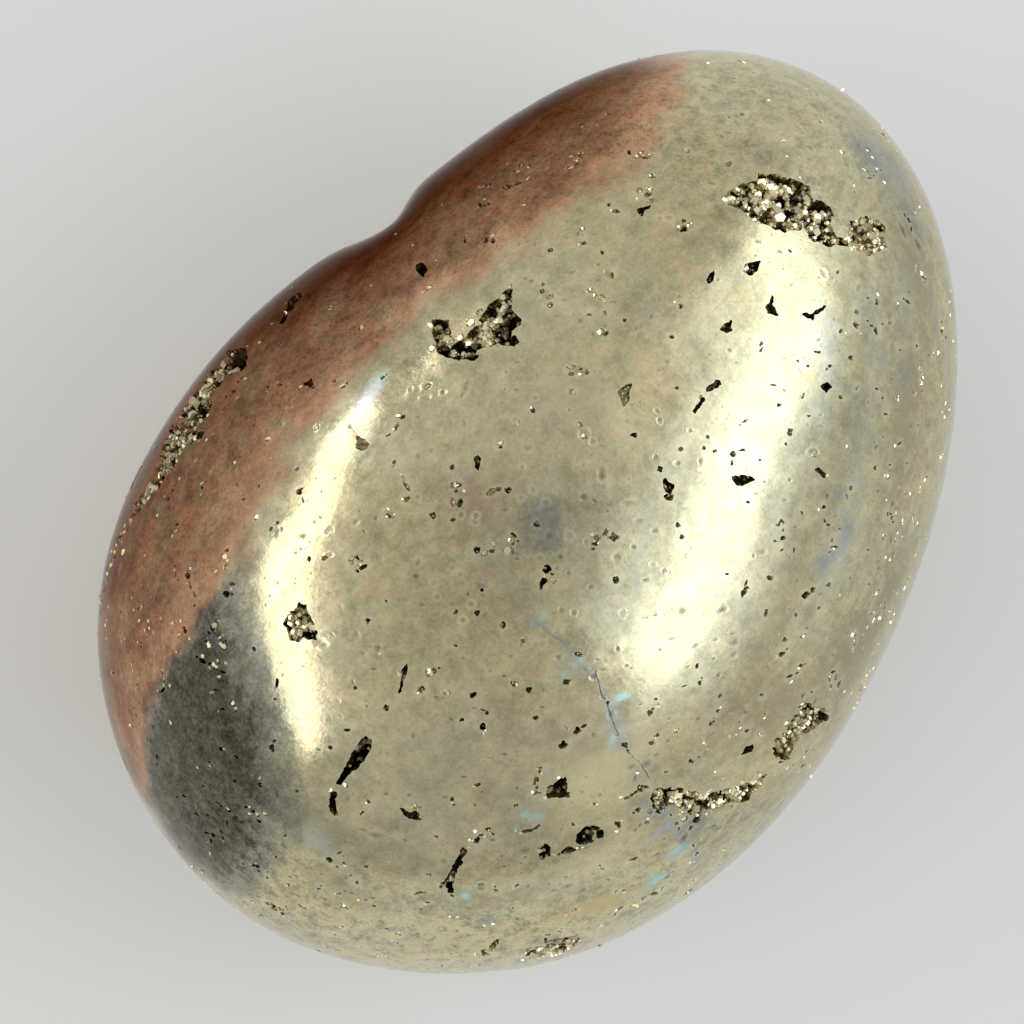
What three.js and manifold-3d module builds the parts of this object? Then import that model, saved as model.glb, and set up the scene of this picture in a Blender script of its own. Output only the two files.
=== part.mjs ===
// Polished pyrite egg: one solid stone, lying on its side on a small ground flat.
// Millimetres. +X runs along the long axis towards the narrow end, +Z is up,
// and the origin is the middle of the bounding box's base.
import * as THREE from 'three';
import { mergeVertices } from 'three/addons/utils/BufferGeometryUtils.js';
import Module from 'manifold-3d';

// ---- driving dimensions -------------------------------------------------
const HALF_HEIGHT = 21.5;        // girth centre to the top of the stone
const FLAT_CUT = 0.7;            // how much the underside is ground away
const GIRTH_Z = HALF_HEIGHT - FLAT_CUT;
const GIRTH_X = -4.767;          // girth centre, measured from the box's middle
const GIRTH_Y = 0.042;
const DETAIL = 15;               // geodesic divisions of the polished skin
// plan outline about the girth centre: mean radius, then cosine and sine terms
const OUTLINE = [25.0398, 3.0001, 0.1918, 4.1858, -0.1434, 1.5277, 0.4460, 0.6663, 0.2868,
  0.2226, 0.2235, 0.0539, 0.1218, -0.0297, 0.0241, 0.0206, 0.0049];
// one smooth polished dent on the flank
const DENT = { phi: 57.3, depth: 1.18, wide: 7.0, tight: 3.4, psi: 2, tall: 13 };

// Cavities of the upper side are laid out on a plan of 1024 units square, seen
// from a point above the stone: plan x to the right, plan y downwards.
const PLAN_UNITS_PER_MM = 16.888;
const VIEW_HEIGHT = 250;         // above the girth centre
const PLAN_TURN = 50.48;         // degrees from plan x to the stone's long axis
const EYE_X = -1.579, EYE_Y = 2.079;     // the viewpoint, over the plan's middle (512, 512)

const cavities = [
  // big crystal-lined cavity near the narrow end
  { depth: 1.1, plan: [[720, 197], [738, 186], [756, 180], [758, 172], [775, 176], [795, 178], [808, 186], [813, 198], [806, 214], [800, 230], [786, 235], [772, 226], [752, 222], [742, 210], [728, 204]] },
  { depth: 1.2, plan: [[800, 200], [818, 202], [832, 212], [831, 224], [836, 236], [848, 238], [848, 246], [832, 247], [812, 241], [803, 228]] },
  { depth: 0.8, plan: [[848, 224], [862, 217], [880, 219], [885, 228], [884, 240], [888, 248], [872, 254], [856, 251], [847, 242]] },
  // hooked cavity on the upper flank
  { depth: 0.9, plan: [[432, 320], [449, 320], [452, 331], [446, 342], [452, 350], [450, 358], [438, 353], [433, 338]] },
  { depth: 1.3, plan: [[448, 350], [466, 336], [474, 326], [492, 322], [497, 344], [478, 351], [470, 359], [458, 361]] },
  { depth: 1.4, plan: [[478, 320], [492, 303], [506, 289], [513, 289], [511, 310], [522, 319], [520, 326], [510, 331], [510, 341], [517, 346], [504, 346], [492, 345], [488, 330]] },
  // long dark slot
  { depth: 1.4, plan: [[358, 742], [366, 735], [371, 740], [370, 752], [358, 766], [347, 777], [338, 786], [336, 780], [345, 766], [357, 752]] },
  { depth: 1.0, plan: [[331, 792], [337, 794], [336, 804], [338, 814], [333, 817], [329, 806]] },
  // three-cornered cavity
  { depth: 1.0, plan: [[289, 612], [298, 608], [306, 604], [312, 618], [318, 640], [304, 639], [290, 641], [284, 624]] },
  // small cavities of the blunt end's top
  { depth: 1.0, plan: [[544, 793], [552, 785], [562, 777], [568, 783], [567, 791], [570, 797], [557, 797], [549, 799]] },
  { depth: 0.8, plan: [[577, 840], [582, 829], [595, 826], [604, 832], [600, 840], [590, 843], [581, 844]] },
  { depth: 0.6, plan: [[537, 850], [545, 843], [551, 848], [549, 857], [540, 860]] },
  { depth: 0.6, plan: [[560, 852], [568, 846], [577, 848], [570, 854], [563, 856]] },
  { depth: 0.8, plan: [[448, 892], [445, 882], [452, 868], [462, 851], [468, 850], [460, 864], [454, 878], [453, 892]] },
  // crystal-lined cavities of the lower right flank
  { depth: 1.0, plan: [[800, 703], [810, 704], [824, 709], [829, 718], [815, 728], [800, 737], [793, 750], [788, 760], [776, 756], [772, 749], [780, 736], [790, 722]] },
  { depth: 0.8, plan: [[655, 790], [672, 786], [690, 791], [705, 794], [705, 806], [696, 822], [686, 810], [668, 805], [656, 812], [650, 800]] },
  { depth: 0.9, plan: [[705, 794], [724, 790], [745, 784], [763, 775], [762, 786], [752, 794], [746, 802], [728, 803], [712, 812], [703, 808]] },
  // broken band of cavities along the left rim
  { depth: 1.0, plan: [[240, 349], [248, 355], [246, 366], [239, 372], [225, 375], [220, 386], [210, 394], [211, 406], [205, 419], [196, 428], [182, 430], [176, 424], [183, 408], [193, 393], [205, 377], [222, 362]] },
  { depth: 0.8, plan: [[172, 424], [188, 432], [202, 434], [198, 442], [184, 447], [178, 462], [168, 473], [160, 486], [151, 495], [143, 507], [135, 513], [134, 505], [145, 488], [155, 470], [161, 452], [166, 436]] },
  // cavities of the lower rim
  { depth: 1.0, plan: [[545, 940], [562, 938], [578, 935], [582, 942], [568, 950], [552, 957], [545, 950]] },
  { depth: 0.7, plan: [[523, 956], [530, 947], [542, 946], [545, 955], [535, 960]] },
  { depth: 0.7, plan: [[479, 956], [482, 950], [490, 948], [494, 940], [500, 941], [496, 947], [490, 955]] },
];

// Cavities of the sides and underside: direction from the girth centre (phi in
// plan, psi above the girth plane, degrees), length, width, turn, depth.
const hidden = [
  [196, -34, 4.6, 2.4, 20, 1.1], [203, -40, 2.4, 1.6, 70, 0.9], [322, -30, 5.4, 1.9, -15, 1.2],
  [332, -26, 2.6, 1.5, 40, 0.8], [84, -38, 3.2, 2.2, 60, 1.0], [18, -44, 4.4, 2.0, 100, 1.1],
  [152, -18, 3.0, 1.4, 30, 0.8], [262, -52, 4.2, 2.6, 0, 1.2], [236, -16, 2.8, 1.3, 50, 0.8],
  [292, -10, 2.2, 1.6, 10, 0.7], [110, -60, 2.6, 1.8, 45, 0.9], [50, -14, 3.6, 1.2, 15, 0.8],
  [350, -8, 2.4, 1.4, 80, 0.7], [176, -66, 2.0, 1.5, 25, 0.8],
];

// Single pits of the upper side: plan x, plan y, radius and depth in millimetres.
const pits = [
  [423, 268, 0.42, 0.7], [486, 239, 0.34, 0.5], [748, 749, 0.42, 0.7], [711, 277, 0.30, 0.5],
  [752, 268, 0.42, 0.6], [817, 312, 0.44, 0.5], [770, 308, 0.32, 0.5], [742, 478, 0.42, 0.5],
  [668, 488, 0.38, 0.5], [546, 576, 0.34, 0.6], [402, 680, 0.36, 0.8], [386, 708, 0.22, 0.5],
  [637, 790, 0.40, 0.7], [410, 813, 0.40, 0.5], [513, 185, 0.50, 0.5], [642, 200, 0.44, 0.6],
  [634, 434, 0.24, 0.4], [640, 810, 0.30, 0.5], [328, 858, 0.30, 0.6], [188, 577, 0.34, 0.5],
];

// ---- the polished skin ---------------------------------------------------
const rad = THREE.MathUtils.degToRad;
const centre = new THREE.Vector3(GIRTH_X, GIRTH_Y, GIRTH_Z);

function skinRadius(d) {
  const phi = Math.atan2(d.y, d.x), psi = Math.asin(THREE.MathUtils.clamp(d.z, -1, 1));
  let r = OUTLINE[0];
  for (let k = 1; 2 * k < OUTLINE.length; k++) {
    r += OUTLINE[2 * k - 1] * Math.cos(k * phi) + OUTLINE[2 * k] * Math.sin(k * phi);
  }
  const level = 1 / Math.sqrt((Math.cos(psi) / r) ** 2 + (Math.sin(psi) / HALF_HEIGHT) ** 2);
  const off = THREE.MathUtils.radToDeg(phi) - DENT.phi;
  const side = off / (off > 0 ? DENT.wide : DENT.tight);
  const up = (THREE.MathUtils.radToDeg(psi) - DENT.psi) / DENT.tall;
  return level - DENT.depth * Math.exp(-side * side - up * up);
}

function skinPoint(d) {
  return d.clone().multiplyScalar(skinRadius(d)).add(centre);
}

function skinNormal(d) {
  const a = new THREE.Vector3(0, 0, 1).cross(d);
  if (a.length() < 1e-3) a.set(1, 0, 0);
  a.normalize();
  const b = d.clone().cross(a).normalize();
  const e = 0.01;
  const at = (u, v) => skinPoint(d.clone().addScaledVector(a, u).addScaledVector(b, v).normalize());
  return at(e, 0).sub(at(-e, 0)).cross(at(0, e).sub(at(0, -e))).normalize();
}

// direction, from the girth centre, of the skin point seen at a plan position
const turn = rad(PLAN_TURN);
const right = new THREE.Vector3(Math.cos(turn), -Math.sin(turn), 0);
const upward = new THREE.Vector3(Math.sin(turn), Math.cos(turn), 0);
const eye = new THREE.Vector3(EYE_X, EYE_Y, GIRTH_Z + VIEW_HEIGHT);

function fromPlan(x, y) {
  const span = PLAN_UNITS_PER_MM * VIEW_HEIGHT;
  const ray = right.clone().multiplyScalar((x - 512) / span)
    .addScaledVector(upward, -(y - 512) / span).add(new THREE.Vector3(0, 0, -1));
  const out = (t) => {
    const p = eye.clone().addScaledVector(ray, t).sub(centre);
    return p.length() - skinRadius(p.clone().normalize());
  };
  let near = VIEW_HEIGHT - 30, far = near, best = near;
  let lowest = Infinity;
  for (let t = near; t < VIEW_HEIGHT + 2; t += 0.25) {
    const o = out(t);
    if (o < lowest) { lowest = o; best = t; }
    if (o < 0) { far = t; break; }
    near = t;
  }
  if (lowest < 0) {
    for (let i = 0; i < 40; i++) {
      const mid = (near + far) / 2;
      if (out(mid) < 0) far = mid; else near = mid;
    }
    best = far;
  }
  return eye.clone().addScaledVector(ray, best).sub(centre).normalize();
}

// ---- cutters ---------------------------------------------------------------
// A cutter opens at its outline on the skin and narrows to a smaller floor.
function cutter(dirs, depth, floor) {
  const rim = dirs.map((d) => skinPoint(d));
  const middle = rim.reduce((s, p) => s.add(p), new THREE.Vector3()).multiplyScalar(1 / rim.length);
  const n = skinNormal(middle.clone().sub(centre).normalize());
  const a = new THREE.Vector3(0, 0, 1).cross(n);
  if (a.length() < 1e-3) a.set(1, 0, 0);
  a.normalize();
  const b = n.clone().cross(a);
  let flat = rim.map((p) => new THREE.Vector2(p.clone().sub(middle).dot(a), p.clone().sub(middle).dot(b)));
  if (THREE.ShapeUtils.area(flat) < 0) { flat = flat.reverse(); rim.reverse(); }
  const top = rim.map((p) => p.clone().addScaledVector(n, 0.6));
  const low = rim.map((p, i) => middle.clone()
    .addScaledVector(a, flat[i].x * floor).addScaledVector(b, flat[i].y * floor)
    .addScaledVector(n, Math.min(p.clone().sub(middle).dot(n), 0) - depth));
  const faces = THREE.ShapeUtils.triangulateShape(flat, []);
  const count = rim.length, index = [];
  for (const [i, j, k] of faces) {
    index.push(i, j, k);
    index.push(count + i, count + k, count + j);
  }
  for (let i = 0; i < count; i++) {
    const j = (i + 1) % count;
    index.push(i, count + i, j, j, count + i, count + j);
  }
  const g = new THREE.BufferGeometry();
  g.setAttribute('position', new THREE.Float32BufferAttribute([...top, ...low].flatMap((p) => [p.x, p.y, p.z]), 3));
  g.setIndex(index);
  return g;
}

// a rough outline about a direction, for cavities that have no plan outline
function roughOutline(d, length, width, tilt, sides, seed) {
  const n = d.clone();
  const a = new THREE.Vector3(0, 0, 1).cross(n).normalize();
  const b = n.clone().cross(a);
  const r = skinRadius(d), list = [];
  for (let i = 0; i < sides; i++) {
    const t = (i / sides) * 2 * Math.PI;
    const rough = 1 + 0.2 * Math.sin(3 * t + seed) + 0.14 * Math.sin(5 * t + 2.3 * seed);
    const u = (length / 2) * Math.cos(t) * rough, v = (width / 2) * Math.sin(t) * rough;
    const c = Math.cos(rad(tilt)), s = Math.sin(rad(tilt));
    list.push(n.clone().addScaledVector(a, (u * c - v * s) / r).addScaledVector(b, (u * s + v * c) / r).normalize());
  }
  return list;
}

const wasm = await Module();
wasm.setup();

function solid(geometry) {
  geometry.deleteAttribute('normal');
  geometry.deleteAttribute('uv');
  const g = mergeVertices(geometry);
  return new wasm.Manifold(new wasm.Mesh({
    numProp: 3,
    vertProperties: new Float32Array(g.attributes.position.array),
    triVerts: new Uint32Array(g.index.array),
  }));
}

const skin = new THREE.IcosahedronGeometry(1, DETAIL);
const spots = skin.attributes.position;
for (let i = 0; i < spots.count; i++) {
  const p = skinPoint(new THREE.Vector3().fromBufferAttribute(spots, i).normalize());
  spots.setXYZ(i, p.x, p.y, p.z);
}
let stone = solid(skin);

const below = new THREE.BoxGeometry(100, 100, 20);
below.translate(0, 0, -10);
stone = stone.subtract(solid(below));

for (const c of cavities) {
  stone = stone.subtract(solid(cutter(c.plan.map(([x, y]) => fromPlan(x, y)), c.depth, 0.62)));
}
hidden.forEach(([phi, psi, length, width, tilt, depth], i) => {
  const d = new THREE.Vector3(Math.cos(rad(phi)), Math.sin(rad(phi)), Math.tan(rad(psi))).normalize();
  stone = stone.subtract(solid(cutter(roughOutline(d, length, width, tilt, 11, 1.7 * i + 0.4), depth, 0.6)));
});
pits.forEach(([x, y, r, depth], i) => {
  stone = stone.subtract(solid(cutter(roughOutline(fromPlan(x, y), 2 * r, 1.7 * r, 40 * i, 6, i), depth, 0.5)));
});

// ---- the one mesh ----------------------------------------------------------
const cut = stone.getMesh();
const body = new THREE.BufferGeometry();
body.setAttribute('position', new THREE.Float32BufferAttribute(Float32Array.from(cut.vertProperties), 3));
body.setIndex(Array.from(cut.triVerts));
body.computeBoundingBox();
const box = body.boundingBox;
body.translate(-(box.min.x + box.max.x) / 2, -(box.min.y + box.max.y) / 2, -box.min.z);
body.computeVertexNormals();

const pyrite = new THREE.MeshStandardMaterial({ color: 0xa39d80, roughness: 0.25, metalness: 0.9 });
const egg = new THREE.Mesh(body, pyrite);
egg.name = 'pyrite_egg';

const group = new THREE.Group();
group.add(egg);
export default group;
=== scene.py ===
import math

import bpy
import numpy as np
from mathutils import Matrix, Vector
from mathutils.geometry import delaunay_2d_cdt
from mathutils.kdtree import KDTree


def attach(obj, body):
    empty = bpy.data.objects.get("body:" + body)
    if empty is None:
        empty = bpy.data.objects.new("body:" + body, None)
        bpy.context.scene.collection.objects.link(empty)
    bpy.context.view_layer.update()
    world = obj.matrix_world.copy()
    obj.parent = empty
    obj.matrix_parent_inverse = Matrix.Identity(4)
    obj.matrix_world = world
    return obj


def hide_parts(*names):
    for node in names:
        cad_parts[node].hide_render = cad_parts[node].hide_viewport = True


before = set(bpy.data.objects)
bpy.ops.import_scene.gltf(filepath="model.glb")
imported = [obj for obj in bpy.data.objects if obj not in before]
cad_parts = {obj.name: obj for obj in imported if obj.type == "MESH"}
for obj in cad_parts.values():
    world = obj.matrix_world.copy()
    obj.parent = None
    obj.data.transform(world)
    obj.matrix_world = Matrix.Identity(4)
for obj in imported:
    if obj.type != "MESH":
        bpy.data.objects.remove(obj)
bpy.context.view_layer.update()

# Polished pyrite egg. All shapes are worked out in millimetres and written to the meshes in metres.
# The polished skin is one mesh with every pit, crack and cavity cut into it; the crystals that line
# the cavities are a second mesh, sunk into the first.

# ---- places read off, in view units: 1024 across, 16.888 to a millimetre at girth height ----
# dark pits: place, half length, half width, turn, darkness
PITS = [
    (742, 62, 7, 1.2, 20, .3), (607, 114, 2, 1.5, 0, .3), (742, 114, 3.5, 2, 15, .3), (581, 155, 4, 3, 0, .4), (629, 152, 2.5, 4, -20, .6), (641, 157, 9, 2.5, 5, .4),
    (821, 122, 3, 2.2, -40, .5), (843, 152, 4, 3, 0, .3), (858, 145, 2, 2, 0, .2), (868, 149, 6, 1, 0, .25), (868, 153, 2, 1.5, 0, .15), (881, 133, 3.5, 1.5, 35, .7),
    (881, 155, 3, 1, 0, .2), (884, 135, 5, 2.5, 50, .5), (886, 139, 2, 1, 0, .5), (488, 185, 3.5, 3, -40, .5), (494, 179, 2, 2, 0, .3), (507, 187, 6, 3, -10, .6),
    (515, 171, 3, 1.5, -20, .3), (516, 184, 8, 2, -12, .6), (524, 165, 1.5, 3, 0, .3), (577, 163, 3, 2, -30, .4), (648, 194, 6, 3, -15, .4), (729, 163, 4, 4, 0, .4),
    (855, 192, 1.5, 1.5, 0, .3), (866, 163, 2, 2, 0, .2), (868, 171, 2, 1.5, 0, .25), (870, 178, 5, 1.2, 0, .3), (874, 176, 2, 1.2, 0, .3), (876, 172, 3, 1, 0, .3),
    (881, 170, 2, 1.2, 0, .4), (908, 163, 1.5, 2.5, -30, .5), (427, 218, 3, 2, 0, .3), (480, 206, 5, 4, 0, .6), (489, 203, 3, 2, -45, .5), (609, 204, 2.5, 3, 0, .5),
    (615, 211, 6, 2.5, 5, .5), (684, 229, 4, 4, 0, .7), (684, 221, 3, 3, 0, .5), (903, 231, 2.5, 6, 0, .25), (905, 215, 1.5, 3, -45, .5), (909, 220, 3.5, 4, 30, .9),
    (911, 228, 1.5, 4, -10, .6), (920, 211, 2, 1.8, 0, .6), (465, 241, 5, 1.5, 75, .4), (485, 240, 5, 4, 80, .7), (493, 241, 4, 2.5, 60, .6), (497, 246, 2, 1.2, 45, .3),
    (550, 250, 3.5, 3, 45, .5), (584, 243, 3, 2.5, 0, .4), (602, 252, 3, 2.5, -40, .4), (612, 275, 5, 2, 80, .4), (790, 251, 3, 1.5, 20, .3), (838, 272, 3, 2, -60, .3),
    (868, 254, 3, 3, 0, .9), (918, 245, 3, 5, 0, .1), (923, 277, 3, 1.3, 40, .6), (926, 279, 2.5, 1.5, 0, .7), (926, 252, 2, 1, 0, .25), (339, 298, 2, 2, 0, .4),
    (542, 291, 4, 2.5, 80, .3), (543, 284, 2.5, 2.5, 0, .3), (550, 305, 4, 3, 60, .3), (589, 314, 3, 2.5, 90, .3), (681, 306, 3, 3, 0, .4), (857, 312, 3.5, 2.5, 60, .3),
    (868, 298, 3, 1.3, 15, .3), (877, 302, 2.2, 4, 5, .6), (900, 280, 1.5, 1, 0, .2), (904, 299, 2.5, 1.5, 30, .5), (908, 302, 4, 1.5, 40, .6), (909, 292, 3, 1, -10, .1),
    (925, 282, 1.5, 1.2, 0, .6), (946, 301, 1.8, 2, 0, .5), (280, 344, 2, 2.5, 0, .3), (330, 326, 1.5, 1.5, 0, .3), (606, 333, 4, 3, -60, .5), (625, 320, 2.5, 2.5, 0, .4),
    (672, 337, 3, 2.5, 20, .4), (729, 350, 3, 2.5, 0, .2), (761, 344, 4, 2, -60, .3), (761, 350, 4, 1.5, -50, .3), (818, 352, 6, 1.5, 5, .3), (841, 331, 3, 2.5, -40, .4),
    (851, 358, 4, 3, 0, .8), (856, 325, 4.5, 3, 60, .5), (868, 321, 2, 1, 30, .3), (872, 326, 4, 1.8, 20, .55), (876, 331, 2.5, 4, -15, .8), (883, 324, 2.5, 1.5, 0, .3),
    (890, 323, 3, 2, 0, .3), (900, 350, 1.8, 1.2, 0, .35), (917, 346, 2.5, 1.5, 0, .6), (929, 355, 1, 1, 0, .2), (942, 332, 3.2, 3.5, 10, .95), (942, 322, 1.5, 2, 0, .4),
    (943, 341, 1, 1.5, 0, .4), (946, 337, 1.2, 2.5, 0, .4), (238, 382, 3, 1.5, 20, .4), (241, 378, 3, 2, 0, .3), (268, 386, 2, 3, 0, .4), (280, 385, 4, 1.5, 0, .4),
    (287, 385, 2.5, 2, 0, .4), (334, 381, 3, 2, 0, .3), (343, 387, 4, 1.5, -20, .3), (347, 383, 2, 1.5, 90, .3), (383, 377, 6, 2, -35, .5), (443, 392, 3, 2.5, 0, .2),
    (571, 374, 4, 2.5, 0, .3), (581, 369, 3, 1.5, 0, .3), (587, 372, 2.5, 4, 0, .3), (677, 388, 3, 2, 0, .3), (773, 385, 5, 1.2, 10, .3), (784, 390, 3, 1, 20, .2),
    (798, 361, 1.8, 2, 0, .4), (803, 396, 5, 1.5, -65, .3), (808, 366, 1.8, 2.2, 0, .4), (827, 369, 2, 1.5, -50, .3), (830, 366, 2.5, 2, 0, .5), (841, 397, 3, 2.5, 0, .5),
    (857, 388, 3, 1.5, -60, .4), (877, 389, 3, 1.3, 15, .5), (883, 398, 3, 1.5, -10, .3), (892, 379, 2, 1.5, 0, .2), (913, 392, 4, 1, 10, .25), (921, 373, 4, 1.2, 10, .45),
    (921, 379, 4, 1, -5, .35), (921, 385, 2, 1.2, 0, .4), (922, 391, 3, .8, -5, .25), (203, 427, 3, 1.5, -50, .4), (222, 413, 2.5, 2, 0, .4), (254, 425, 2, 2, 0, .4),
    (349, 427, 4, 1, 60, .2), (388, 435, 4, 2, -20, .3), (396, 427, 6, 3, -60, .4), (403, 417, 3.5, 2, -45, .5), (533, 410, 5, 3, 30, .4), (634, 435, 4, 3, 0, .7),
    (708, 437, 3, 2, 45, .3), (740, 425, 2.5, 1.2, -20, .2), (745, 421, 4, 1.5, -25, .3), (779, 405, 2.5, 2.5, 0, .4), (790, 432, 4.5, 3.5, 0, .4), (809, 416, 2.5, 1.5, 0, .3),
    (868, 402, 2, 1.3, -20, .25), (872, 417, 2, 1.5, 0, .25), (883, 437, 2, 1.3, 0, .25), (886, 414, 3.5, 1.5, 0, .5), (911, 426, 2, 1, 0, .2), (918, 425, 2, 1.5, -30, .3),
    (926, 413, 2, 1.5, 0, .25), (945, 406, 2, 1.5, 0, .5), (945, 426, 1.5, 2, 0, .4), (947, 420, 2.5, .8, 0, .3), (949, 413, 3, .6, 0, .25), (170, 471, 5, 1.5, -10, .6),
    (297, 469, 3, 2.5, 90, .3), (394, 462, 2.5, 2.5, 0, .4), (452, 467, 3, 3.5, 0, .5), (501, 447, 2.5, 2, -20, .5), (601, 475, 4, 7, 0, .2), (660, 469, 3, 4, 0, .6),
    (681, 449, 3, 3, -40, .3), (700, 461, 4, 2.5, 90, .2), (704, 448, 2.5, 2.5, 0, .3), (715, 451, 3, 2, -20, .4), (732, 463, 2, 3, 0, .4), (733, 454, 3.5, 4, 0, .5),
    (742, 450, 5, 1.5, -5, .4), (760, 460, 2, 1.5, 0, .3), (786, 444, 2, 2, 0, .3), (875, 468, 2, 2.5, 0, .65), (876, 447, 4, 1.2, -30, .25), (889, 478, 3, 1.2, -20, .4),
    (890, 465, 2.5, 1.2, -10, .3), (890, 471, 2, .8, 0, .2), (900, 443, 1.8, 3, 30, .5), (907, 463, 2.2, 1.5, -10, .35), (927, 477, 2, 2, 0, .5), (939, 462, 2, 2, 30, .45),
    (941, 458, 1.2, 1.5, 0, .3), (943, 454, 2, 3.5, 20, .45), (943, 449, 3, 1, -10, .4), (946, 443, 1.8, 2.5, 30, .5), (134, 519, 2, 1.5, 0, .4), (168, 499, 3, 2, -30, .6),
    (172, 491, 3, 1.5, -60, .3), (175, 486, 2, 1.5, 0, .3), (189, 502, 2, 1, 0, .2), (202, 488, 2, 2, 0, .4), (236, 484, 2.5, 2.5, 0, .4), (243, 500, 3, 1.5, -45, .3),
    (259, 486, 2, 1.5, 90, .3), (299, 492, 4, 3.5, 0, .7), (301, 489, 3, 1.5, -20, .3), (303, 500, 1, 5, -15, .3), (360, 511, 2, 1.5, 0, .15), (376, 518, 2.5, 2, 0, .15),
    (389, 516, 5, 3, 20, .3), (406, 499, 5, 3.5, -20, .35), (406, 486, 10, 1.5, 55, .3), (433, 515, 4, 5, -20, .5), (456, 491, 3, 2, -40, .3), (459, 485, 3, 3, 0, .45),
    (460, 503, 3.5, 5, 0, .6), (498, 489, 4, 3, 0, .35), (508, 490, 4, 4, 0, .6), (583, 497, 4, 4, 0, .15), (594, 501, 3, 2, 40, .2), (607, 511, 2, 1.5, 0, .15),
    (669, 497, 5, 5, 0, .7), (748, 502, 3, 2, 25, .6), (765, 482, 2, 1.5, 0, .2), (790, 480, 2, 2, 0, .2), (802, 513, 1.5, 3, -20, .35), (824, 507, 3, 2, -20, .7),
    (827, 497, 1, 4, 5, .3), (847, 497, 1.5, 3.5, 0, .3), (851, 488, 3, 2.5, 0, .6), (878, 491, 2.5, 2, 0, .15), (888, 514, 2, 2, 20, .5), (891, 514, 3, 1.5, 10, .5),
    (892, 518, 2, 2.5, 0, .6), (892, 504, 1.5, 4, 10, .2), (906, 518, 1.8, 1.5, 0, .4), (921, 484, 2.5, 1.2, -40, .45), (939, 488, 1.8, 1.3, -20, .4), (126, 535, 1.5, 1.5, 0, .3),
    (128, 529, 3, 2, -50, .5), (177, 524, 1.8, 2.5, 0, .5), (227, 550, 2, 3, 40, .5), (243, 526, 1, 3, 0, .15), (271, 529, 2, 3, 30, .3), (277, 523, 3.5, 2.5, 0, .5),
    (281, 529, 1, 3, -20, .2), (301, 549, 1, 1, 0, .2), (303, 536, 4, 3, 0, .15), (309, 559, 2.5, 3.5, 0, .45), (324, 558, 5, 2.5, -5, .35), (357, 557, 5, 2, 60, .4),
    (364, 531, 2, 3, -40, .2), (452, 520, 4, 3, 20, .3), (477, 550, 4, 4, 20, .7), (492, 551, 4, 3, 0, .35), (513, 544, 2, 1.5, -30, .45), (514, 535, 5, 1.5, 35, .5),
    (516, 553, 4, 1, 10, .25), (517, 559, 3, 1, 0, .25), (518, 541, 1.5, 1.5, 0, .3), (537, 524, 4, 4, 0, .3), (560, 557, 4, 3, 0, .2), (593, 549, 3, 1.5, 0, .3),
    (595, 544, 4, 2, 0, .5), (597, 538, 6, 5, 30, .3), (606, 532, 4, 4, 0, .3), (614, 537, 6, 5, 0, .35), (633, 547, 3, 3, 0, .25), (654, 531, 4, 3, 0, .25),
    (678, 525, 3, 3, 20, .4), (682, 537, 3, 3, 0, .5), (754, 556, 1.5, 2.5, 0, .15), (775, 541, 3, 1.5, 10, .3), (778, 525, 3, 1.5, 0, .35), (780, 522, 4, 1.5, -60, .5),
    (782, 550, 2.5, 1.5, -20, .35), (783, 538, 3.5, 2.5, -20, .6), (783, 522, 3, 1.5, 50, .45), (783, 530, 1.5, 2, -30, .3), (794, 550, 1.2, 4, 0, .35), (795, 527, 2.5, 1, -10, .2),
    (820, 545, 1.5, 1, 0, .2), (825, 521, 1.5, 2.5, -30, .5), (829, 525, 4, 2, 15, .5), (830, 552, 2, 1.5, 0, .3), (832, 540, 1.5, 2.5, 20, .3), (833, 547, 5, 1, 0, .4),
    (835, 530, 2, 1.5, 0, .2), (836, 547, 4, 1.5, 10, .5), (840, 529, 2, 2, 0, .3), (868, 550, 2, 1.5, 0, .45), (891, 540, 1, 5, 20, .25), (893, 522, 2.5, 1.5, 0, .5),
    (893, 553, 3, 1, -10, .25), (902, 521, 2, 1, 0, .2), (920, 544, 3, 1, -20, .3), (920, 537, 1, 2, 0, .3), (925, 541, 3.5, 1.2, -35, .7), (104, 590, 1.2, 3.5, 15, .5),
    (106, 577, 1, 3, 0, .25), (110, 568, 1.2, 5, 15, .35), (120, 567, 3, 5, 0, .08), (126, 597, 1, 4, 0, .15), (145, 567, 2, 1, 0, .3), (175, 575, 1.5, 2.5, -20, .4),
    (175, 566, 1.5, 1, 0, .3), (178, 580, 1.5, 1, 0, .3), (187.5, 575, 5, 3, 80, 1), (190, 585, 5, 1.5, 75, .4), (194, 594, 4, 2, 50, .4), (203, 596, 1.5, 2, 0, .2),
    (205, 563, 1.5, 2, 0, .25), (226, 594, 4.5, 4, 0, .9), (227, 565, 2, 2, 0, .3), (231, 594, 3, 2, 0, .4), (232, 584, 4, 2, 0, .4), (353, 563, 3, 2, 0, .25),
    (357, 571, 3, 2, 20, .6), (363, 567, 5, 3, -30, .8), (416, 576, 4, 3, 0, .25), (468, 594, 2, 2, 0, .25), (482, 590, 2.5, 2, 0, .5), (482, 595, 4, 1.5, 10, .25),
    (543, 582, 9, 3.5, -72, .9), (547, 569, 5, 5, 0, .8), (552, 574, 4, 1.5, 30, .3), (568, 573, 2.5, 2, 0, .25), (616, 580, 4, 4.5, 10, .7), (645, 580, 4, 2.5, -15, .25),
    (664, 571, 3, 3, 0, .15), (727, 574, 2.5, 1.5, 0, .5), (744, 592, 3, 6, 20, .8), (746, 583, 1.5, 4, 15, .5), (747, 588, 3, 2, 0, .6), (770, 578, 4, 3, 0, .55),
    (797, 581, 1.5, 2, 0, .25), (806, 595, 5.5, 3.5, -30, .95), (813, 590, 3, 3.5, -30, .7), (829, 585, 3.5, 3, 10, .55), (850, 578, 2, 1, 0, .15), (869, 584, 2.5, 1.5, -10, .35),
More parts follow.
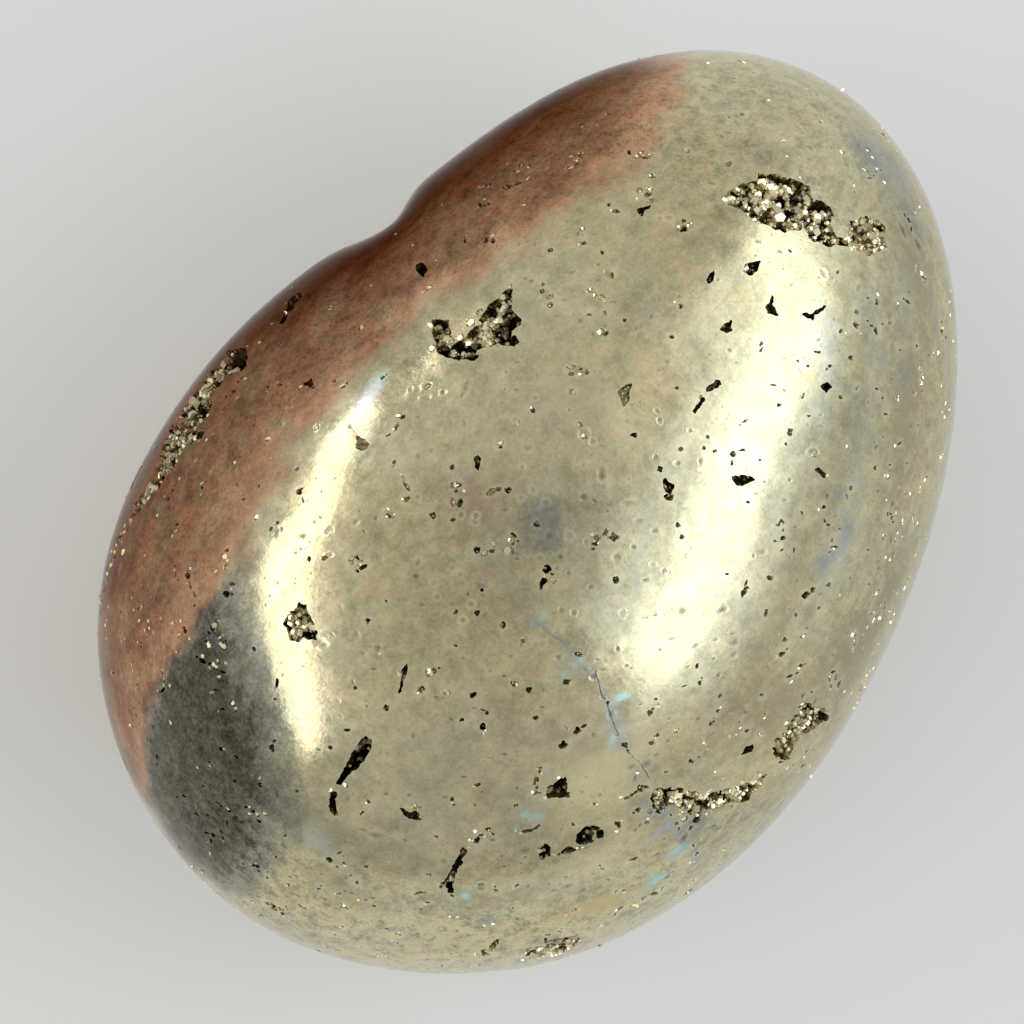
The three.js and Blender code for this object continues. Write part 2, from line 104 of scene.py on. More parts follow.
    (873, 596, 2.2, 1.5, 0, .45), (878, 568, 3, 2, 0, .25), (879, 590, 2.5, 1.5, 15, .5), (881, 576, 3, 1, 0, .3), (892, 568, 2.5, 1, -10, .2), (897, 593, 2.2, 1.8, 0, .45),
    (898, 570, 2.5, 1, 0, .3), (903, 594, 2, 1.5, 0, .3), (903, 566, 2.5, 1.2, -10, .25), (908, 580, 1.6, 3.5, 15, .65), (909, 577, 1.5, 1.5, 0, .4), (921, 563, 1, 3, 20, .35),
    (101, 612, 1.5, 3, 0, .6), (104, 624, 1, 4, 0, .25), (106, 619, 2, 1, 0, .2), (107, 615, 1.2, 2, 0, .6), (110, 608, 1, 3, 0, .25), (121, 612, 1.5, 2, 0, .3),
    (123, 617, 1.5, 3, 0, .3), (139, 609, 1.5, 3, 0, .4), (147, 637, 2, 1.5, -40, .3), (184, 628, 2, 2, 0, .5), (185, 631, 3, 2, 60, .6), (194, 605, 2, 1.5, 20, .3),
    (209, 633, 2.5, 2, 0, .4), (332, 634, 4, 1.5, 40, .25), (368, 621, 4, 3, 0, .6), (386, 601, 2, 1.5, 30, .35), (456, 612, 3, 3, 0, .35), (477, 613, 3, 4, -30, .5),
    (503, 625, 4, 3.5, 0, .5), (655, 615, 3, 1, -15, .2), (682, 611, 4, 4, 0, .1), (723, 610, 6, 3, -15, .15), (766, 613, 2.2, 5, 20, .5), (789, 609, 2, 1.5, 0, .25),
    (796, 615, 2.5, 2, 30, .45), (802, 637, 2.5, 2, 0, .3), (807, 628, 2, 1.5, 0, .25), (819, 608, 3, 2, 10, .35), (855, 635, 3.8, 3, 0, .65), (856, 612, 2.5, 1.5, -10, .25),
    (871, 614, 2, 1.5, 0, .3), (873, 622, 2, 1, 0, .3), (876, 625, 2, .8, 0, .2), (877, 616, 4, 1.2, -5, .45), (877, 637, 1.8, 1.2, 0, .4), (879, 614, 2.5, 2, 0, .4),
    (884, 608, 4, 1.5, 10, .4), (884, 612, 2, 1, 0, .35), (884, 639, 1.5, 1, 0, .25), (885, 602, 2.5, 1.5, 10, .5), (885, 605, 2.2, 1, 0, .45), (889, 611, 4, 3, 20, .8),
    (893, 609, 1.5, 1, 0, .6), (893, 621, 2, 1, 0, .35), (129, 669, 2, 2, 0, .4), (131, 652, 1.5, 2.5, 20, .25), (141, 647, 2, 1.5, 0, .5), (141, 643, 1.5, 1.5, 0, .5),
    (162, 672, 2, 3, 0, .4), (177, 652, 2.5, 1.5, 0, .6), (197, 657, 1.5, 2, 0, .8), (202, 661, 7, 2.5, 25, 1), (210, 664, 3, 2, 30, .7), (223, 672, 5, 1.5, 10, .6),
    (225, 642, 2.5, 2.5, 0, .5), (254, 649, 2.5, 2.5, 0, .35), (325, 645, 5, 3, -20, .25), (374, 669, 4, 1.5, 0, .2), (378, 648, 4, 4, 0, .25), (434, 671, 3, 4, -20, .4),
    (439, 668, 2, 1.5, -30, .3), (456, 646, 3, 1.5, 40, .3), (504, 676, 3, 2, 0, .2), (521, 645, 1.5, 3, 0, .25), (523, 641, 4, 2, 50, .3), (578, 654, 6, 3, 20, .3),
    (593, 677, 4, 3, 0, .2), (597, 660, 3, 1, 0, .15), (617, 649, 2.5, 3, 0, .2), (626, 666, 2.5, 1.5, -30, .15), (697, 666, 2, 3.5, 10, .55), (702, 678, 1.5, 1.5, 0, .3),
    (714, 659, 2, 1.5, -40, .2), (719, 676, 2.5, 1, -50, .2), (767, 666, 1.5, 1, 0, .2), (782, 654, 4.5, 2.5, -35, .7), (785, 640, 3, 3, 0, .5), (787, 649, 2, 1, -50, .3),
    (790, 676, 4.5, 1.5, -20, .5), (797, 673, 3, 1, -30, .4), (801, 666, 3.5, 2.5, -15, .5), (805, 664, 1.5, 1, -20, .3), (833, 672, 4, 2, 0, .8), (855, 645, 2, 2, 0, .55),
    (870, 671, 2, 2, 0, .6), (871, 666, 1.5, 1.5, 0, .2), (874, 644, 2, 1, 0, .3), (124, 686, 3, 5, 0, .2), (134, 708, 1.5, 1.5, 0, .35), (136, 716, 1.5, 2, 0, .4),
    (146, 697, 2, 2, 0, .2), (160, 692, 2, 1.5, 0, .5), (163, 690, 4.5, 2, -45, .8), (216, 690, 6, 1, 0, .3), (222, 709, 4, 1.5, 5, .6), (275, 699, 2, 1.5, 0, .3),
    (277, 683, 2, 6, 5, .7), (353, 682, 1, 4, -10, .2), (355, 688, 2.5, 3, 0, .35), (367, 706, 2, 1.5, 45, .25), (386, 708, 3.5, 4, 0, .7), (421, 690, 4, 6, 30, .35),
    (451, 719, 3, 1, 45, .25), (473, 695, 4, 3.5, 10, .75), (474, 708, 3, 1, 10, .25), (483, 710, 4, 1, 20, .35), (487, 713, 2.5, 2.5, 0, .4), (514, 684, 4, 4, 0, .3),
    (529, 690, 3.5, 4, 20, .6), (536, 718, 3.5, 3, 20, .5), (542, 707, 3, 1.2, 0, .25), (567, 682, 5, 3.5, 0, .6), (602, 697, 2, 3, -30, .25), (608, 703, 2.5, 3, 20, .4),
    (610, 715, 3, 4, 0, .25), (650, 713, 3, 4, 30, .5), (653, 709, 2, 2, 0, .4), (656, 699, 2, 2, 0, .3), (658, 705, 2, 2, 0, .2), (684, 686, 3.5, 1, -20, .3),
    (700, 683, 2.5, 3, -10, .5), (712, 719, 1.2, 2, 0, .3), (718, 711, 2.5, 2, -10, .5), (720, 696, 4, 1.2, -40, .3), (745, 712, 2, 1.5, 0, .15), (762, 695, 2.8, 2.3, 0, .7),
    (765, 714, 1.5, 1.2, 0, .4), (812, 692, 3, 1.2, 20, .35), (815, 701, 2, 3, 0, .25), (830, 680, 1.5, 2, 0, .4), (831, 687, 1, 3, 0, .4), (839, 685, 2.5, 4, 10, .8),
    (840, 682, 3, 1.5, 0, .6), (859, 695, 1.5, 1.5, 0, .4), (861, 689, 1.5, 4, 20, .55), (864, 683, 2.5, 2, -30, .8), (129, 722, 1.5, 1, 0, .5), (133, 721, 1.5, 1.5, 0, .4),
    (139, 724, 1.5, 1, 0, .3), (153, 727, 2, 2.5, 0, .4), (157, 757, 1.5, 3, 0, .5), (195, 742, 1.5, 1.5, 0, .2), (211, 754, 2, 1.5, 0, .25), (218, 730, 1.5, 2, 0, .2),
    (221, 749, 3.5, 2, 35, .6), (236, 757, 3.5, 2, 0, .4), (240, 737, 1, 1, 0, .25), (272, 748, 3.5, 4, 10, .8), (274, 741, 2, 2.5, 0, .4), (319, 750, 3, 1, 10, .25),
    (330, 748, 3, 3, 0, .55), (347, 730, 4.5, 1.8, 0, .7), (413, 736, 3, 4, 0, .2), (462, 720, 4, 2, -10, .6), (483, 727, 3.5, 5, -10, .9), (505, 754, 3, 2, 0, .25),
    (563, 745, 5, 4.5, -30, .95), (577, 731, 6, 3.5, -35, .9), (584, 726, 4, 2, -30, .6), (593, 735, 3, 3, -20, .25), (617, 735, 3, 2, 0, .25), (625, 745, 4, 3.5, 30, .5),
    (628, 751, 2.5, 2, 0, .35), (652, 743, 4, 2.5, 0, .55), (658, 735, 2.5, 2.5, 20, .5), (668, 741, 3, 1.2, -50, .25), (699, 757, 2, 1, -30, .3), (711, 724, 2.5, 3, 0, .5),
    (739, 722, 1.5, 1, 0, .15), (747, 731, 2.8, 2.2, -20, .5), (807, 751, 4, 1.5, -20, .5), (812, 732, 3, 1.5, 45, .3), (815, 733, 3, 1.2, 45, .5), (157, 764, 1.8, 1.5, 0, .8),
    (177, 797, 1.3, 1.3, 0, .6), (184, 796, 4, 2, 0, .3), (203, 786, 2, 1.5, 0, .3), (209, 762, 2, 1, 0, .3), (217, 777, 3, 3, 0, .15), (235, 781, 3, 2, -20, .3),
    (260, 785, 3, 3, 50, .7), (277, 794, 2, 6, 0, .2), (297, 791, 2.5, 1.5, 0, .3), (386, 794, 3, 2, 0, .25), (409, 795, 3, 1.5, 0, .15), (464, 777, 4, 1, 0, .2),
    (477, 785, 5, 2, -20, .5), (482, 792, 2, 1.5, 0, .2), (517, 788, 2, 2, 0, .15), (535, 782, 1.8, 7, 10, .4), (537, 780, 4, 2, 80, .4), (537, 788, 3, 2, 90, .4),
    (540, 768, 4, 2, 0, .3), (540, 772, 3, 2, 60, .3), (540, 793, 2.5, 1, 10, .4), (546, 797, 4, 2, 20, .7), (600, 795, 1.5, 2, 0, .25), (627, 798, 4, 2.5, -20, .5),
    (632, 795, 3, 2, 0, .4), (635, 778, 1, 4, 0, .25), (636, 792, 5, 1.5, -30, .6), (641, 788, 5, 4, -10, .8), (646, 787, 4, 2, 10, .6), (666, 772, 3, 1.3, -10, .5),
    (691, 762, 4, 2.5, -30, .7), (758, 772, 2, 1, 0, .4), (763, 777, 4, 2.5, -10, .75), (766, 775, 2, 2, -60, .5), (781, 762, 6, 1.5, 15, .8), (794, 765, 3, 1.5, 0, .6),
    (803, 766, 5, 2.2, -20, .8), (808, 779, 1.5, 2, 0, .35), (170, 820, 2, 1, 0, .2), (183, 808, 3, 1.5, 0, .35), (184, 803, 2, 1.5, 0, .3), (191, 805, 2, 1.5, 0, .25),
    (196, 814, 3, 3, 40, .3), (201, 823, 4, 2, 0, .2), (207, 833, 4, 1.2, 10, .9), (207, 815, 4, 1.5, -20, .3), (213, 835, 3, 3, 0, 1), (215, 819, 3, 4, 0, .25),
    (218, 803, 3, 1.5, 30, .3), (220, 805, 3, 2, 45, .4), (221, 832, 2, 3, 0, .5), (222, 812, 2, 2, 0, .25), (223, 838, 1, 4, -15, .3), (227, 823, 1, 4, 0, .3),
    (229, 811, 2.5, 2, 0, .9), (235, 819, 4, 4, 0, .4), (241, 822, 3, 2, 0, .35), (246, 807, 2, 1.5, 20, .7), (253, 811, 3, 2, 40, .7), (259, 821, 3.5, 1.8, 20, .8),
    (285, 836, 2, 2, 0, .3), (314, 832, 1.5, 1.5, 0, .25), (362, 813, 5, 1.3, -40, .5), (368, 802, 2.8, 2.5, 0, .6), (419, 819, 4, 1.5, 10, .6), (436, 837, 2.5, 3, -30, .3),
    (452, 800, 2.5, 4, 10, .4), (454, 805, 1.5, 2, 0, .3), (475, 805, 2, 2, 0, .1), (481, 835, 3, 2, -30, .6), (488, 829, 4, 1.8, -25, .6), (493, 834, 4, 1, 50, .3),
    (516, 806, 3, 2.5, 0, .4), (524, 832, 4, 2, -20, .5), (527, 831, 7, 2, -5, .5), (531, 830, 6, 1.3, -10, .5), (536, 828, 4, 1.5, -30, .4), (538, 826, 3, 1.5, -45, .45),
    (574, 825, 3.5, 2, 25, .5), (595, 804, 3, 2.5, 0, .3), (618, 824, 4, 3.5, 10, .65), (620, 827, 2.5, 2, 0, .5), (634, 813, 2, 1.5, 0, .5), (635, 830, 1.2, 2.5, 0, .2),
    (638, 810, 4, 4, 0, .75), (640, 825, 1.5, 3, 0, .25), (647, 823, 3, 3.5, 0, .4), (658, 812, 5, 2, 20, .7), (663, 809, 6, 3, 20, .5), (671, 815, 4, 1, 45, .4),
    (677, 824, 2.5, 4, -20, .6), (679, 829, 2, 2, 0, .7), (684, 838, 5, 4, -20, .2), (691, 828, 4, 1.8, -45, .6), (713, 826, 3, 2, 0, .25), (779, 807, 2, 1, 0, .2),
    (194, 868, 1.5, 1.5, 45, .6), (196, 870, 1.5, 1.5, 0, .6), (202, 870, 3, 1.2, 20, .7), (205, 872, 1.2, 2, 0, .7), (211, 841, 1.5, 4, 0, 1), (220, 850, 5, 2.5, 10, .25),
    (224, 860, 3, 1.5, 0, .25), (243, 864, 1.5, 2, 0, .3), (252, 866, 2.5, 1.2, 0, .5), (256, 866, 5, 1.8, 20, .7), (259, 871, 1.5, 2, 0, .6), (267, 878, 1.5, 2.5, -20, .7),
    (268, 872, 1.5, 1.5, 0, .6), (276, 857, 2, 2, 0, .5), (290, 877, 2, 1, 0, .2), (321, 874, 1.5, 1.5, 0, .2), (329, 860, 4, 3.5, 0, 1), (330, 845, 1.5, 1.2, 0, .25),
    (337, 867, 2, 1.5, 0, .35), (339, 853, 5, 1.3, -35, .5), (344, 864, 2, 3.5, 15, .35), (346, 842, 2, 1.2, 0, .2), (346, 878, 1.5, 2, 0, .15), (351, 876, 1.5, 2, 0, .3),
    (364, 862, 2, 1.5, -20, .2), (366, 867, 3, 2.5, 0, .35), (429, 875, 4, 2, 10, .35), (477, 840, 5.5, 2.5, -60, .95), (493, 840, 3, 1.5, 10, .2), (500, 857, 5, 1, -45, .2),
    (504, 866, 3, 1, -10, .2), (521, 863, 2, 1, 0, .15), (525, 857, 3, 1, 0, .15), (559, 855, 2, 3, 0, .5), (566, 877, 2, 1.5, 0, .2), (577, 849, 3, 1.2, 20, .4),
    (600, 866, 2, 2, 0, .3), (603, 869, 3, 1.3, 15, .3), (634, 859, 5, 2, -15, .5), (657, 854, 3, 1.5, 0, .25), (667, 877, 3, 2, 0, .25), (694, 845, 2.5, 3, 30, .6),
    (697, 854, 2.5, 6, -20, .5), (708, 867, 1.5, 2.5, 0, .3), (715, 868, 2.5, 1.2, -20, .3), (719, 865, 2.5, 1.2, -25, .4), (724, 849, 3, 2, 0, .35), (725, 855, 2, 1, 0, .2),
    (244, 902, 3, 1.5, 20, .4), (249, 890, 1.5, 1, 0, .2), (253, 902, 3, 1.2, 20, .35), (267, 904, 3.5, 1.3, 30, .6), (270, 914, 1.5, 2.5, -20, .4), (272, 905, 6, 1.8, 25, .7),
    (274, 909, 4.5, 2, 35, .65), (280, 909, 4, 2, 35, .8), (280, 917, 1.2, 1.5, 0, .6), (283, 914, 3.5, 3.5, 0, 1), (283, 909, 1.5, 2, 0, .8), (286, 918, 1.5, 1.5, 0, .7),
    (287, 910, 1.2, 1.2, 0, .6), (287, 896, 2, 1.5, 0, .2), (288, 885, 2.5, 2, 30, .4), (293, 917, 1, 2.5, 0, .8), (298, 896, 2, 1, 0, .2), (300, 906, 3.5, 1.5, 35, .6),
    (304, 908, 3, 1.2, 20, .4), (318, 889, 3, 1.5, -20, .4), (321, 886, 2, 1.2, -20, .3), (325, 899, 2.5, .8, 20, .2), (338, 894, 4, 1.5, -5, .4), (341, 907, 1.5, 1, 0, .5),
    (345, 907, 5, 1.8, 40, .7), (345, 891, 2, 1.5, 0, .2), (352, 893, 2, 1.5, 0, .2), (357, 883, 2, 3.5, 10, .5), (366, 900, 2, 1.5, 20, .35), (373, 898, 3, .8, 0, .2),
    (374, 906, 2.5, 1.5, 0, .4), (420, 893, 9, 1.3, -10, .5), (421, 909, 2, 1, 0, .25), (427, 903, 3, 2, -15, .45), (441, 888, 3, 2.5, 0, .5), (443, 884, 4, 3, -60, .6),
    (452, 896, 2, 4, -10, .6), (481, 884, 5, 1.5, -10, .25), (495, 887, 1.5, 2, 0, .3), (496, 891, 2.5, 3, 0, .55), (513, 908, 1.5, 1.5, 0, .4), (517, 886, 3, 2, -40, .3),
    (517, 919, 2, 1.5, 0, .2), (528, 886, 1.5, 2.5, 0, .25), (608, 880, 2.5, 2, -20, .3), (616, 914, 2.5, 2.5, -30, .6), (616, 892, 2.5, 1.8, -45, .45), (620, 909, 4, 3, -30, .6),
    (624, 891, 2.5, 2, -30, .55), (627, 908, 1.3, 1.8, 20, .45), (632, 886, 2, 1.2, 0, .2), (640, 884, 1.5, 1, 0, .2), (643, 914, 3.5, 1.2, -5, .4), (644, 898, 4, 1.5, -40, .55),
    (654, 894, 5.5, 2.5, -15, .95), (661, 889, 4, 1.3, -35, .5), (666, 885, 1.5, 1.5, -40, .45), (679, 897, 3, 2, -20, .5), (686, 894, 3, 2, -20, .55), (688, 892, 6, 2.5, -35, .6),
    (688, 885, 3, 1.3, -20, .45), (690, 890, 4, 1.3, -20, .55), (694, 880, 4, 1.5, 0, .6), (696, 884, 3, 1, -10, .3), (270, 924, 1.2, 1.2, 0, .4), (285, 938, 5, 1, 30, .25),
    (301, 942, 1.5, 1, 20, .35), (303, 947, 2, 1, 0, .4), (317, 950, 5, 1, 25, .45), (327, 947, 2, 1, 20, .3), (334, 935, 2.5, 1.3, -15, .75), (342, 927, 2, 1.2, 0, .35),
    (350, 957, 2, .6, 20, .1), (361, 947, 2, 1, 0, .35), (378, 955, 2.5, 1.2, 0, .4), (384, 939, 1.3, 1, -20, .25), (385, 955, 2, .8, 0, .3), (387, 929, 2.5, 1.2, 20, .3),
    (396, 943, 3, 1, 10, .3), (396, 934, 1.5, 1.5, 0, .35), (400, 935, 2, 2, 20, .65), (402, 946, 3, 1, 0, .25), (418, 934, 2, 1.2, 0, .2), (427, 959, 2, .8, 0, .2),
    (451, 954, 2.5, 1, 10, .35), (455, 946, 3, 1.5, -10, .25), (457, 931, 2, 1.5, 0, .15), (479, 957, 1.5, 1.8, 0, .6), (490, 934, 1.5, 1.5, 0, .25), (493, 937, 1.5, 1, 0, .25),
    (500, 957, 1.5, 1, 0, .2), (508, 957, 2, .8, -20, .3), (512, 958, 1.8, 1.8, 0, .65), (515, 930, 2, 1, 0, .2), (515, 955, 1.2, .8, 0, .3), (521, 929, 1.5, .8, 0, .2),
    (536, 923, 2, 1, 0, .1), (539, 958, 2, 1.5, 0, .6), (544, 956, 1.5, 2, -30, .5), (548, 935, 4, .8, -5, .35), (560, 932, 3, 1.2, 10, .35), (562, 929, 1.5, 1.5, 0, .35),
    (570, 922, 2.5, .8, -20, .25), (590, 922, 1.5, 1, 0, .15), (609, 934, 1.5, .8, 0, .15), (622, 926, 1.5, 1, 0, .2), (365, 963, 2, .8, 0, .2), (388, 965, 1.5, .8, 0, .2),
    (397, 967, 2.5, 1, 0, .45), (428, 969.5, 3.5, 1, 0, .5), (443, 966, 3, .8, 10, .4), (472, 966, 2, 1, 0, .3),
]
# darker gaps inside the cavities, deep cuts painted black: painted shade
GAPS = [
    (783, 197, 9, 4, 10, .9), (787, 180, 8, 2.5, 10, .9), (796, 184, 5, 3, 20, .9), (797, 191, 5, 3, 0, .9), (800, 197, 8, 3, 10, .9), (810, 199, 4, 2, 20, .9),
    (775, 224, 4, 2, 20, .9), (785, 228, 6, 4, 0, .9), (793, 210, 5, 6, 0, .9), (798, 216, 4, 3, 0, .9), (811, 235, 3, 5, 0, .9), (822, 205, 9, 3.5, 25, .9),
    (823, 234, 5, 6, 0, .9), (831, 212, 5, 2, 70, .9), (852, 222, 4, 1.5, -10, .9), (860, 237, 4, 3, 20, .9), (867, 218, 4, 1.5, 0, .9), (880, 226, 6, 2, 0, .9),
    (832, 242, 9, 3, 0, .9), (845, 241, 4, 1.5, 0, .9), (440, 322, 7, 3, 0, .8), (443, 350, 5, 4, 0, .9), (462, 357, 9, 3, 0, .8), (474, 345, 5, 7, 0, .9),
    (215, 380, 5, 5, 0, .5), (171, 430, 3, 1.5, 0, .4), (199, 434, 4, 3, -30, .6), (168, 449, 6, 3, -5, .7), (168, 452, 4, 2, 0, .6), (138, 510, 3, 2.5, 0, .5),
    (294, 612, 5, 1.5, 0, .8), (304, 635, 8, 2, 5, .8), (312, 632, 3, 4, 0, .8), (805, 708, 5, 5, 0, .6), (815, 711, 8, 1.5, 5, .7), (825, 718, 4, 4, 0, .5),
    (776, 745, 3, 2, 0, .6), (780, 741, 5, 4.5, 30, 1), (783, 757, 8, 2.5, 20, .9), (792, 725, 4, 3, -20, .7), (550, 787, 4, 1.5, -30, .5), (556, 791, 5.5, 5, -30, 1),
    (561, 786, 4, 4, 0, .8), (564, 781, 3, 4, 10, .7), (567, 793, 5, 1.5, 10, .5), (659, 798, 2.5, 3, 0, .5), (664, 792, 4, 2, 10, .6), (672, 791, 3.5, 6, 10, .8),
    (682, 792, 4, 3, 0, .5), (702, 799, 5, 2.5, 10, .6), (715, 799, 3, 3, 0, .4), (724, 794, 5, 4, 40, .95), (743, 788, 3, 2, 40, .5), (748, 785, 4, 2, 20, .6),
    (748, 799, 2, 3, 30, .6), (750, 793, 5, 1, 90, .5), (752, 790, 1.5, 5, 10, .75), (755, 787, 4, 1.5, 0, .7), (586, 833, 7, 5.5, -35, .95), (595, 828, 5, 2.5, 10, .7),
    (600, 834, 4, 5, 0, .3), (655, 806, 3, 3, 0, .5), (687, 808, 2.5, 2, 0, .5), (696, 814, 2.5, 5, 0, .95), (696, 820, 4, 3, 0, .95), (696, 805, 3, 3.5, 0, .85),
    (709, 804, 4, 3, 0, .4), (727, 800, 3, 3, 0, .8), (450, 874, 4, 2, -70, .9), (455, 868, 5, 2.5, -50, .9), (459, 862, 4, 4, 0, .9), (463, 851, 3, 3.5, 0, .8),
    (541, 850, 4, 1, 40, .5), (543, 857, 6, 1.5, -20, .4), (546, 847, 4, 4, 0, .7), (549, 854, 1.5, 4, -15, .7), (566, 851, 6, 2.5, -20, .7), (572, 850, 5, 2, -10, .7),
    (582, 841, 3.5, 4, 0, .95), (590, 841, 4, 2, 0, .4), (447, 880, 3, 2, -30, .9), (448, 886, 2.5, 3, -30, .9), (451, 890, 3, 3, 0, .85), (485, 953, 4.5, 2.5, -15, .8),
    (491, 947, 3, 1.8, -40, .75), (497, 942, 2.8, 3, 0, .85), (528, 950, 1.8, 1.3, 0, .35), (531, 956, 2.5, 2.5, 0, .6), (546, 941, 1.8, 4, 0, .6), (550, 947, 3, 1, 30, .35),
]
# faint shallow pits: place, half length, half width, turn
FAINT = [
    (676, 97, 1.5, 2, 0), (714, 86, 4, 3, 0), (729, 117, 2, 2, 0), (736, 116, 3, 1.5, -10), (812, 104, 3.5, 1.5, 0), (816, 115.5, 2, 2, 0), (722, 137, 2, 2, 0), (810, 148, 3, 2, 0),
    (841, 126, 2, 2.5, 0), (712, 183, 5, 2, 0), (801, 166, 2, 2, 0), (807, 168, 1.5, 1.5, 0), (846, 165, 2, 1.5, 0), (567, 221, 2, 1.5, 0), (578, 234, 3, 2, 90), (655, 200, 3, 2, 0),
    (678, 230, 3, 2, 0), (519, 244, 2.5, 2.5, 0), (526, 278, 3, 2, 0), (528, 241, 2, 1.5, 0), (535, 244, 2.5, 2, 80), (566, 272, 2, 1.5, 0), (572, 272, 4, 2, 0), (717, 279, 2, 2, 0),
    (757, 241, 3, 2, -10), (450, 292, 2, 1.5, 0), (531, 281, 3, 2, 20), (557, 316, 3, 2, 0), (564, 300, 3, 1.5, -20), (598, 280, 3, 2, 0), (614, 302, 3, 1.5, 0), (651, 316, 2.5, 2, 90),
    (679, 296, 2.5, 2, 0), (791, 285, 3, 1.5, -45), (860, 286, 2.5, 1.5, 0), (335, 355, 2, 1.5, 0), (580, 321, 3, 2.5, 90), (593, 334, 3, 2, 90), (605, 326, 3, 2, 0), (628, 331, 2.5, 1.5, -20),
    (636, 328, 2, 1.5, 90), (709, 354, 2, 1.5, 0), (819, 340, 3, 2, -20), (840, 351, 2, 1, -20), (237, 398, 3, 1.5, 0), (428, 399, 3, 1.5, 0), (434, 365, 2, 1.5, 0), (462, 395, 1.5, 4, 10),
    (466, 388, 3, 8, 10), (516, 390, 3, 1.5, 0), (517, 362, 3, 1.5, 0), (600, 372, 2, 1.5, 0), (667, 362, 2.5, 2, 0), (846, 378, 3, 1.5, 0), (213, 434, 2, 1.5, 0), (280, 425, 3, 6, 0),
    (298, 420, 1.5, 1.5, 0), (303, 413, 1.5, 1.5, 0), (316, 404, 1.5, 2, 0), (418, 417, 3, 2, 0), (464, 422, 2, 4, -20), (658, 412, 2, 2, 0), (659, 420, 2.5, 2.5, 0), (690, 431, 3, 2, 0),
    (808, 425, 2, 1.5, 0), (821, 426, 3, 1.5, 10), (821, 415, 2, 1.5, 0), (196, 460, 3, 2, -20), (210, 472, 2, 1.5, 0), (418, 456, 3, 3, 0), (432, 451, 3, 3, 0), (655, 458, 4, 4, 0),
    (678, 463, 3, 3, 0), (834, 450, 1.5, 1, 0), (845, 461, 2, 1.5, 0), (851, 472, 1.5, 1.5, 0), (206, 517, 2, 1.5, 0), (216, 490, 2, 1.5, 0), (505, 510, 4, 2, 0), (628, 503, 6, 3, 0),
    (756, 494, 2, 2, 0), (785, 500, 3, 2, 0), (828, 509, 1.5, 1.5, 0), (835, 516, 2, 2, 0), (165, 548, 1.5, 1.5, 0), (310, 542, 2, 2, 0), (330, 530, 4, 3, 0), (356, 522, 3, 3, 0),
    (549, 536, 4, 4, 0), (616, 557, 4, 4, 0), (638, 521, 4, 3, 0), (763, 552, 4, 3, 0), (790, 557, 2, 2, 0), (852, 545, 2, 1.5, 0), (269, 596, 2, 2, 0), (277, 584, 2, 1.5, 0),
    (330, 593, 4, 2, 10), (480, 585, 6, 3, 10), (590, 587, 3, 2, 0), (820, 594, 3, 1.5, 0), (243, 603, 3, 2, 0), (265, 605, 1, 2, 0), (340, 606, 3, 2, 30), (357, 632, 3, 1.5, 30),
    (380, 627, 3, 1.5, 30), (422, 604, 4, 2, 20), (556, 633, 3, 2, 0), (561, 610, 3, 3, 0), (573, 613, 3, 3, 0), (671, 639, 4, 2, 0), (732, 634, 2, 1.5, 0), (187, 657, 2, 3, 0),
    (204, 679, 2, 1, 0), (320, 642, 6, 4, 0), (353, 640, 3, 2, 0), (363, 653, 3, 1.5, 10), (463, 658, 3, 2, 0), (497, 663, 2, 1, 0), (511, 656, 3, 1.5, -10), (558, 657, 4, 3, 0),
    (585, 670, 3, 1.5, 0), (602, 670, 4, 2, 0), (660, 650, 3, 2, 0), (688, 667, 3, 1, -20), (696, 646, 4, 2, -20), (716, 640, 3, 2, 0), (734, 655, 3, 3, 0), (735, 643, 4, 3, 0),
    (820, 658, 2, 1.5, 0), (833, 655, 2, 1.5, 0), (141, 686, 2, 3, 0), (168, 700, 2, 3, 0), (186, 686, 1.5, 1.5, 0), (338, 701, 2.5, 2.5, 0), (341, 716, 3, 1.5, 30), (436, 697, 4, 1, 0),
    (443, 698, 3, 1, 0), (481, 680, 2, 1.5, 0), (543, 690, 2, 3, 0), (640, 705, 3, 1, -10), (669, 719, 2, 1.5, 0), (698, 719, 3, 1.5, 0), (168, 745, 3, 2, 0), (174, 736, 3, 2, 0),
    (176, 729, 2, 3, 0), (202, 730, 2, 2, 0), (656, 755, 4, 1.5, 0), (445, 797, 3, 2, 0), (586, 777, 2, 1, 0), (631, 767, 4, 3, 0), (646, 764, 5, 4, 0), (363, 830, 5, 2, 0),
    (376, 835, 8, 3, 0), (720, 828, 2, 2, 0), (347, 855, 2, 1, 0), (405, 840, 2, 2, 0), (444, 861, 4, 3, 0), (549, 884, 2, 1.5, 0), (554, 890, 3, 2, 0), (560, 884, 2, 1.5, 0),
    (567, 886, 6, 2, 0), (583, 890, 3, 2, 0),
]
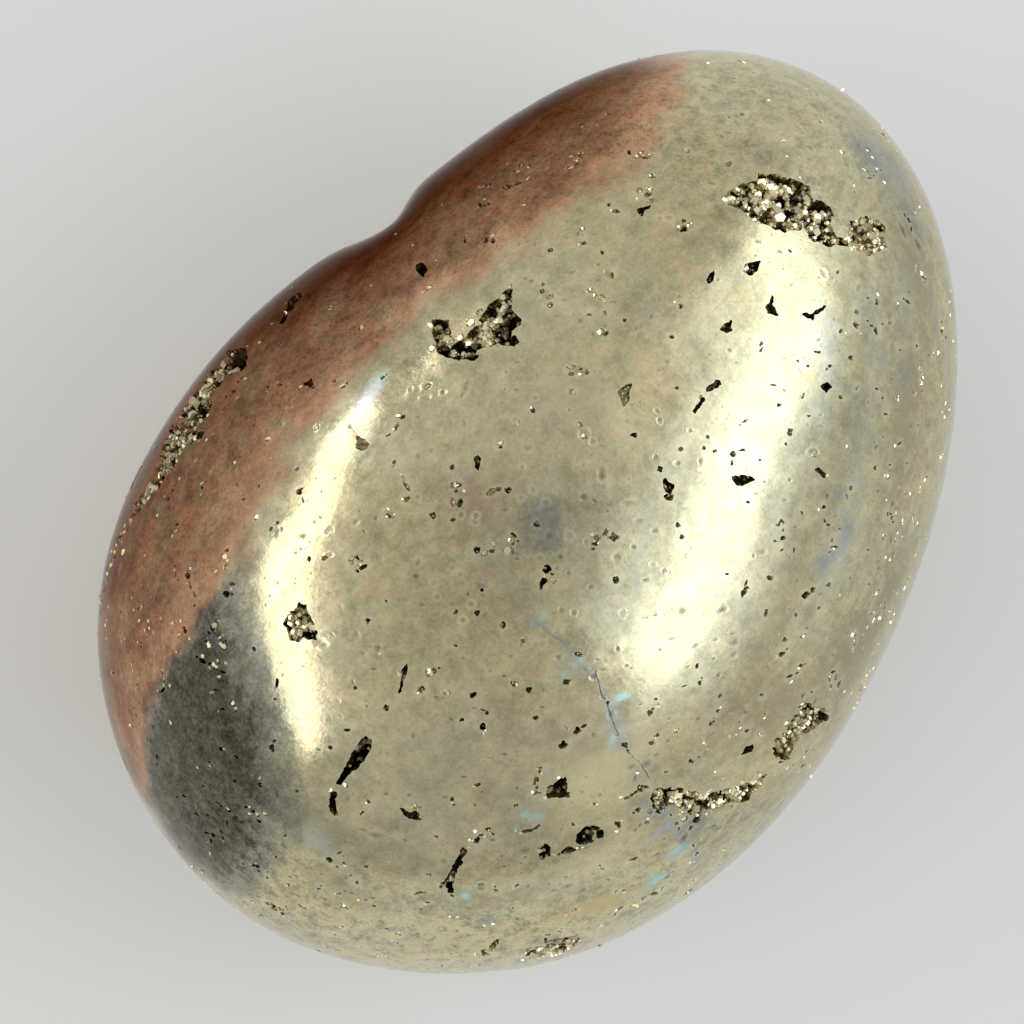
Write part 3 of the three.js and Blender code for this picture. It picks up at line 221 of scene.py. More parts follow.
# bright crystal faces: place, half length, half width, turn, brightness
GRAINS = [
    (709, 64, 3, 1.5, -10, .7), (669, 113, 3, 1.5, 0, .2), (769, 101, 1.8, 1.5, 0, .8), (570, 157, 4, 3, 0, .6), (583, 127, 2.5, 2, 0, .4), (598, 125, 2, 2, 0, .4),
    (639, 152, 3.5, 3, 30, 1), (650, 155, 3.5, 2.5, 10, .8), (668, 126, 2.5, 2, 0, .4), (686, 150, 3, 3, 0, .3), (783, 140, 2.5, 3, 0, .9), (787, 157, 1.5, 1.5, 0, .5),
    (799, 158, 1.5, 1.5, 0, .4), (841, 152, 1.5, 2, 0, .7), (867, 151, 1.5, 1.5, 0, .4), (872, 158, 1.5, 1.5, 0, .7), (874, 128, 1.5, 1, 0, .4), (888, 142, 1.5, 2, 30, .3),
    (897, 151, 1, 1, 0, .5), (479, 187, 8, 3, -20, .6), (508, 164, 2, 2, 0, .3), (517, 173, 3, 2, 0, .4), (520, 165, 3, 2.5, 0, .4), (525, 181, 6, 2, -10, .5),
    (527, 167, 3, 3, 0, .6), (570, 167, 5, 3, 0, .6), (575, 160, 4, 3, 0, .7), (638, 190, 4, 3, 80, .8), (648, 189, 4, 3, 0, .7), (651, 176, 4, 3, 10, .9),
    (725, 199, 5, 5, 0, .9), (733, 197, 5, 5, 0, .9), (738, 188, 4, 3, 0, .9), (760, 193, 3.5, 3, 0, .9), (764, 181, 5, 4, 0, .9), (774, 186, 7, 6, 0, .9),
    (786, 186, 2, 2, 0, .9), (790, 189, 4, 3, 0, .9), (792, 177, 2.5, 2, 0, .9), (800, 178, 2, 2, 0, .9), (854, 187, 4, 2, 85, .9), (864, 170, .8, 2, 0, .6),
    (876, 169, 1.5, 2, 0, .6), (883, 182, 3, 1.5, 10, .7), (905, 175, .8, 1, 0, .5), (395, 235, 2, 2, 0, .2), (442, 205, 2, 2, 0, .2), (467, 236, 2, 2, 0, .3),
    (485, 200, 3, 2, 0, .6), (492, 235, 3.5, 2.5, 0, .7), (523, 205, 4, 3, 20, .8), (581, 228, 3, 3, 0, .6), (636, 200, 4, 2, 90, .7), (650, 200, 4, 3, 0, .5),
    (679, 226, 3, 3, 0, .7), (688, 224, 3, 3, 0, .7), (746, 206, 2, 2, 0, .9), (748, 214, 2.5, 2, 0, .9), (755, 219, 3, 2, 0, .9), (765, 207, 4, 3, 0, .9),
    (766, 202, 6, 4, 0, .9), (779, 205, 4.5, 3, 0, .9), (781, 216, 8, 7, 0, .9), (796, 225, 3, 3, 0, .9), (806, 211, 4, 4, 0, .9), (812, 228, 2.5, 2.5, 0, .9),
    (815, 223, 2, 1.5, 0, .9), (816, 237, 2, 2, 0, .9), (819, 216, 5, 4.5, 0, .9), (826, 214, 2, 2, 0, .9), (829, 222, 2, 2.5, 0, .9), (845, 237, 4, 3, 0, .9),
    (850, 239, 4, 3, 0, .9), (857, 220, 2.5, 2.5, 0, .9), (872, 233, 4, 2.5, 0, .9), (873, 220, 2.5, 2, 0, .9), (882, 239, 3, 8, 0, 1), (910, 225, 1, 2, 0, .5),
    (915, 213, 1.3, 1, 0, .3), (919, 207, 2, 3, 10, 1), (413, 246, 2, 1.5, 0, .3), (436, 261, 2.5, 2, 0, .4), (545, 252, 1.5, 3, 0, .4), (578, 244, 3, 3, 0, .6),
    (603, 271, 3, 2, 0, .6), (609, 275, 3, 3, 0, .4), (747, 268, 4, 2.5, -5, 1), (851, 249, 1.5, 1.5, 0, .9), (855, 246, 2.5, 2.5, 0, .9), (863, 249, 8, 2.5, 0, .9),
    (875, 251, 3, 2, 0, .9), (878, 240, 3, 6, 0, .9), (884, 247, 3, 2.5, 0, .9), (915, 269, 1.2, 3, 0, .3), (916, 266, 1.3, 1, 0, .5), (920, 272, 1.8, 4, -15, .9),
    (285, 312, 3, 2, 80, .6), (286, 303, 3, 2, 80, .5), (292, 288, 1.5, 1.5, 0, .4), (330, 310, 2, 1.5, 0, .4), (334, 303, 5, 3.5, -15, 1), (372, 286, 2.5, 2, 0, .4),
    (395, 311, 3, 2, 0, .3), (424, 291, 3, 3, 0, .3), (429, 287, 3, 3, 0, .6), (478, 312, 6, 3, 0, .5), (498, 296, 4, 5, 0, .5), (502, 308, 3, 6, 0, .5),
    (509, 286, 3, 2.5, 0, .5), (549, 296, 4, 3, 0, .3), (586, 292, 2, 2, 0, .7), (589, 289, 3, 3, 0, .9), (593, 294, 3, 3, 0, .9), (600, 296, 4, 3, 0, .5),
    (603, 300, 3, 2, 0, .6), (603, 313, 2.5, 2.5, 0, .4), (676, 302, 3, 2, 60, .6), (877, 295, 2.2, 1.8, 0, .7), (898, 303, 3, 2.2, 0, 1), (949, 302, 1.3, 1.3, 0, .7),
    (950, 315, 1.8, 1, 0, .9), (950, 291, 1.2, 1.5, 0, .5), (227, 357, 2.5, 4, 20, 1), (232, 354, 2, 2, 0, .6), (247, 347, 2, 2, 0, .5), (260, 344, 4, 1.5, -25, .5),
    (272, 324, 2, 2, 0, .8), (361, 327, 3.5, 3, 0, .8), (430, 325, 3, 5, 0, .5), (431, 348, 4, 4, 0, 1), (449, 340, 5, 6, 0, .4), (453, 354, 3, 2, 0, .4),
    (459, 337, 4, 4, 0, .7), (462, 353, 3, 2, 0, .5), (467, 342, 3, 5, 0, 1), (470, 322, 4, 6, 0, .6), (484, 338, 7, 4, 0, .5), (484, 325, 6, 3, 0, .5),
    (489, 342, 3, 2.5, 0, .7), (496, 320, 4, 4, 0, .8), (600, 331, 4.5, 4, 0, 1), (845, 333, 2, 2, 0, .6), (860, 333, 2.5, 2, 0, .7), (934, 353, 2.5, 2.5, 0, .8),
    (937, 355, 1.5, 5, 0, .6), (942, 328, 1.8, 1.2, 0, .9), (944, 325, 1.5, 1, -20, .5), (952, 340, 4, 1.2, -5, .7), (198, 391, 5, 4, -45, .9), (199, 388, 5, 2.5, -45, .9),
    (203, 385, 4, 4, 0, .8), (207, 378, 4, 3, -45, .9), (207, 395, 4, 1.5, -20, .6), (213, 372, 3, 2, -45, .7), (219, 369, 3, 2, -30, .7), (245, 378, 3, 2.5, 0, .6),
    (268, 391, 3, 3, 0, .4), (277, 383, 3, 2, 0, .6), (289, 384, 2, 2, 0, .4), (300, 386, 3, 2.5, 0, 1), (427, 386, 4, 3, 0, .4), (570, 366, 4, 3, -20, .4),
    (571, 392, 3, 3, 0, .3), (580, 373, 3, 3, 0, .7), (702, 396, 3, 2, 0, .5), (895, 398, 1.2, 2, 0, .4), (898, 397, 2.5, 2, 0, .8), (915, 394, 3, 1, 0, .25),
    (918, 384, 2, 1, 0, .4), (919, 368, 2, 1, -40, .4), (921, 382, 2.8, 1.6, 0, .8), (922, 377, 2.5, 1, -10, .7), (925, 371, 1.5, 1, -40, .4), (941, 384, 1.2, 3, 0, .5),
    (947, 361, 1.5, 1, 0, .4), (175, 437, 2, 2, 0, .6), (177, 419, 2, 3, 20, .9), (184, 408, 2.5, 2.5, 0, 1), (184, 431, 2.5, 2, 0, .7), (188, 403, 4, 2, -45, 1),
    (188, 414, 5, 4, 0, .4), (190, 400, 4, 4, -45, .8), (192, 437, 2, 3, 40, .9), (196, 430, 4, 2, -60, .5), (200, 420, 5, 2, -20, .6), (209, 415, 1.5, 3, 0, .7),
    (268, 438, 3.5, 3, -20, .6), (286, 424, 2, 4, 0, .4), (287, 408, 2, 1.5, 0, .4), (293, 408, 2, 1.5, 0, .3), (316, 427, 2.5, 3, 0, .6), (398, 415, 3.5, 2.5, 0, .8),
    (516, 422, 3, 3, 0, .3), (579, 424, 3, 3, 0, .5), (583, 435, 3, 3, 0, .4), (897, 400, 2.5, 1.5, 0, .6), (924, 410, 2, 1.2, 0, .5), (941, 412, 1, 3, 0, .3),
    (944, 416, 2.5, 1.5, 10, 1), (945, 403, 1.5, 1.8, 10, .8), (949, 410, 2, .8, 0, .35), (154, 449, 1.5, 4, 35, .5), (155, 475, 4, 1.5, -50, .9), (165, 470, 5, 1.5, -20, .9),
    (167, 462, 4, 6, 10, .9), (171, 443, 3, 3, 0, .8), (180, 454, 2.5, 2.5, 0, .6), (180, 479, 1.5, 1.5, 0, .9), (196, 441, 3, 3, 0, .8), (207, 440, 1.5, 1.5, 0, .4),
    (234, 462, 2.5, 2.5, 0, 1), (272, 458, 2, 2, 0, .4), (275, 474, 3, 1.5, -20, .3), (500, 442, 3, 3, 0, .6), (814, 452, 4, 4, 0, .4), (827, 475, 2, 2, 0, .6),
    (847, 446, 2.5, 2.5, 0, .8), (884, 476, 2, 1, 0, .5), (888, 476, 3, 3, 0, .9), (890, 467, 2, 1, 0, .3), (894, 445, 2.5, 1.3, 0, .6), (921, 474, 1.5, 1, 0, .5),
    (940, 457, 1.8, 1.8, 20, .8), (125, 497, 2, 1.5, 0, .5), (138, 507, 2.5, 2.5, 0, .8), (142, 500, 4, 2.5, -50, .9), (146, 492, 4, 2.5, -50, .9), (150, 489, 2.5, 5, 0, .7),
    (151, 485, 2, 4, 20, .9), (158, 516, 2.5, 1.5, -10, .6), (165, 497, 3, 2, -20, 1), (202, 494, 2, 3, 0, .7), (202, 484, 2, 1.5, 0, .6), (256, 516, 3.5, 3, 0, .6),
    (283, 505, 2.5, 2, 0, .5), (384, 509, 1.5, 1.5, 0, .3), (388, 511, 3, 1.5, 40, .5), (393, 514, 3, 2, 20, .5), (452, 502, 3, 4, -30, .5), (453, 485, 3, 4, 20, .6),
    (456, 484, 3, 3, 0, .4), (463, 493, 4, 1.5, -30, .4), (490, 491, 5, 3, 0, .25), (818, 510, 2, 2.5, 0, 1), (886, 499, 2.5, 2, -20, .7), (892, 510, 2, 1, 0, .4),
    (895, 513, 2, 1.5, 0, .4), (896, 503, 2.5, 1, -10, .4), (898, 488, 2, 1, 0, .3), (904, 502, 1.5, 1, 0, .35), (906, 491, 2.5, 2.5, -30, .5), (906, 498, 2, 1.5, -40, .35),
    (909, 494, 1.5, 2.5, -20, .5), (912, 519, 2, 3, 0, .9), (914, 516, 2.5, 5, 5, 1), (920, 487, 2, 2, 0, 1), (920, 492, 1, 1, 0, .3), (924, 480, 2, 1.5, 30, .8),
    (122, 542, 2, 2, 0, .7), (124, 532, 2, 3, 30, .6), (125, 551, 1.8, 5, 10, .7), (145, 556, 1.5, 1.5, 0, .4), (173, 536, 1.5, 1.5, 0, .5), (176, 532, 1.8, 2.5, 30, .5),
    (224, 556, 3.5, 4, 20, 1), (351, 558, 3, 3, 0, .3), (484, 552, 4, 3, 0, .35), (492, 543, 5, 3, 0, .3), (507, 550, 5, 5, 0, .45), (510, 539, 4, 4, 0, .5),
    (833, 549, 2.5, 2, 20, 1), (875, 557, 2, 1, 0, .25), (884, 535, 3, 4, 20, .9), (885, 557, 3.2, 2, -15, 1), (893, 556, 2, 1, 0, .25), (896, 539, 2.2, 3.5, 15, .95),
    (897, 533, 2.5, 2, -20, .8), (898, 545, 1.5, 1.5, 0, .4), (901, 541, 1.5, 1.2, 0, .35), (902, 523, 2, 1, 0, .5), (902, 520, 1.5, 2, 0, .3), (902, 536, 1.5, 1, 0, .4),
    (914, 522, 3, 2.5, 0, 1), (914, 556, 1.5, 3, 0, .3), (917, 523, 1.5, 1, 30, .7), (918, 546, 2.5, 1.3, -20, .6), (107, 583, 1.3, 3, 0, .35), (108, 574, 1.2, 2.5, 0, .8),
    (111, 565, 1.2, 2, 15, .9), (120, 574, 1.3, 1.3, 0, .4), (132, 598, 1.3, 1, 0, .6), (175, 570, 2, 2, 0, 1), (187, 584, 2, 2, 0, .4), (190, 568, 2.5, 3, -20, .7),
    (216, 572, 2, 1.5, 0, .4), (225, 566, 3, 2.5, 0, .3), (228, 561, 2, 2.5, -30, .5), (232, 588, 2, 3, 30, .7), (355, 573, 3, 2, 20, .5), (360, 563, 4, 2.5, -10, .4),
    (371, 563, 2, 3, -30, .4), (552, 580, 3, 3, 0, .35), (839, 595, 2, 1.5, 0, .5), (875, 594, 3, 1.5, -10, .6), (889, 560, 2, 1.2, 0, .3), (893, 591, 1.5, 2, 0, .3),
    (904, 588, 1.6, 2, 0, 1), (914, 564, 1.5, 3, 0, .3), (98, 630, .6, 3, 0, .6), (101, 604, 1, 4.5, 5, .8), (106, 625, 1.5, 2, 20, .8), (107, 632, 1.3, 5, 0, .4),
    (107, 620, 1.2, 1, 0, .6), (107, 638, 1.5, 1, 0, .4), (109, 606, 2, 3, 30, .55), (125, 637, 1, 3, 0, .25), (134, 610, 1.3, 1.2, 0, .6), (136, 600, 1.5, 1.5, 0, .5),
    (138, 605, 2, 1.5, 0, .5), (140, 621, 1.5, 2.5, 0, .7), (140, 610, 1.2, 1.5, 0, .5), (142, 607, 1.5, 1.5, -20, .7), (145, 630, 2, 1.2, 0, .45), (148, 634, 1.2, 2.5, 30, .4),
    (149, 620, 1.5, 2, 20, .6), (150, 628, 1.5, 2, 0, .7), (154, 632, 2, 1.5, 0, .4), (162, 619, 1.5, 3, 0, .3), (173, 623, 1.5, 1.5, 0, .6), (178, 634, 2.5, 2.5, 0, .5),
    (181, 621, 1.5, 1.5, 0, .55), (190, 638, 2, 1.8, 0, .8), (213, 625, 5, 5, -30, .45), (218, 621, 3, 4, 0, .45), (219, 636, 4, 3, 0, .45), (222, 634, 2.5, 2, 0, .4),
    (289, 624, 4, 3, 0, .7), (290, 618, 4, 4, 0, .8), (292, 632, 4, 3, 0, .7), (297, 623, 3, 2.5, 0, .9), (303, 626, 3, 4, 0, .8), (778, 634, 2, 2, 0, .5),
    (804, 636, 3, 2.5, 0, .8), (843, 634, 2, 1.2, 0, .5), (851, 634, 1.8, 4, 0, .9), (855, 630, 2, 1, 0, .3), (860, 605, 1.8, 1.3, 0, .3), (863, 635, 1.8, .8, 0, .3),
    (867, 627, 1.5, 1, 0, .35), (868, 613, 2, 1.5, 0, .4), (873, 613, 3, 2, -20, .7), (873, 620, 2.5, 1.5, -20, .7), (878, 618, 4, 1.5, 10, .9), (880, 605, 1.5, 1.5, 30, .6),
    (890, 622, 2, 1.5, 0, .6), (894, 613, 1.3, 2.2, 0, .7), (112, 670, 1, 4, 0, .3), (122, 672, 2, 6, 15, .25), (122, 641, 1.5, 1.5, 0, .4), (131, 672, 1.5, 1.5, 0, .4),
    (132, 664, 1.5, 1.5, 0, .3), (133, 670, 2, 2, 0, .45), (138, 642, 2, 2, 0, 1), (139, 679, 1.5, 3, 0, .2), (163, 679, 3, 2.5, 0, .25), (163, 670, 2, 1.3, 0, .4),
    (172, 654, 5, 2.2, 0, .5), (176, 653, 3, 2, 0, .5), (202, 656, 3, 3, 0, 1), (206, 640, 4, 4, 0, .45), (208, 645, 3, 5, 0, .55), (210, 667, 2, 3, 0, .5),
    (213, 664, 3.5, 3.5, 0, 1), (216, 667, 2.5, 2.5, 0, .8), (219, 677, 4, 3, 0, .6), (219, 660, 3, 2, 0, .35), (220, 644, 3, 3, 0, .5), (223, 646, 4, 4, 0, .5),
    (228, 663, 1, 4, 35, .35), (378, 655, 4, 2, 0, .2), (398, 678, 2, 6, 0, .3), (400, 676, 2, 6, 10, .3), (428, 671, 4, 4, 0, .9), (775, 658, 3, 1.5, -20, .3),
    (797, 668, 5, 2, -25, .2), (830, 677, 2.5, 2.5, 0, .9), (836, 677, 4.5, 2.2, 40, 1), (852, 648, 2, 3, 0, .6), (852, 652, 1, 3, 0, .2), (855, 640, 3, 2.2, 0, 1),
    (863, 648, 1.5, 1, 0, .35), (865, 678, 4, 1.5, -45, .5), (867, 675, 5, 2.5, -40, .5), (870, 675, 4, 1.3, -20, .5), (871, 679, 2, 3, 30, .5), (873, 668, 2, 3, 10, .6),
    (873, 652, 1.5, 1, 0, .3), (877, 660, 1.5, 1.5, 0, .3), (878, 643, 2, 1.2, 0, .5), (117, 718, 1.8, 3, -20, .5), (137, 686, 3, 5, 10, .25), (158, 690, 3, 2, -40, .5),
    (164, 685, 2, 2, -30, .9), (171, 686, 1.8, 2.8, 10, .6), (215, 692, 6, .8, 0, .3), (219, 712, 2, 2.5, 0, .45), (232, 703, 3, 3, -20, .75), (235, 708, 2.5, 2.5, 0, .35),
    (321, 713, 4, 2, 30, .4), (445, 691, 5, 3, 0, .25), (635, 707, 3, 1.5, 0, .3), (713, 680, 2, 2, -30, .4), (720, 707, 2, 2, -20, .9), (763, 718, 2, 4.5, -10, .8),
    (790, 682, 3, 1.5, -20, .4), (797, 712, 2, 3, 0, .6), (803, 704, 2.5, 3, 0, .9), (803, 695, 3, 4, 0, .25), (807, 691, 5, 2, -10, .3), (812, 719, 3, 2, 0, .6),
    (844, 691, 2, 1.5, 0, .5), (848, 697, 3, 1.2, -40, .5), (851, 693, 2, 2, 0, .7), (854, 708, 1.5, 2, 0, .4), (857, 703, 2, 3, 25, .8), (862, 682, 1.5, 1, 0, .3),
    (865, 687, 2, 2, 0, .8), (130, 747, 3, 1, 0, .5), (131, 725, 3, 1, 0, .7), (131, 728, 2, 1.2, 0, .5), (146, 741, 2, 1.5, 0, .4), (171, 722, 2, 1.8, 0, .8),
    (224, 748, 2.5, 2, 0, .6), (356, 748, 3.5, 3.5, 0, 1), (653, 738, 3, 2.5, 0, .3), (676, 730, 3, 2.5, -10, .5), (704, 743, 2.2, 2.5, -20, .7), (707, 748, 2, 2.5, 0, .45),
    (712, 720, 3, 3, 0, .2), (729, 735, 3, 2, 0, .25), (736, 734, 2.2, 2, 0, .8), (740, 727, 2, 3, 0, .35), (760, 734, 2.2, 3.5, 10, .7), (775, 749, 6, 2, 0, .6),
    (787, 723, 4, 4, 0, .5), (787, 742, 3, 5, 0, .5), (792, 734, 3, 2.5, 0, .9), (797, 725, 3, 3, 0, .7), (800, 733, 4, 2.5, 0, 1), (804, 756, 4, 2, 0, .5),
    (805, 728, 4, 3, 0, .9), (810, 724, 3, 3.5, 0, 1), (151, 798, 2, .8, 0, .4), (198, 767, 2, 1.5, 0, .5), (211, 766, 3, 2, 20, .8), (259, 778, 2.5, 3, 0, .3),
    (327, 794, 2, 3, 0, .4), (330, 790, 3, 3, -20, .8), (344, 785, 3, 2.8, 0, 1), (353, 775, 3, 2, -40, .3), (533, 792, 3.2, 3, 0, 1), (545, 793, 2.5, 2.3, 0, .9),
    (545, 797, 2.5, 1.5, 20, .6), (559, 778, 2.3, 2.3, 0, 1), (622, 796, 3, 1.5, -20, .4), (638, 772, 2, 1.5, 0, .7), (660, 795, 3.5, 1.8, 20, .7), (687, 793, 2.5, 2, 0, .8),
    (690, 796, 3, 3, 0, .3), (690, 784, 3, 2, -20, .4), (702, 795, 5, 2, 0, .6), (704, 797, 6, 3, 0, .6), (709, 790, 3, 1.5, -20, .5), (712, 795, 8, 2.5, 0, .6),
    (716, 770, 4, 2, 0, .7), (723, 778, 2, 3, 0, .5), (728, 786, 6, 1.5, 0, .25), (733, 793, 4, 3, 20, 1), (737, 795, 3, 3, 0, .9), (739, 790, 3, 3, 0, .6),
    (740, 781, 6, 1.5, -20, .3), (742, 795, 4, 3, 0, .8), (742, 799, 4, 2.5, 0, .6), (745, 795, 2, 3, 10, .6), (748, 791, 1.5, 2, 0, .5), (753, 783, 3, 2, 20, .6),
    (754, 778, 2, 3, 0, .6), (756, 784, 4, 3, 0, .9), (758, 780, 4, 2, 0, .6), (759, 774, 4, 1.5, 20, .5), (762, 783, 1.5, 4, 5, .9), (785, 765, 5, 2, 20, .9),
    (787, 768, 2, 1.2, 0, .7), (800, 771, 3, 2, -40, .7), (810, 765, 3, 1.5, -20, .8), (811, 776, 1.5, 1.5, 0, .7), (176, 818, 2, 5, -25, .25), (196, 805, 1.2, 2.5, -20, .5),
    (228, 808, 2, 1.5, 10, .9), (249, 807, 2.2, 2.5, 10, .8), (250, 813, 1.5, 2, 0, .5), (256, 814, 3, 3, 10, .6), (264, 814, 3, 2.2, 30, 1), (415, 806, 5, 3, 10, .35),
    (477, 830, 4, 1.5, -10, .5), (479, 833, 3, 1.5, -20, .4), (516, 830, 2.5, 2, 0, .5), (521, 833, 2, 2, 0, .4), (617, 830, 2.5, 1.5, 0, .7), (622, 820, 2.5, 2, -30, .4),
    (648, 818, 2, 2, 0, .6), (650, 811, 2.5, 5, 0, 1), (664, 839, 2, 1.2, 30, .3), (676, 800, 8, 5, 0, .6), (680, 804, 5, 4, 0, .5), (682, 812, 4, 2.5, 0, .8),
    (684, 819, 4, 4, 0, .3), (691, 808, 3, 3, 0, .7), (692, 818, 3, 4, 30, .45), (698, 816, 2, 2, 0, .7), (707, 814, 3, 2.5, 0, 1), (715, 808, 3, 4, 20, .9),
    (722, 803, 4, 4, 0, .7), (725, 804, 4, 3, 20, .8), (730, 808, 4, 3, 0, .55), (738, 800, 4, 4, 0, .6), (769, 818, 3, 1.5, -10, .3), (781, 803, 2.5, 1.5, -20, .4),
    (783, 807, 3, .8, -30, .4), (179, 847, 2.5, 4, -10, 1), (184, 856, 5, .8, 45, .5), (192, 865, 3, .8, 45, .7), (202, 872, 2, 1.3, 10, 1), (207, 843, 2.2, 2.2, 0, 1),
    (209, 851, 1.2, 4, 0, .6), (210, 855, 1.5, 1.5, 0, .4), (222, 840, 1, 3, -20, .3), (251, 864, 2, 1.5, 0, .3), (253, 869, 3, 1.2, 0, .3), (257, 864, 2, 1.2, 0, .3),
    (470, 840, 2.3, 2.2, 0, 1), (472, 844, 3, 2, 0, .4), (539, 852, 3.5, 2.5, 20, .7), (567, 846, 2.5, 2, 30, .6), (578, 848, 3, 2.5, -20, .5), (583, 847, 2, 2, -40, .5),
    (591, 874, .8, 5, -15, .3), (690, 862, 1.5, 1.5, 0, .4), (694, 861, 2, 2, 0, .6), (715, 849, 4, 1.5, 0, .2), (724, 850, 1.5, 1.5, 0, .35), (751, 842, 2, .8, -30, .4),
    (205, 882, 2, 1, 0, .5), (211, 889, 2, 1, 0, .4), (247, 905, 4, 1, 30, .35), (254, 909, 3, .8, 35, .3), (263, 917, 4, 1.3, 40, .55), (271, 916, 1.3, 1.5, 0, .3),
    (275, 903, 2.5, 1.2, 30, .5), (281, 908, 1.3, 1, 0, .4), (284, 906, 3, 1.2, 30, .3), (290, 917, 1.3, 2, 0, .35), (291, 912, 2, 2, 0, .25), (344, 905, 1.8, 1.3, 0, .9),
    (355, 880, 2, 3, 0, .3), (357, 899, 3, 1.3, -20, .5), (439, 889, 1.5, 2, 0, .3), (451, 916, 2.5, 1, -10, .5), (453, 881, 3, 3, 0, .3), (457, 916, 3, 2, 10, 1),
    (485, 913, 2.5, 2, 10, .6), (492, 906, 4, 1, 0, .2), (565, 914, 5, 2, -40, .45), (574, 910, 3, 4, 0, .45), (616, 910, 1.5, 1.5, 0, .5), (634, 904, 7, 1.5, -25, .6),
    (637, 903, 5, 1.3, -25, .75), (645, 901, 2, 1, 0, .4), (660, 891, 3, 1.2, -30, .4), (678, 886, 6, 2, -30, .3), (683, 896, 3, 1.2, -20, .4), (276, 925, 5, .8, 35, .45),
    (321, 925, 3, 1, 0, .15), (330, 933, 1.2, 1, 0, .3), (335, 942, 2.5, .6, 10, .4), (337, 935, 1.2, 1, 0, .5), (398, 932, 2, 1, 0, .3), (412, 950, 6, 2, -20, .3),
    (436, 943, 6, 2, 0, .35), (460, 955, 3, 1, 0, .3), (464, 957, 2, 1.2, 0, .5), (467, 952, 3, 1, -30, .5), (470, 941, 4, 2, -10, .4), (475, 954, 2.8, 2.2, 0, .95),
    (478, 922, 2, 2.5, 0, .4), (485, 925, 2, 1.8, 0, .6), (493, 923, 2.2, 1.8, 10, .8), (520, 950, 2, .8, -20, .3), (523, 959, 1.5, 2.5, 20, .8), (526, 955, 2, 2.5, 20, .8),
    (530, 952, 2, 2, 0, .6), (535, 950, 5, 3.2, 0, 1), (535, 958, 1, 1, 0, .5), (538, 957, 1.3, 1.5, 0, .7), (540, 953, 3, 2.2, 30, .9), (542, 948, 1.3, 3, 10, .6),
    (548, 953, 1.5, 3.5, 0, .7), (553, 952, 5.5, 3.5, -10, .55), (558, 949, 3, 2.5, 0, .5), (570, 950, 3, 1, -20, .2), (581, 940, 3, 2, -10, .3), (603, 926, 3, 1, -20, .45),
    (605, 943, 8, .6, -25, .5), (629, 930, 8, .6, -30, .6), (479, 965, 2.5, .8, 0, .4),
]
# rough ring scars: place, half length, half width, turn, strength
RINGS = [
    (574, 163, 10, 12, 20, .6), (660, 218, 4, 3, 0, .6), (669, 218, 5, 4, -20, .6), (609, 274, 6, 6, 0, .6), (824, 273, 4, 5, 0, .6), (546, 296, 5, 12, -15, .6),
    (338, 383, 7, 4, 0, .6), (411, 389, 3, 3, 0, .6), (426, 397, 6, 3, 0, .6), (427, 386, 5, 4, 0, .6), (444, 392, 4, 3, 0, .6), (505, 389, 2.5, 2.5, 0, .6),
    (506, 372, 3, 3, 0, .6), (535, 398, 4, 3, 0, .6), (571, 391, 5, 4, 0, .6), (577, 371, 11, 6, 0, .6), (316, 427, 3, 4, 0, .6), (515, 420, 3.5, 3.5, 0, .6),
    (569, 410, 3, 3, 0, .6), (583, 434, 6, 6, 0, .6), (656, 411, 3, 3, 0, .6), (659, 421, 3, 4, 0, .6), (689, 430, 3, 3, 0, .6), (500, 444, 5, 6, 0, .6),
    (522, 467, 3.5, 3, 0, .6), (528, 448, 6, 5, 0, .6), (592, 442, 4, 4, 0, .6), (655, 457, 3, 3, 0, .6), (676, 463, 4, 3, 0, .6), (814, 452, 6, 4, 0, .6),
    (390, 512, 8, 4, 20, .4), (418, 497, 3.5, 3.5, 0, .5), (461, 515, 4, 4, 0, .7), (476, 516, 4, 4, 0, 1), (521, 498, 4, 4, 0, .3), (533, 490, 4, 4, 0, .5),
    (546, 502, 5, 4, 0, .4), (327, 532, 4, 4, 0, .3), (330, 555, 5, 3, 0, .5), (475, 521, 4, 5, 0, .5), (510, 540, 6, 8, 0, .3), (540, 558, 4, 4, 0, .3),
    (550, 553, 3, 2, 0, .3), (569, 536, 5, 5, 0, .4), (586, 542, 3, 5, 0, .4), (418, 562, 4, 5, 0, .4), (434, 583, 4, 4, 0, .25), (437, 597, 4, 4, 0, .5),
    (452, 568, 4, 4, 0, .3), (460, 574, 4, 4, 0, .2), (480, 590, 6, 5, 0, .2), (557, 568, 4, 4, 0, .4), (652, 564, 4, 3, 0, .3), (668, 572, 3.5, 4, 0, .4),
    (356, 636, 5, 5, 0, .4), (463, 620, 4.5, 4, 0, 1), (471, 604, 4.5, 4, 0, .8), (573, 612, 4, 4, 0, .3), (622, 613, 4, 5, 0, .3), (376, 655, 8, 6, 0, .3),
    (456, 644, 4, 4, 0, .25), (490, 671, 4, 4, 0, .35), (525, 641, 7, 6, 0, .35), (542, 644, 4, 5, 0, .35), (558, 657, 4, 3, 0, .3), (593, 677, 4, 4, 0, .3),
    (438, 699, 6, 4, 0, .3), (482, 712, 10, 7, 0, .25), (516, 683, 7, 7, 0, .3), (526, 820, 3, 3, 0, .2), (525, 850, 6, 5, 0, .3), (481, 886, 5, 5, 0, .5),
]
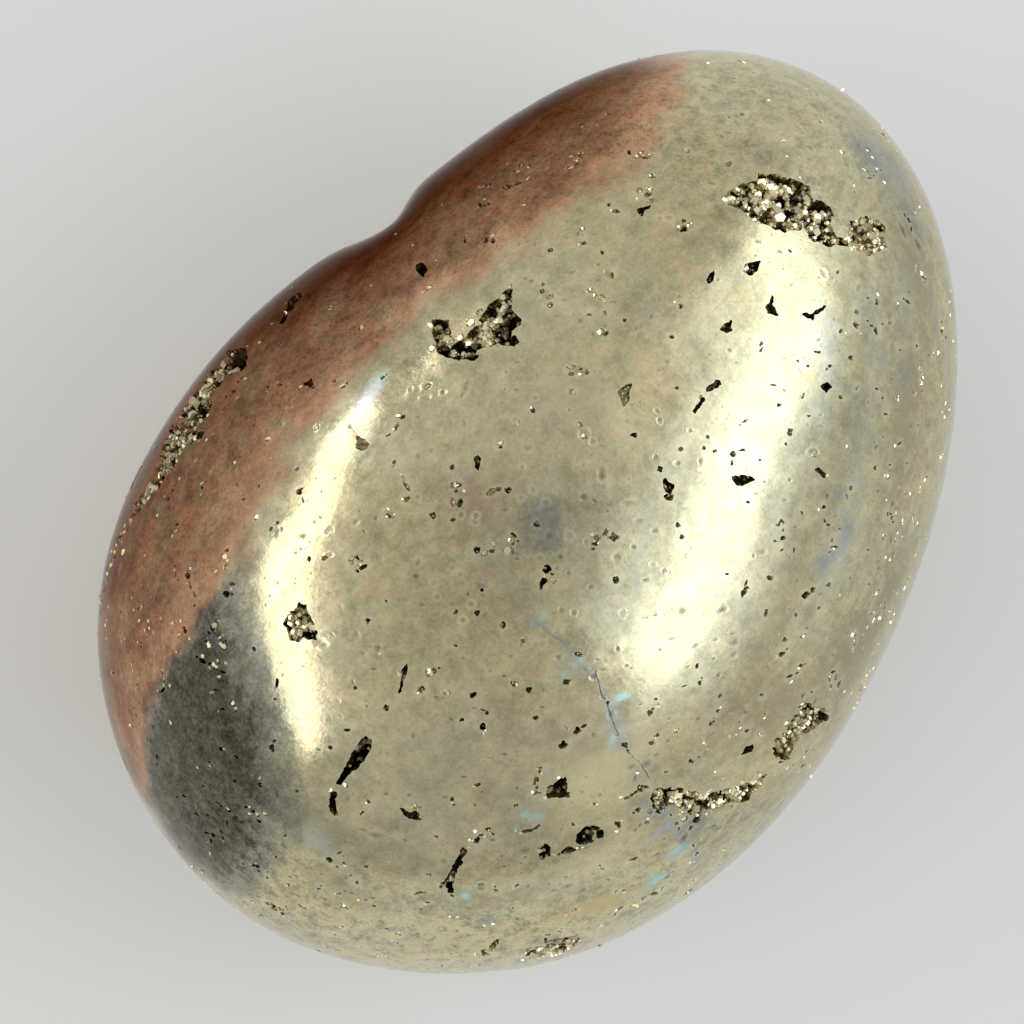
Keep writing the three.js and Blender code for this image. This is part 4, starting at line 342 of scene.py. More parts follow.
# tarnish and stains: place, half length, half width, turn, kind, strength
STAINS = [
    (862, 148, 8, 10, 0, 'blue', .25), (866, 123, 5, 6, 0, 'orange', .25), (866, 190, 12, 8, 0, 'yellow', .25), (867, 195, 20, 6, 0, 'orange', .15), (870, 162, 18, 22, 0, 'slate', .55),
    (880, 180, 14, 8, 0, 'yellow', .3), (890, 160, 14, 12, 20, 'slate', .35), (910, 195, 8, 8, 0, 'blue', .35), (893, 228, 8, 6, 0, 'green', .3), (893, 200, 8, 14, 0, 'green', .12),
    (903, 232, 4, 7, 0, 'violet', .4), (920, 225, 8, 14, 0, 'blue', .25), (905, 240, 6, 10, 0, 'yellow', .25), (890, 300, 14, 20, 0, 'green', .15), (933, 300, 4, 30, 0, 'brown', .15),
    (383, 377, 10, 5, -35, 'cyan', .5), (897, 390, 12, 14, 0, 'blue', .2), (905, 375, 12, 14, 0, 'blue', .35), (912, 368, 6, 5, 0, 'blue', .4), (915, 395, 14, 10, 0, 'orange', .2),
    (920, 380, 8, 10, 0, 'orange', .3), (188, 425, 8, 8, 0, 'brown', .4), (900, 420, 5, 24, 0, 'green', .2), (362, 443, 7, 6, 0, 'orange', .5), (877, 445, 6, 5, 0, 'blue', .3),
    (470, 495, 30, 25, 0, 'brown', .3), (545, 508, 14, 8, 0, 'blue', .35), (580, 505, 16, 14, 0, 'brown', .25), (585, 495, 8, 8, 0, 'orange', .2), (640, 490, 40, 30, 0, 'blue', .08),
    (665, 515, 8, 12, 0, 'violet', .2), (838, 495, 12, 10, 0, 'blue', .35), (300, 535, 6, 4, 0, 'orange', .35), (355, 535, 14, 8, 0, 'orange', .15), (440, 530, 30, 40, 0, 'brown', .15),
    (490, 545, 10, 8, 0, 'cyan', .25), (832, 556, 14, 5, -25, 'blue', .35), (847, 528, 6, 14, 10, 'blue', .35), (845, 527, 12, 4, 0, 'violet', .4), (845, 540, 6, 9, 0, 'blue', .3),
    (850, 530, 10, 8, 0, 'violet', .3), (112, 590, 3, 8, 0, 'rust', .3), (115, 575, 3, 12, 0, 'rust', .4), (284, 592, 3, 3, 0, 'orange', .4), (285, 592, 6, 5, 0, 'orange', .3),
    (485, 590, 20, 20, 0, 'brown', .1), (505, 575, 5, 30, -25, 'cyan', .2), (610, 590, 25, 30, 0, 'green', .12), (785, 580, 16, 10, -20, 'green', .2), (815, 562, 18, 7, -20, 'violet', .6),
    (825, 562, 16, 6, -30, 'violet', .4), (835, 560, 22, 6, -30, 'blue', .1), (120, 620, 6, 10, 0, 'rust', .2), (205, 620, 20, 40, 20, 'violet', .15), (425, 630, 14, 10, 0, 'yellow', .2),
    (500, 605, 25, 12, 0, 'yellow', .2), (505, 625, 30, 7, 0, 'violet', .3), (538, 625, 10, 6, 0, 'blue', .3), (540, 615, 12, 16, 30, 'cyan', .3), (682, 613, 6, 6, 0, 'orange', .35),
    (700, 607, 20, 10, 0, 'yellow', .25), (125, 675, 3, 10, 0, 'orange', .3), (130, 645, 14, 30, 0, 'rust', .12), (146, 652, 4, 12, 10, 'rust', .35), (163, 662, 4, 6, 0, 'rust', .35),
    (291, 652, 3, 3, 0, 'orange', .4), (313, 658, 6, 14, 0, 'yellow', .3), (380, 655, 16, 16, 0, 'brown', .15), (563, 674, 6, 4, 0, 'cyan', .5),
    (578, 653, 10, 4, 20, 'blue', .5), (580, 660, 7, 6, 30, 'cyan', .5), (660, 670, 20, 24, 0, 'yellow', .2), (140, 686, 5, 9, 0, 'orange', .4), (148, 700, 4, 8, 0, 'orange', .3),
    (270, 700, 20, 40, 0, 'blue', .2), (310, 715, 12, 12, 30, 'orange', .35), (510, 715, 16, 12, 0, 'brown', .25), (530, 690, 14, 12, 0, 'brown', .25), (611, 715, 4, 14, -15, 'blue', .5),
    (622, 697, 12, 5, 0, 'cyan', 1), (650, 690, 18, 10, 0, 'pale', .25), (760, 715, 8, 8, 0, 'orange', .2), (312, 738, 8, 8, 0, 'orange', .3), (440, 740, 24, 16, 0, 'greyviolet', .15),
    (503, 745, 24, 8, 0, 'green', .1), (520, 738, 40, 8, 5, 'greyviolet', .3), (613, 740, 5, 6, 0, 'cyan', 1), (624, 745, 7, 6, 30, 'blue', .6), (665, 735, 10, 8, 0, 'orange', .15),
    (700, 740, 60, 30, 0, 'brown', .08), (484, 788, 8, 5, 0, 'rust', .25), (645, 765, 12, 8, 0, 'blue', .2), (650, 770, 14, 10, 0, 'grey', .3), (307, 838, 5, 4, 0, 'pale', .3),
    (310, 820, 12, 8, 0, 'brown', .2), (315, 837, 16, 12, 0, 'frost', .5), (315, 835, 15, 15, 0, 'frost', .3), (330, 835, 12, 6, 0, 'orange', .2), (516, 828, 5, 4, 0, 'cyan', .4),
    (525, 815, 7, 4, 0, 'cyan', .6), (525, 815, 6, 5, 0, 'cyan', .4), (535, 818, 8, 5, 0, 'cyan', .4), (537, 816, 6, 5, 0, 'cyan', .4), (597, 815, 16, 16, 0, 'yellow', .15),
    (597, 834, 8, 5, 0, 'teal', .6), (600, 834, 7, 6, 0, 'teal', .7), (640, 802, 20, 20, 0, 'grey', .25), (655, 802, 7, 6, 0, 'blue', .5), (665, 808, 8, 5, 0, 'blue', .5),
    (665, 825, 12, 12, 0, 'brown', .25), (665, 810, 6, 4, 0, 'blue', .5), (686, 800, 6, 4, 0, 'violet', .3), (690, 835, 12, 14, 0, 'grey', .3), (700, 815, 14, 16, 0, 'grey', .3),
    (740, 800, 30, 30, 0, 'green', .06), (760, 816, 12, 5, -30, 'orange', .2), (780, 805, 8, 5, -30, 'orange', .2), (275, 850, 6, 6, 0, 'yellow', .5), (280, 867, 7, 6, 0, 'yellow', .6),
    (322, 845, 14, 8, 0, 'frost', .3), (510, 868, 12, 10, 0, 'pale', .2), (645, 852, 3, 10, 10, 'yellow', .35), (652, 877, 4, 3, 0, 'cyan', .7), (655, 862, 20, 5, 0, 'brown', .3),
    (668, 854, 4, 2, 0, 'pale', .5), (677, 849, 4, 5, 0, 'cyan', .7), (677, 850, 9, 5, 0, 'cyan', .7), (682, 853, 4, 3, 0, 'cyan', .7), (280, 897, 12, 8, 0, 'orange', .35),
    (290, 893, 14, 12, 0, 'yellow', .4), (290, 902, 9, 8, 0, 'yellow', .4), (292, 900, 8, 8, 0, 'orange', .3), (350, 902, 22, 8, 0, 'yellow', .5), (360, 903, 24, 6, 0, 'yellow', .4),
    (378, 915, 6, 10, 0, 'orange', .25), (430, 895, 12, 5, 0, 'brown', .1), (465, 896, 5, 4, 0, 'cyan', 1), (466, 896, 5, 4, 0, 'cyan', 1), (475, 895, 18, 12, 0, 'violet', .15),
    (500, 900, 25, 6, 0, 'brown', .15), (535, 917, 12, 8, 0, 'yellow', .3), (560, 890, 60, 12, 0, 'grey', .1), (570, 912, 18, 9, -10, 'yellow', .7), (585, 907, 20, 6, 0, 'yellow', .6),
    (597, 908, 38, 12, -5, 'yellow', .6), (600, 912, 14, 9, 0, 'yellow', .5), (610, 898, 26, 9, -15, 'yellow', .8), (610, 900, 24, 9, -15, 'yellow', .7), (617, 911, 4, 3, 0, 'teal', .5),
    (640, 885, 14, 8, 0, 'grey', .2), (655, 880, 9, 4, -10, 'cyan', .8), (658, 880, 8, 3, -10, 'cyan', 1), (683, 895, 6, 3, -35, 'teal', .7), (683, 896, 5, 3, -25, 'teal', .8),
    (690, 891, 4, 2, -20, 'teal', .5), (330, 922, 18, 8, 0, 'orange', .3), (345, 940, 30, 8, 0, 'yellow', .2), (390, 950, 22, 6, 0, 'yellow', .4), (410, 948, 24, 7, -10, 'yellow', .4),
    (435, 943, 30, 9, 0, 'yellow', .45), (460, 940, 26, 8, 0, 'yellow', .35), (475, 948, 45, 10, 5, 'yellow', .6), (485, 922, 11, 7, 0, 'blue', .35), (487, 921, 13, 9, 0, 'blue', .35),
]
# outlined pits: depth in mm, outline
OUTLINED = [
    (.8, [(293, 296), (302, 292), (302, 297), (296, 303), (292, 311), (288, 312), (286, 320), (282, 327), (279, 324), (283, 316), (287, 308), (288, 301)]),
    (.9, [(416, 264), (423, 263), (428, 268), (427, 272), (424, 277), (420, 275), (416, 270)]),
    (.6, [(637, 210), (645, 206), (651, 205), (650, 208), (645, 211), (643, 217), (640, 216), (637, 213)]),
    (.7, [(705, 280), (710, 273), (714, 271), (715, 275), (712, 282), (708, 283)]),
    (.6, [(719, 329), (723, 324), (729, 322), (731, 318), (733, 321), (731, 327), (733, 332), (727, 332), (721, 331)]),
    (.7, [(743, 272), (745, 264), (752, 262), (762, 260), (760, 266), (756, 273), (750, 275)]),
    (.6, [(772, 295), (774, 297), (773, 304), (776, 310), (780, 315), (776, 317), (768, 313), (765, 308), (769, 302), (771, 297)]),
    (.6, [(801, 314), (806, 312), (811, 313), (820, 308), (829, 302), (829, 305), (822, 312), (815, 315), (813, 322), (808, 318), (803, 315)]),
    (1.2, [(241, 348), (247, 354), (247, 362), (243, 370), (236, 373), (229, 371), (228, 367), (233, 361), (238, 355)]),
    (1.2, [(193, 401), (199, 397), (207, 399), (212, 403), (210, 410), (206, 417), (199, 419), (195, 415), (194, 411), (188, 408), (190, 404)]),
    (1, [(163, 471), (158, 474), (153, 481), (153, 488), (156, 492), (160, 485), (164, 476)]),
    (.6, [(141, 465), (143, 467), (138, 474), (134, 483), (131, 490), (129, 488), (131, 480), (136, 471)]),
    (.5, [(303, 383), (308, 381), (312, 378), (313, 383), (315, 389), (312, 389), (309, 386), (304, 385)]),
    (.15, [(356, 436), (362, 437), (370, 445), (367, 449), (361, 451), (356, 447)]),
    (.6, [(473, 458), (478, 455), (481, 459), (481, 466), (479, 471), (475, 467)]),
    (.25, [(617, 391), (624, 386), (632, 384), (631, 388), (629, 395), (630, 399), (626, 405), (622, 408), (621, 402), (618, 394)]),
    (.5, [(706, 389), (709, 385), (713, 383), (715, 379), (719, 380), (722, 385), (717, 388), (712, 391), (707, 391)]),
    (.5, [(698, 394), (703, 396), (707, 398), (705, 402), (702, 403), (700, 408), (695, 413), (692, 411), (697, 404), (700, 400)]),
    (.6, [(662, 480), (666, 478), (670, 482), (675, 485), (674, 489), (670, 494), (665, 492), (663, 485)]),
    (.8, [(820, 386), (823, 384), (828, 382), (831, 385), (834, 388), (830, 389), (826, 392), (822, 389)]),
    (.5, [(814, 469), (818, 467), (822, 471), (826, 474), (825, 478), (821, 476), (817, 472)]),
    (.7, [(731, 476), (742, 475), (752, 476), (755, 479), (750, 483), (742, 486), (735, 485), (733, 480)]),
    (.7, [(407, 663), (408, 668), (405, 680), (402, 692), (399, 694), (399, 688), (400, 678), (402, 668)]),
    (.6, [(399, 808), (404, 809), (410, 813), (416, 810), (420, 815), (418, 820), (411, 819), (404, 815)]),
    (.8, [(742, 755), (743, 750), (747, 746), (753, 744), (754, 748), (752, 752), (746, 754)]),
]
# crystal-lined cavities: depth in mm, outline
CAVITIES = [
    (1.1, [(720, 197), (738, 186), (756, 180), (758, 172), (775, 176), (795, 178), (808, 186), (813, 198), (806, 214), (800, 230), (786, 235), (772, 226), (752, 222), (742, 210), (728, 204)]),
    (1.2, [(800, 200), (818, 202), (832, 212), (831, 224), (836, 236), (848, 238), (848, 246), (832, 247), (812, 241), (803, 228)]),
    (.8, [(848, 224), (862, 217), (880, 219), (885, 228), (884, 240), (888, 248), (872, 254), (856, 251), (847, 242)]),
    (.9, [(432, 320), (449, 320), (452, 331), (446, 342), (452, 350), (450, 358), (438, 353), (433, 338)]),
    (1.3, [(448, 350), (466, 336), (474, 326), (492, 322), (497, 344), (478, 351), (470, 359), (458, 361)]),
    (1.4, [(478, 320), (492, 303), (506, 289), (513, 289), (511, 310), (522, 319), (520, 326), (510, 331), (510, 341), (517, 346), (504, 346), (492, 345), (488, 330)]),
    (1.4, [(358, 742), (366, 735), (371, 740), (370, 752), (362, 762), (352, 773), (341, 784), (337, 783), (345, 766), (352, 752)]),
    (1, [(331, 790), (337, 792), (335, 804), (338, 814), (333, 817), (329, 806)]),
    (1, [(298, 597), (302, 603), (306, 605), (308, 612), (313, 622), (317, 633), (318, 641), (311, 640), (304, 638), (297, 641), (290, 640), (289, 636), (286, 628), (283, 624), (286, 616), (291, 611), (297, 608), (298, 602)]),
    (1, [(544, 793), (552, 785), (562, 777), (568, 783), (567, 791), (570, 797), (557, 797), (549, 799)]),
    (.8, [(575, 841), (578, 833), (583, 828), (590, 826), (593, 829), (595, 835), (589, 843), (581, 845)]),
    (.6, [(537, 850), (545, 843), (551, 848), (549, 857), (540, 860)]),
    (.6, [(560, 852), (568, 846), (577, 848), (570, 854), (563, 856)]),
    (.8, [(448, 892), (445, 882), (452, 868), (462, 851), (468, 850), (460, 864), (454, 878), (453, 892)]),
    (1, [(800, 703), (810, 704), (824, 709), (829, 718), (815, 728), (800, 737), (793, 750), (788, 760), (776, 756), (772, 749), (780, 736), (790, 722)]),
    (.8, [(655, 790), (672, 786), (690, 791), (705, 794), (705, 806), (696, 822), (686, 810), (668, 805), (656, 812), (650, 800)]),
    (.9, [(705, 794), (724, 790), (745, 784), (763, 775), (762, 786), (752, 794), (746, 802), (728, 803), (712, 812), (703, 808)]),
    (1, [(240, 349), (248, 355), (246, 366), (239, 372), (225, 375), (220, 386), (210, 394), (211, 406), (205, 419), (196, 428), (182, 430), (176, 424), (183, 408), (193, 393), (205, 377), (222, 362)]),
    (.8, [(172, 424), (188, 432), (202, 434), (198, 442), (184, 447), (178, 462), (168, 473), (160, 486), (151, 495), (143, 507), (135, 513), (134, 505), (145, 488), (155, 470), (161, 452), (166, 436)]),
    (1, [(545, 940), (562, 938), (578, 935), (582, 942), (568, 950), (552, 957), (545, 950)]),
    (.7, [(523, 956), (530, 947), (542, 946), (545, 955), (535, 960)]),
    (.7, [(479, 956), (482, 950), (490, 948), (494, 940), (500, 941), (496, 947), (490, 955)]),
]
# hairline cracks
HAIRS = [
    [(806, 88), (815, 91), (818, 95), (810, 98)],
    [(818, 95), (826, 100), (832, 107)],
    [(824, 116), (832, 113), (841, 113), (843, 118)],
    [(399, 470), (404, 478), (408, 486), (411, 492)],
    [(390, 463), (399, 474)],
    [(595, 668), (598, 683), (601, 694), (607, 702), (610, 714), (614, 725), (619, 737)],
    [(619, 741), (626, 748), (633, 757), (642, 765), (650, 780)],
    [(720, 671), (714, 677), (708, 684)],
    [(723, 690), (716, 699)],
    [(707, 727), (704, 733), (703, 741)],
    [(482, 721), (484, 735), (490, 745)],
    [(680, 688), (688, 684)],
    [(560, 722), (572, 732)],
    [(205, 699), (208, 715)],
    [(488, 829), (493, 834), (497, 840)],
    [(551, 854), (558, 855)],
    [(457, 856), (470, 844)],
    [(498, 859), (506, 852), (511, 850)],
    [(592, 933), (597, 926), (604, 924), (610, 923)],
    [(455, 862), (462, 850)],
    [(398, 470), (410, 490)],
    [(348, 420), (356, 436)],
    [(790, 466), (795, 461), (803, 460)],
    [(590, 932), (598, 926), (610, 922)],
    [(490, 828), (478, 838), (462, 850), (458, 862), (450, 875), (445, 882), (452, 895)],
]
# one bright flush facet
FACET = [(224, 399), (227, 394), (233, 386), (238, 390), (232, 394), (226, 398)]

# ---- the stone's form, the same as the CAD's ----
GIRTH = np.array([-4.767, 0.042, 20.8])
HALF_HEIGHT = 21.5
OUTLINE = [25.0398, 3.0001, 0.1918, 4.1858, -0.1434, 1.5277, 0.4460, 0.6663, 0.2868,
           0.2226, 0.2235, 0.0539, 0.1218, -0.0297, 0.0241, 0.0206, 0.0049]
UNITS_PER_MM = 16.888
SPAN = UNITS_PER_MM * 250.0
TURN = math.radians(50.48)
RIGHT = np.array([math.cos(TURN), -math.sin(TURN), 0.0])
UPWARD = np.array([math.sin(TURN), math.cos(TURN), 0.0])
EYE = np.array([-1.579, 2.079, 270.8])

rng = np.random.default_rng(20)


def unit(v):
    return v / np.linalg.norm(v, axis=-1, keepdims=True)


# a very low waviness left by the polishing wheel
WAVE_K = unit(rng.normal(size=(12, 3))) * (2 * math.pi / rng.uniform(3.5, 9.0, (12, 1)))
WAVE_C = rng.uniform(0, 2 * math.pi, 12)
WAVE_A = 0.0028


def skin_radius(d):
    phi = np.arctan2(d[:, 1], d[:, 0])
    psi = np.arcsin(np.clip(d[:, 2], -1, 1))
    r = np.full(len(d), OUTLINE[0])
    for k in range(1, 9):
        r += OUTLINE[2 * k - 1] * np.cos(k * phi) + OUTLINE[2 * k] * np.sin(k * phi)
    level = 1 / np.sqrt((np.cos(psi) / r) ** 2 + (np.sin(psi) / HALF_HEIGHT) ** 2)
    off = np.degrees(phi) - 57.3
    side = off / np.where(off > 0, 7.0, 3.4)
    up = (np.degrees(psi) - 2) / 13
    wave = WAVE_A * np.sin(23.0 * d @ WAVE_K.T + WAVE_C).sum(1)
    return level - 1.18 * np.exp(-side * side - up * up) + wave


def on_skin(d):
    return GIRTH + skin_radius(d)[:, None] * d


def skin_normal(p, e=0.004):
    def level(q):
        q = q - GIRTH
        n = np.linalg.norm(q, axis=1)
        return n - skin_radius(q / n[:, None])
    g = np.empty_like(p)
    for k in range(3):
        step = np.zeros(3)
        step[k] = e
        g[:, k] = level(p + step) - level(p - step)
    return unit(g)


def from_view(xy):
    """Directions, from the girth centre, of the skin seen at these view units. A place just past
    the outline goes to the nearest skin."""
    xy = np.asarray(xy, float).reshape(-1, 2)
    ray = unit((xy[:, :1] - 512) / SPAN * RIGHT + (512 - xy[:, 1:]) / SPAN * UPWARD
               + np.array([0.0, 0.0, -1.0]))

    def level(t):
        q = EYE + ray * t[:, None] - GIRTH
        n = np.linalg.norm(q, axis=1)
        return n - skin_radius(q / n[:, None])

    steps = np.linspace(227.0, 254.0, 55)
    f = np.stack([level(np.full(len(xy), t)) for t in steps], 1)
    meets = (f < 0).any(1)
    i = np.where(meets, np.argmax(f < 0, axis=1), np.clip(np.argmin(f, axis=1), 1, 53))
    a, b = steps[np.maximum(i - 1, 0)], steps[i]
    for _ in range(24):
        m = (a + b) / 2
        g = level(m)
        a, b = np.where(meets & (g > 0), m, a), np.where(meets & (g <= 0), m, b)
    rows = np.arange(len(xy))
    f0, f1, f2 = f[rows, np.maximum(i - 1, 0)], f[rows, i], f[rows, np.minimum(i + 1, 54)]
    bend = np.maximum(f0 - 2 * f1 + f2, 1e-9)
    t = np.where(meets, b, steps[i] + 0.5 * np.clip((f0 - f2) / (2 * bend), -1, 1))
    return unit(EYE + ray * t[:, None] - GIRTH)


def to_view(p):
    """View units of points."""
    q = p - EYE
    far = -q[:, 2]
    return np.stack([512 + SPAN * (q @ RIGHT) / far, 512 - SPAN * (q @ UPWARD) / far], 1)


def tangents(n):
    a = np.array([-n[1], n[0], 0.0])
    s = math.hypot(a[0], a[1])
    if s < 1e-3:
        a, s = np.array([1.0, 0.0, 0.0]), 1.0
    a /= s
    return a, np.array([n[1] * a[2] - n[2] * a[1], n[2] * a[0] - n[0] * a[2], n[0] * a[1] - n[1] * a[0]])


def to_chart(d):
    return d[:, :2] / (1 + d[:, 2:3])


def from_chart(q):
    s = (q * q).sum(1, keepdims=True)
    return np.hstack([2 * q, 1 - s]) / (1 + s)


def outline_gap(uv, poly):
    """Distance to an outline, positive inside."""
    p, q = poly, np.roll(poly, -1, 0)
    e = q - p
    w = uv[:, None] - p[None]
    t = np.clip((w * e).sum(2) / np.maximum((e * e).sum(1), 1e-12), 0, 1)
    gap = np.sqrt(((w - t[..., None] * e) ** 2).sum(2)).min(1)
    y = uv[:, 1:2]
    up = (p[None, :, 1] > y) != (q[None, :, 1] > y)
    span = np.where(np.abs(e[:, 1]) < 1e-12, 1e-12, e[:, 1])
    x = p[:, 0] + (y - p[:, 1]) * e[:, 0] / span
    odd = (up & (uv[:, :1] < x)).sum(1) % 2 == 1
    return np.where(odd, gap, -gap)


# ---- the things cut into the skin ----
class Cut:
    """An outline on the skin, how deep it goes, how wide its wall is, and how dark it is inside."""

    def __init__(self, dirs, depth, wall, dark, rough=0.2, kind="pit", step=None):
        c = unit(dirs.mean(0)[None])
        self.centre = on_skin(c)[0]
        self.normal = skin_normal(self.centre[None])[0]
        self.a, self.b = tangents(self.normal)
        self.reach = (self.centre - GIRTH) @ self.normal
        self.poly = self.local(dirs)
        x, y = self.poly.T
        if (x * np.roll(y, -1) - y * np.roll(x, -1)).sum() < 0:
            self.poly = self.poly[::-1]
        self.depth, self.wall, self.dark, self.rough = depth, wall, dark, rough
        self.kind, self.step = kind, step
        self.fill = (0.9, 0.4, 0.95) if kind == "cavity" else (0.25, 0.2, 0.7)
        self.size = np.linalg.norm(self.poly, axis=1).max()
        self.toward = unit(self.centre - GIRTH)

    def local(self, d):
        x = GIRTH + d * (self.reach / (d @ self.normal))[:, None] - self.centre
        return np.stack([x @ self.a, x @ self.b], 1)

    def world(self, uv):
        return unit(self.centre + uv[:, :1] * self.a + uv[:, 1:] * self.b - GIRTH)

    def inside(self, uv):
        return outline_gap(uv, self.poly)


def walk(poly, step, shake=0.0):
    """The outline with a point every step or so."""
    out = []
    for p, q in zip(poly, np.roll(poly, -1, 0)):
        n = max(1, int(round(np.linalg.norm(q - p) / step)))
        out.append(p + (q - p) * np.arange(n)[:, None] / n)
    out = np.vstack(out)
    if shake:
        near, far = np.roll(out, 1, 0), np.roll(out, -1, 0)
        side = far - near
        side = np.stack([side[:, 1], -side[:, 0]], 1)
        side /= np.maximum(np.linalg.norm(side, axis=1, keepdims=True), 1e-9)
        k = rng.normal(size=len(out))
        k = 0.6 * k + 0.4 * np.roll(k, 1)
        out = out + side * (np.clip(k, -1.6, 1.6) * shake)[:, None]
    return out


def blob(x, y, a, b, turn, sides, rough=1.0):
    """A rough outline round a place, in view units."""
    t = np.arange(sides) / sides * 2 * math.pi + rng.uniform(0, 6.28)
    r = np.ones(sides)
    for k, amp in ((2, 0.10), (3, 0.12), (4, 0.08), (5, 0.06)):
        r += rough * amp * rng.normal() * np.cos(k * t + rng.uniform(0, 6.28))
    r = np.clip(r, 0.55, 1.5)
    c, s = math.cos(math.radians(turn)), math.sin(math.radians(turn))
    u, v = a * r * np.cos(t), b * r * np.sin(t)
    return np.stack([x + u * c - v * s, y + u * s + v * c], 1)


def cross(x, y, a, b, turn):
    """A place and the ends of its two half axes, in view units."""
    c, s = math.cos(math.radians(turn)), math.sin(math.radians(turn))
    return [(x, y), (x + a * c, y + a * s), (x - b * s, y + b * c)]


def squeeze(p, n, along, across):
    """How much to shorten a small feature down the flank, so that reading it near the outline doesn't stretch it."""
    v = unit(EYE - p)
    facing = float(v @ n)
    if facing > 0.75:
        return None, 1.0
    e = unit(v - facing * n)
    up, side = along(e), across(np.cross(n, e))
    return e, float(np.clip(1.5 * side / max(up, 1e-9), min(1.0, 1.2 * max(facing, 0.0)), 1.0))


# how full of crystals each cavity above is, and the darkest and lightest of them; the darker tones are partly painted
# shade
FILL = [(1.0, 0.55, 1.0), (0.9, 0.50, 1.0), (1.0, 0.55, 1.0), (0.8, 0.40, 0.80), (0.9, 0.50, 0.90), (0.7, 0.40, 0.85),
        (0.10, 0.15, 0.40), (0.10, 0.15, 0.40), (1.0, 0.35, 0.85), (0.35, 0.20, 0.55), (0.35, 0.20, 0.55),
        (0.5, 0.3, 0.8), (0.4, 0.3, 0.8), (0.6, 0.15, 0.55), (0.9, 0.45, 1.0), (0.8, 0.60, 1.0), (0.8, 0.60, 1.0),
        (0.8, 0.25, 0.75), (0.8, 0.25, 0.80), (0.7, 0.4, 0.9), (0.7, 0.4, 0.9), (0.7, 0.4, 0.9)]
# black gaps between the crystals, besides those above, painted black as shade
MORE_GAPS = [
    (509, 303, 3, 13, 5, 1), (507, 330, 5, 13, 0, 1), (514, 341, 5, 5, 0, 1), (517, 322, 5, 4, 0, 1), (500, 338, 6, 6, 0, 1),
    (452, 355, 10, 4, 15, 1), (470, 357, 9, 3.5, 5, 1), (463, 346, 7, 5, 0, 1), (441, 348, 4, 5, 0, 1),
    (237, 358, 12, 9, -30, 1), (219, 376, 5, 3, -40, 1), (213, 385, 3, 2, 0, 1), (199, 409, 13, 8, -50, 1), (202, 416, 6, 3, -30, 1),
    (186, 414, 3, 4, 0, 1), (172, 447, 5, 3, -30, 1), (176, 436, 3, 3, 0, 1), (156, 481, 9, 5, -60, 1), (152, 488, 3, 4, 20, 1),
    (141, 501, 2, 4, 30, 1), (229, 352, 3, 2, -30, 1),
    (672, 797, 4, 6, 0, 1), (690, 800, 4, 4, 0, 1), (706, 806, 4, 4, 0, 1), (725, 796, 5, 4, 0, 1), (742, 790, 3, 4, 0, 1),
    (683, 806, 4, 3, 0, 1), (660, 800, 4, 4, 0, 1), (133, 516, 4, 2, -60, 1), (118, 539, 3.5, 1.8, -60, 1),
    (114, 556, 3.5, 1.8, -70, 1), (127, 529, 2.5, 1.5, -60, 1),
]
# the thin crack that runs on down the left edge, and the crystals in it
EDGE_CRACK = [(146, 496), (140, 504), (134, 515), (128, 527), (120, 538), (115, 548), (112, 560), (107, 574)]
EDGE_GRAINS = [(138, 511, 3, 2.5, 0, .5), (136, 504, 3, 2, -60, .9), (130, 520, 2, 2, 0, .8), (125, 526, 2, 1.5, 0, .9),
               (121, 533, 2, 2, 0, .9), (115, 544, 3, 3, 0, 1), (112, 551, 1.5, 2, 0, .8), (124, 553, 1.5, 4, 10, .6),
               (110, 565, 2, 2, 0, .9), (107, 573, 2, 2, 0, .9)]
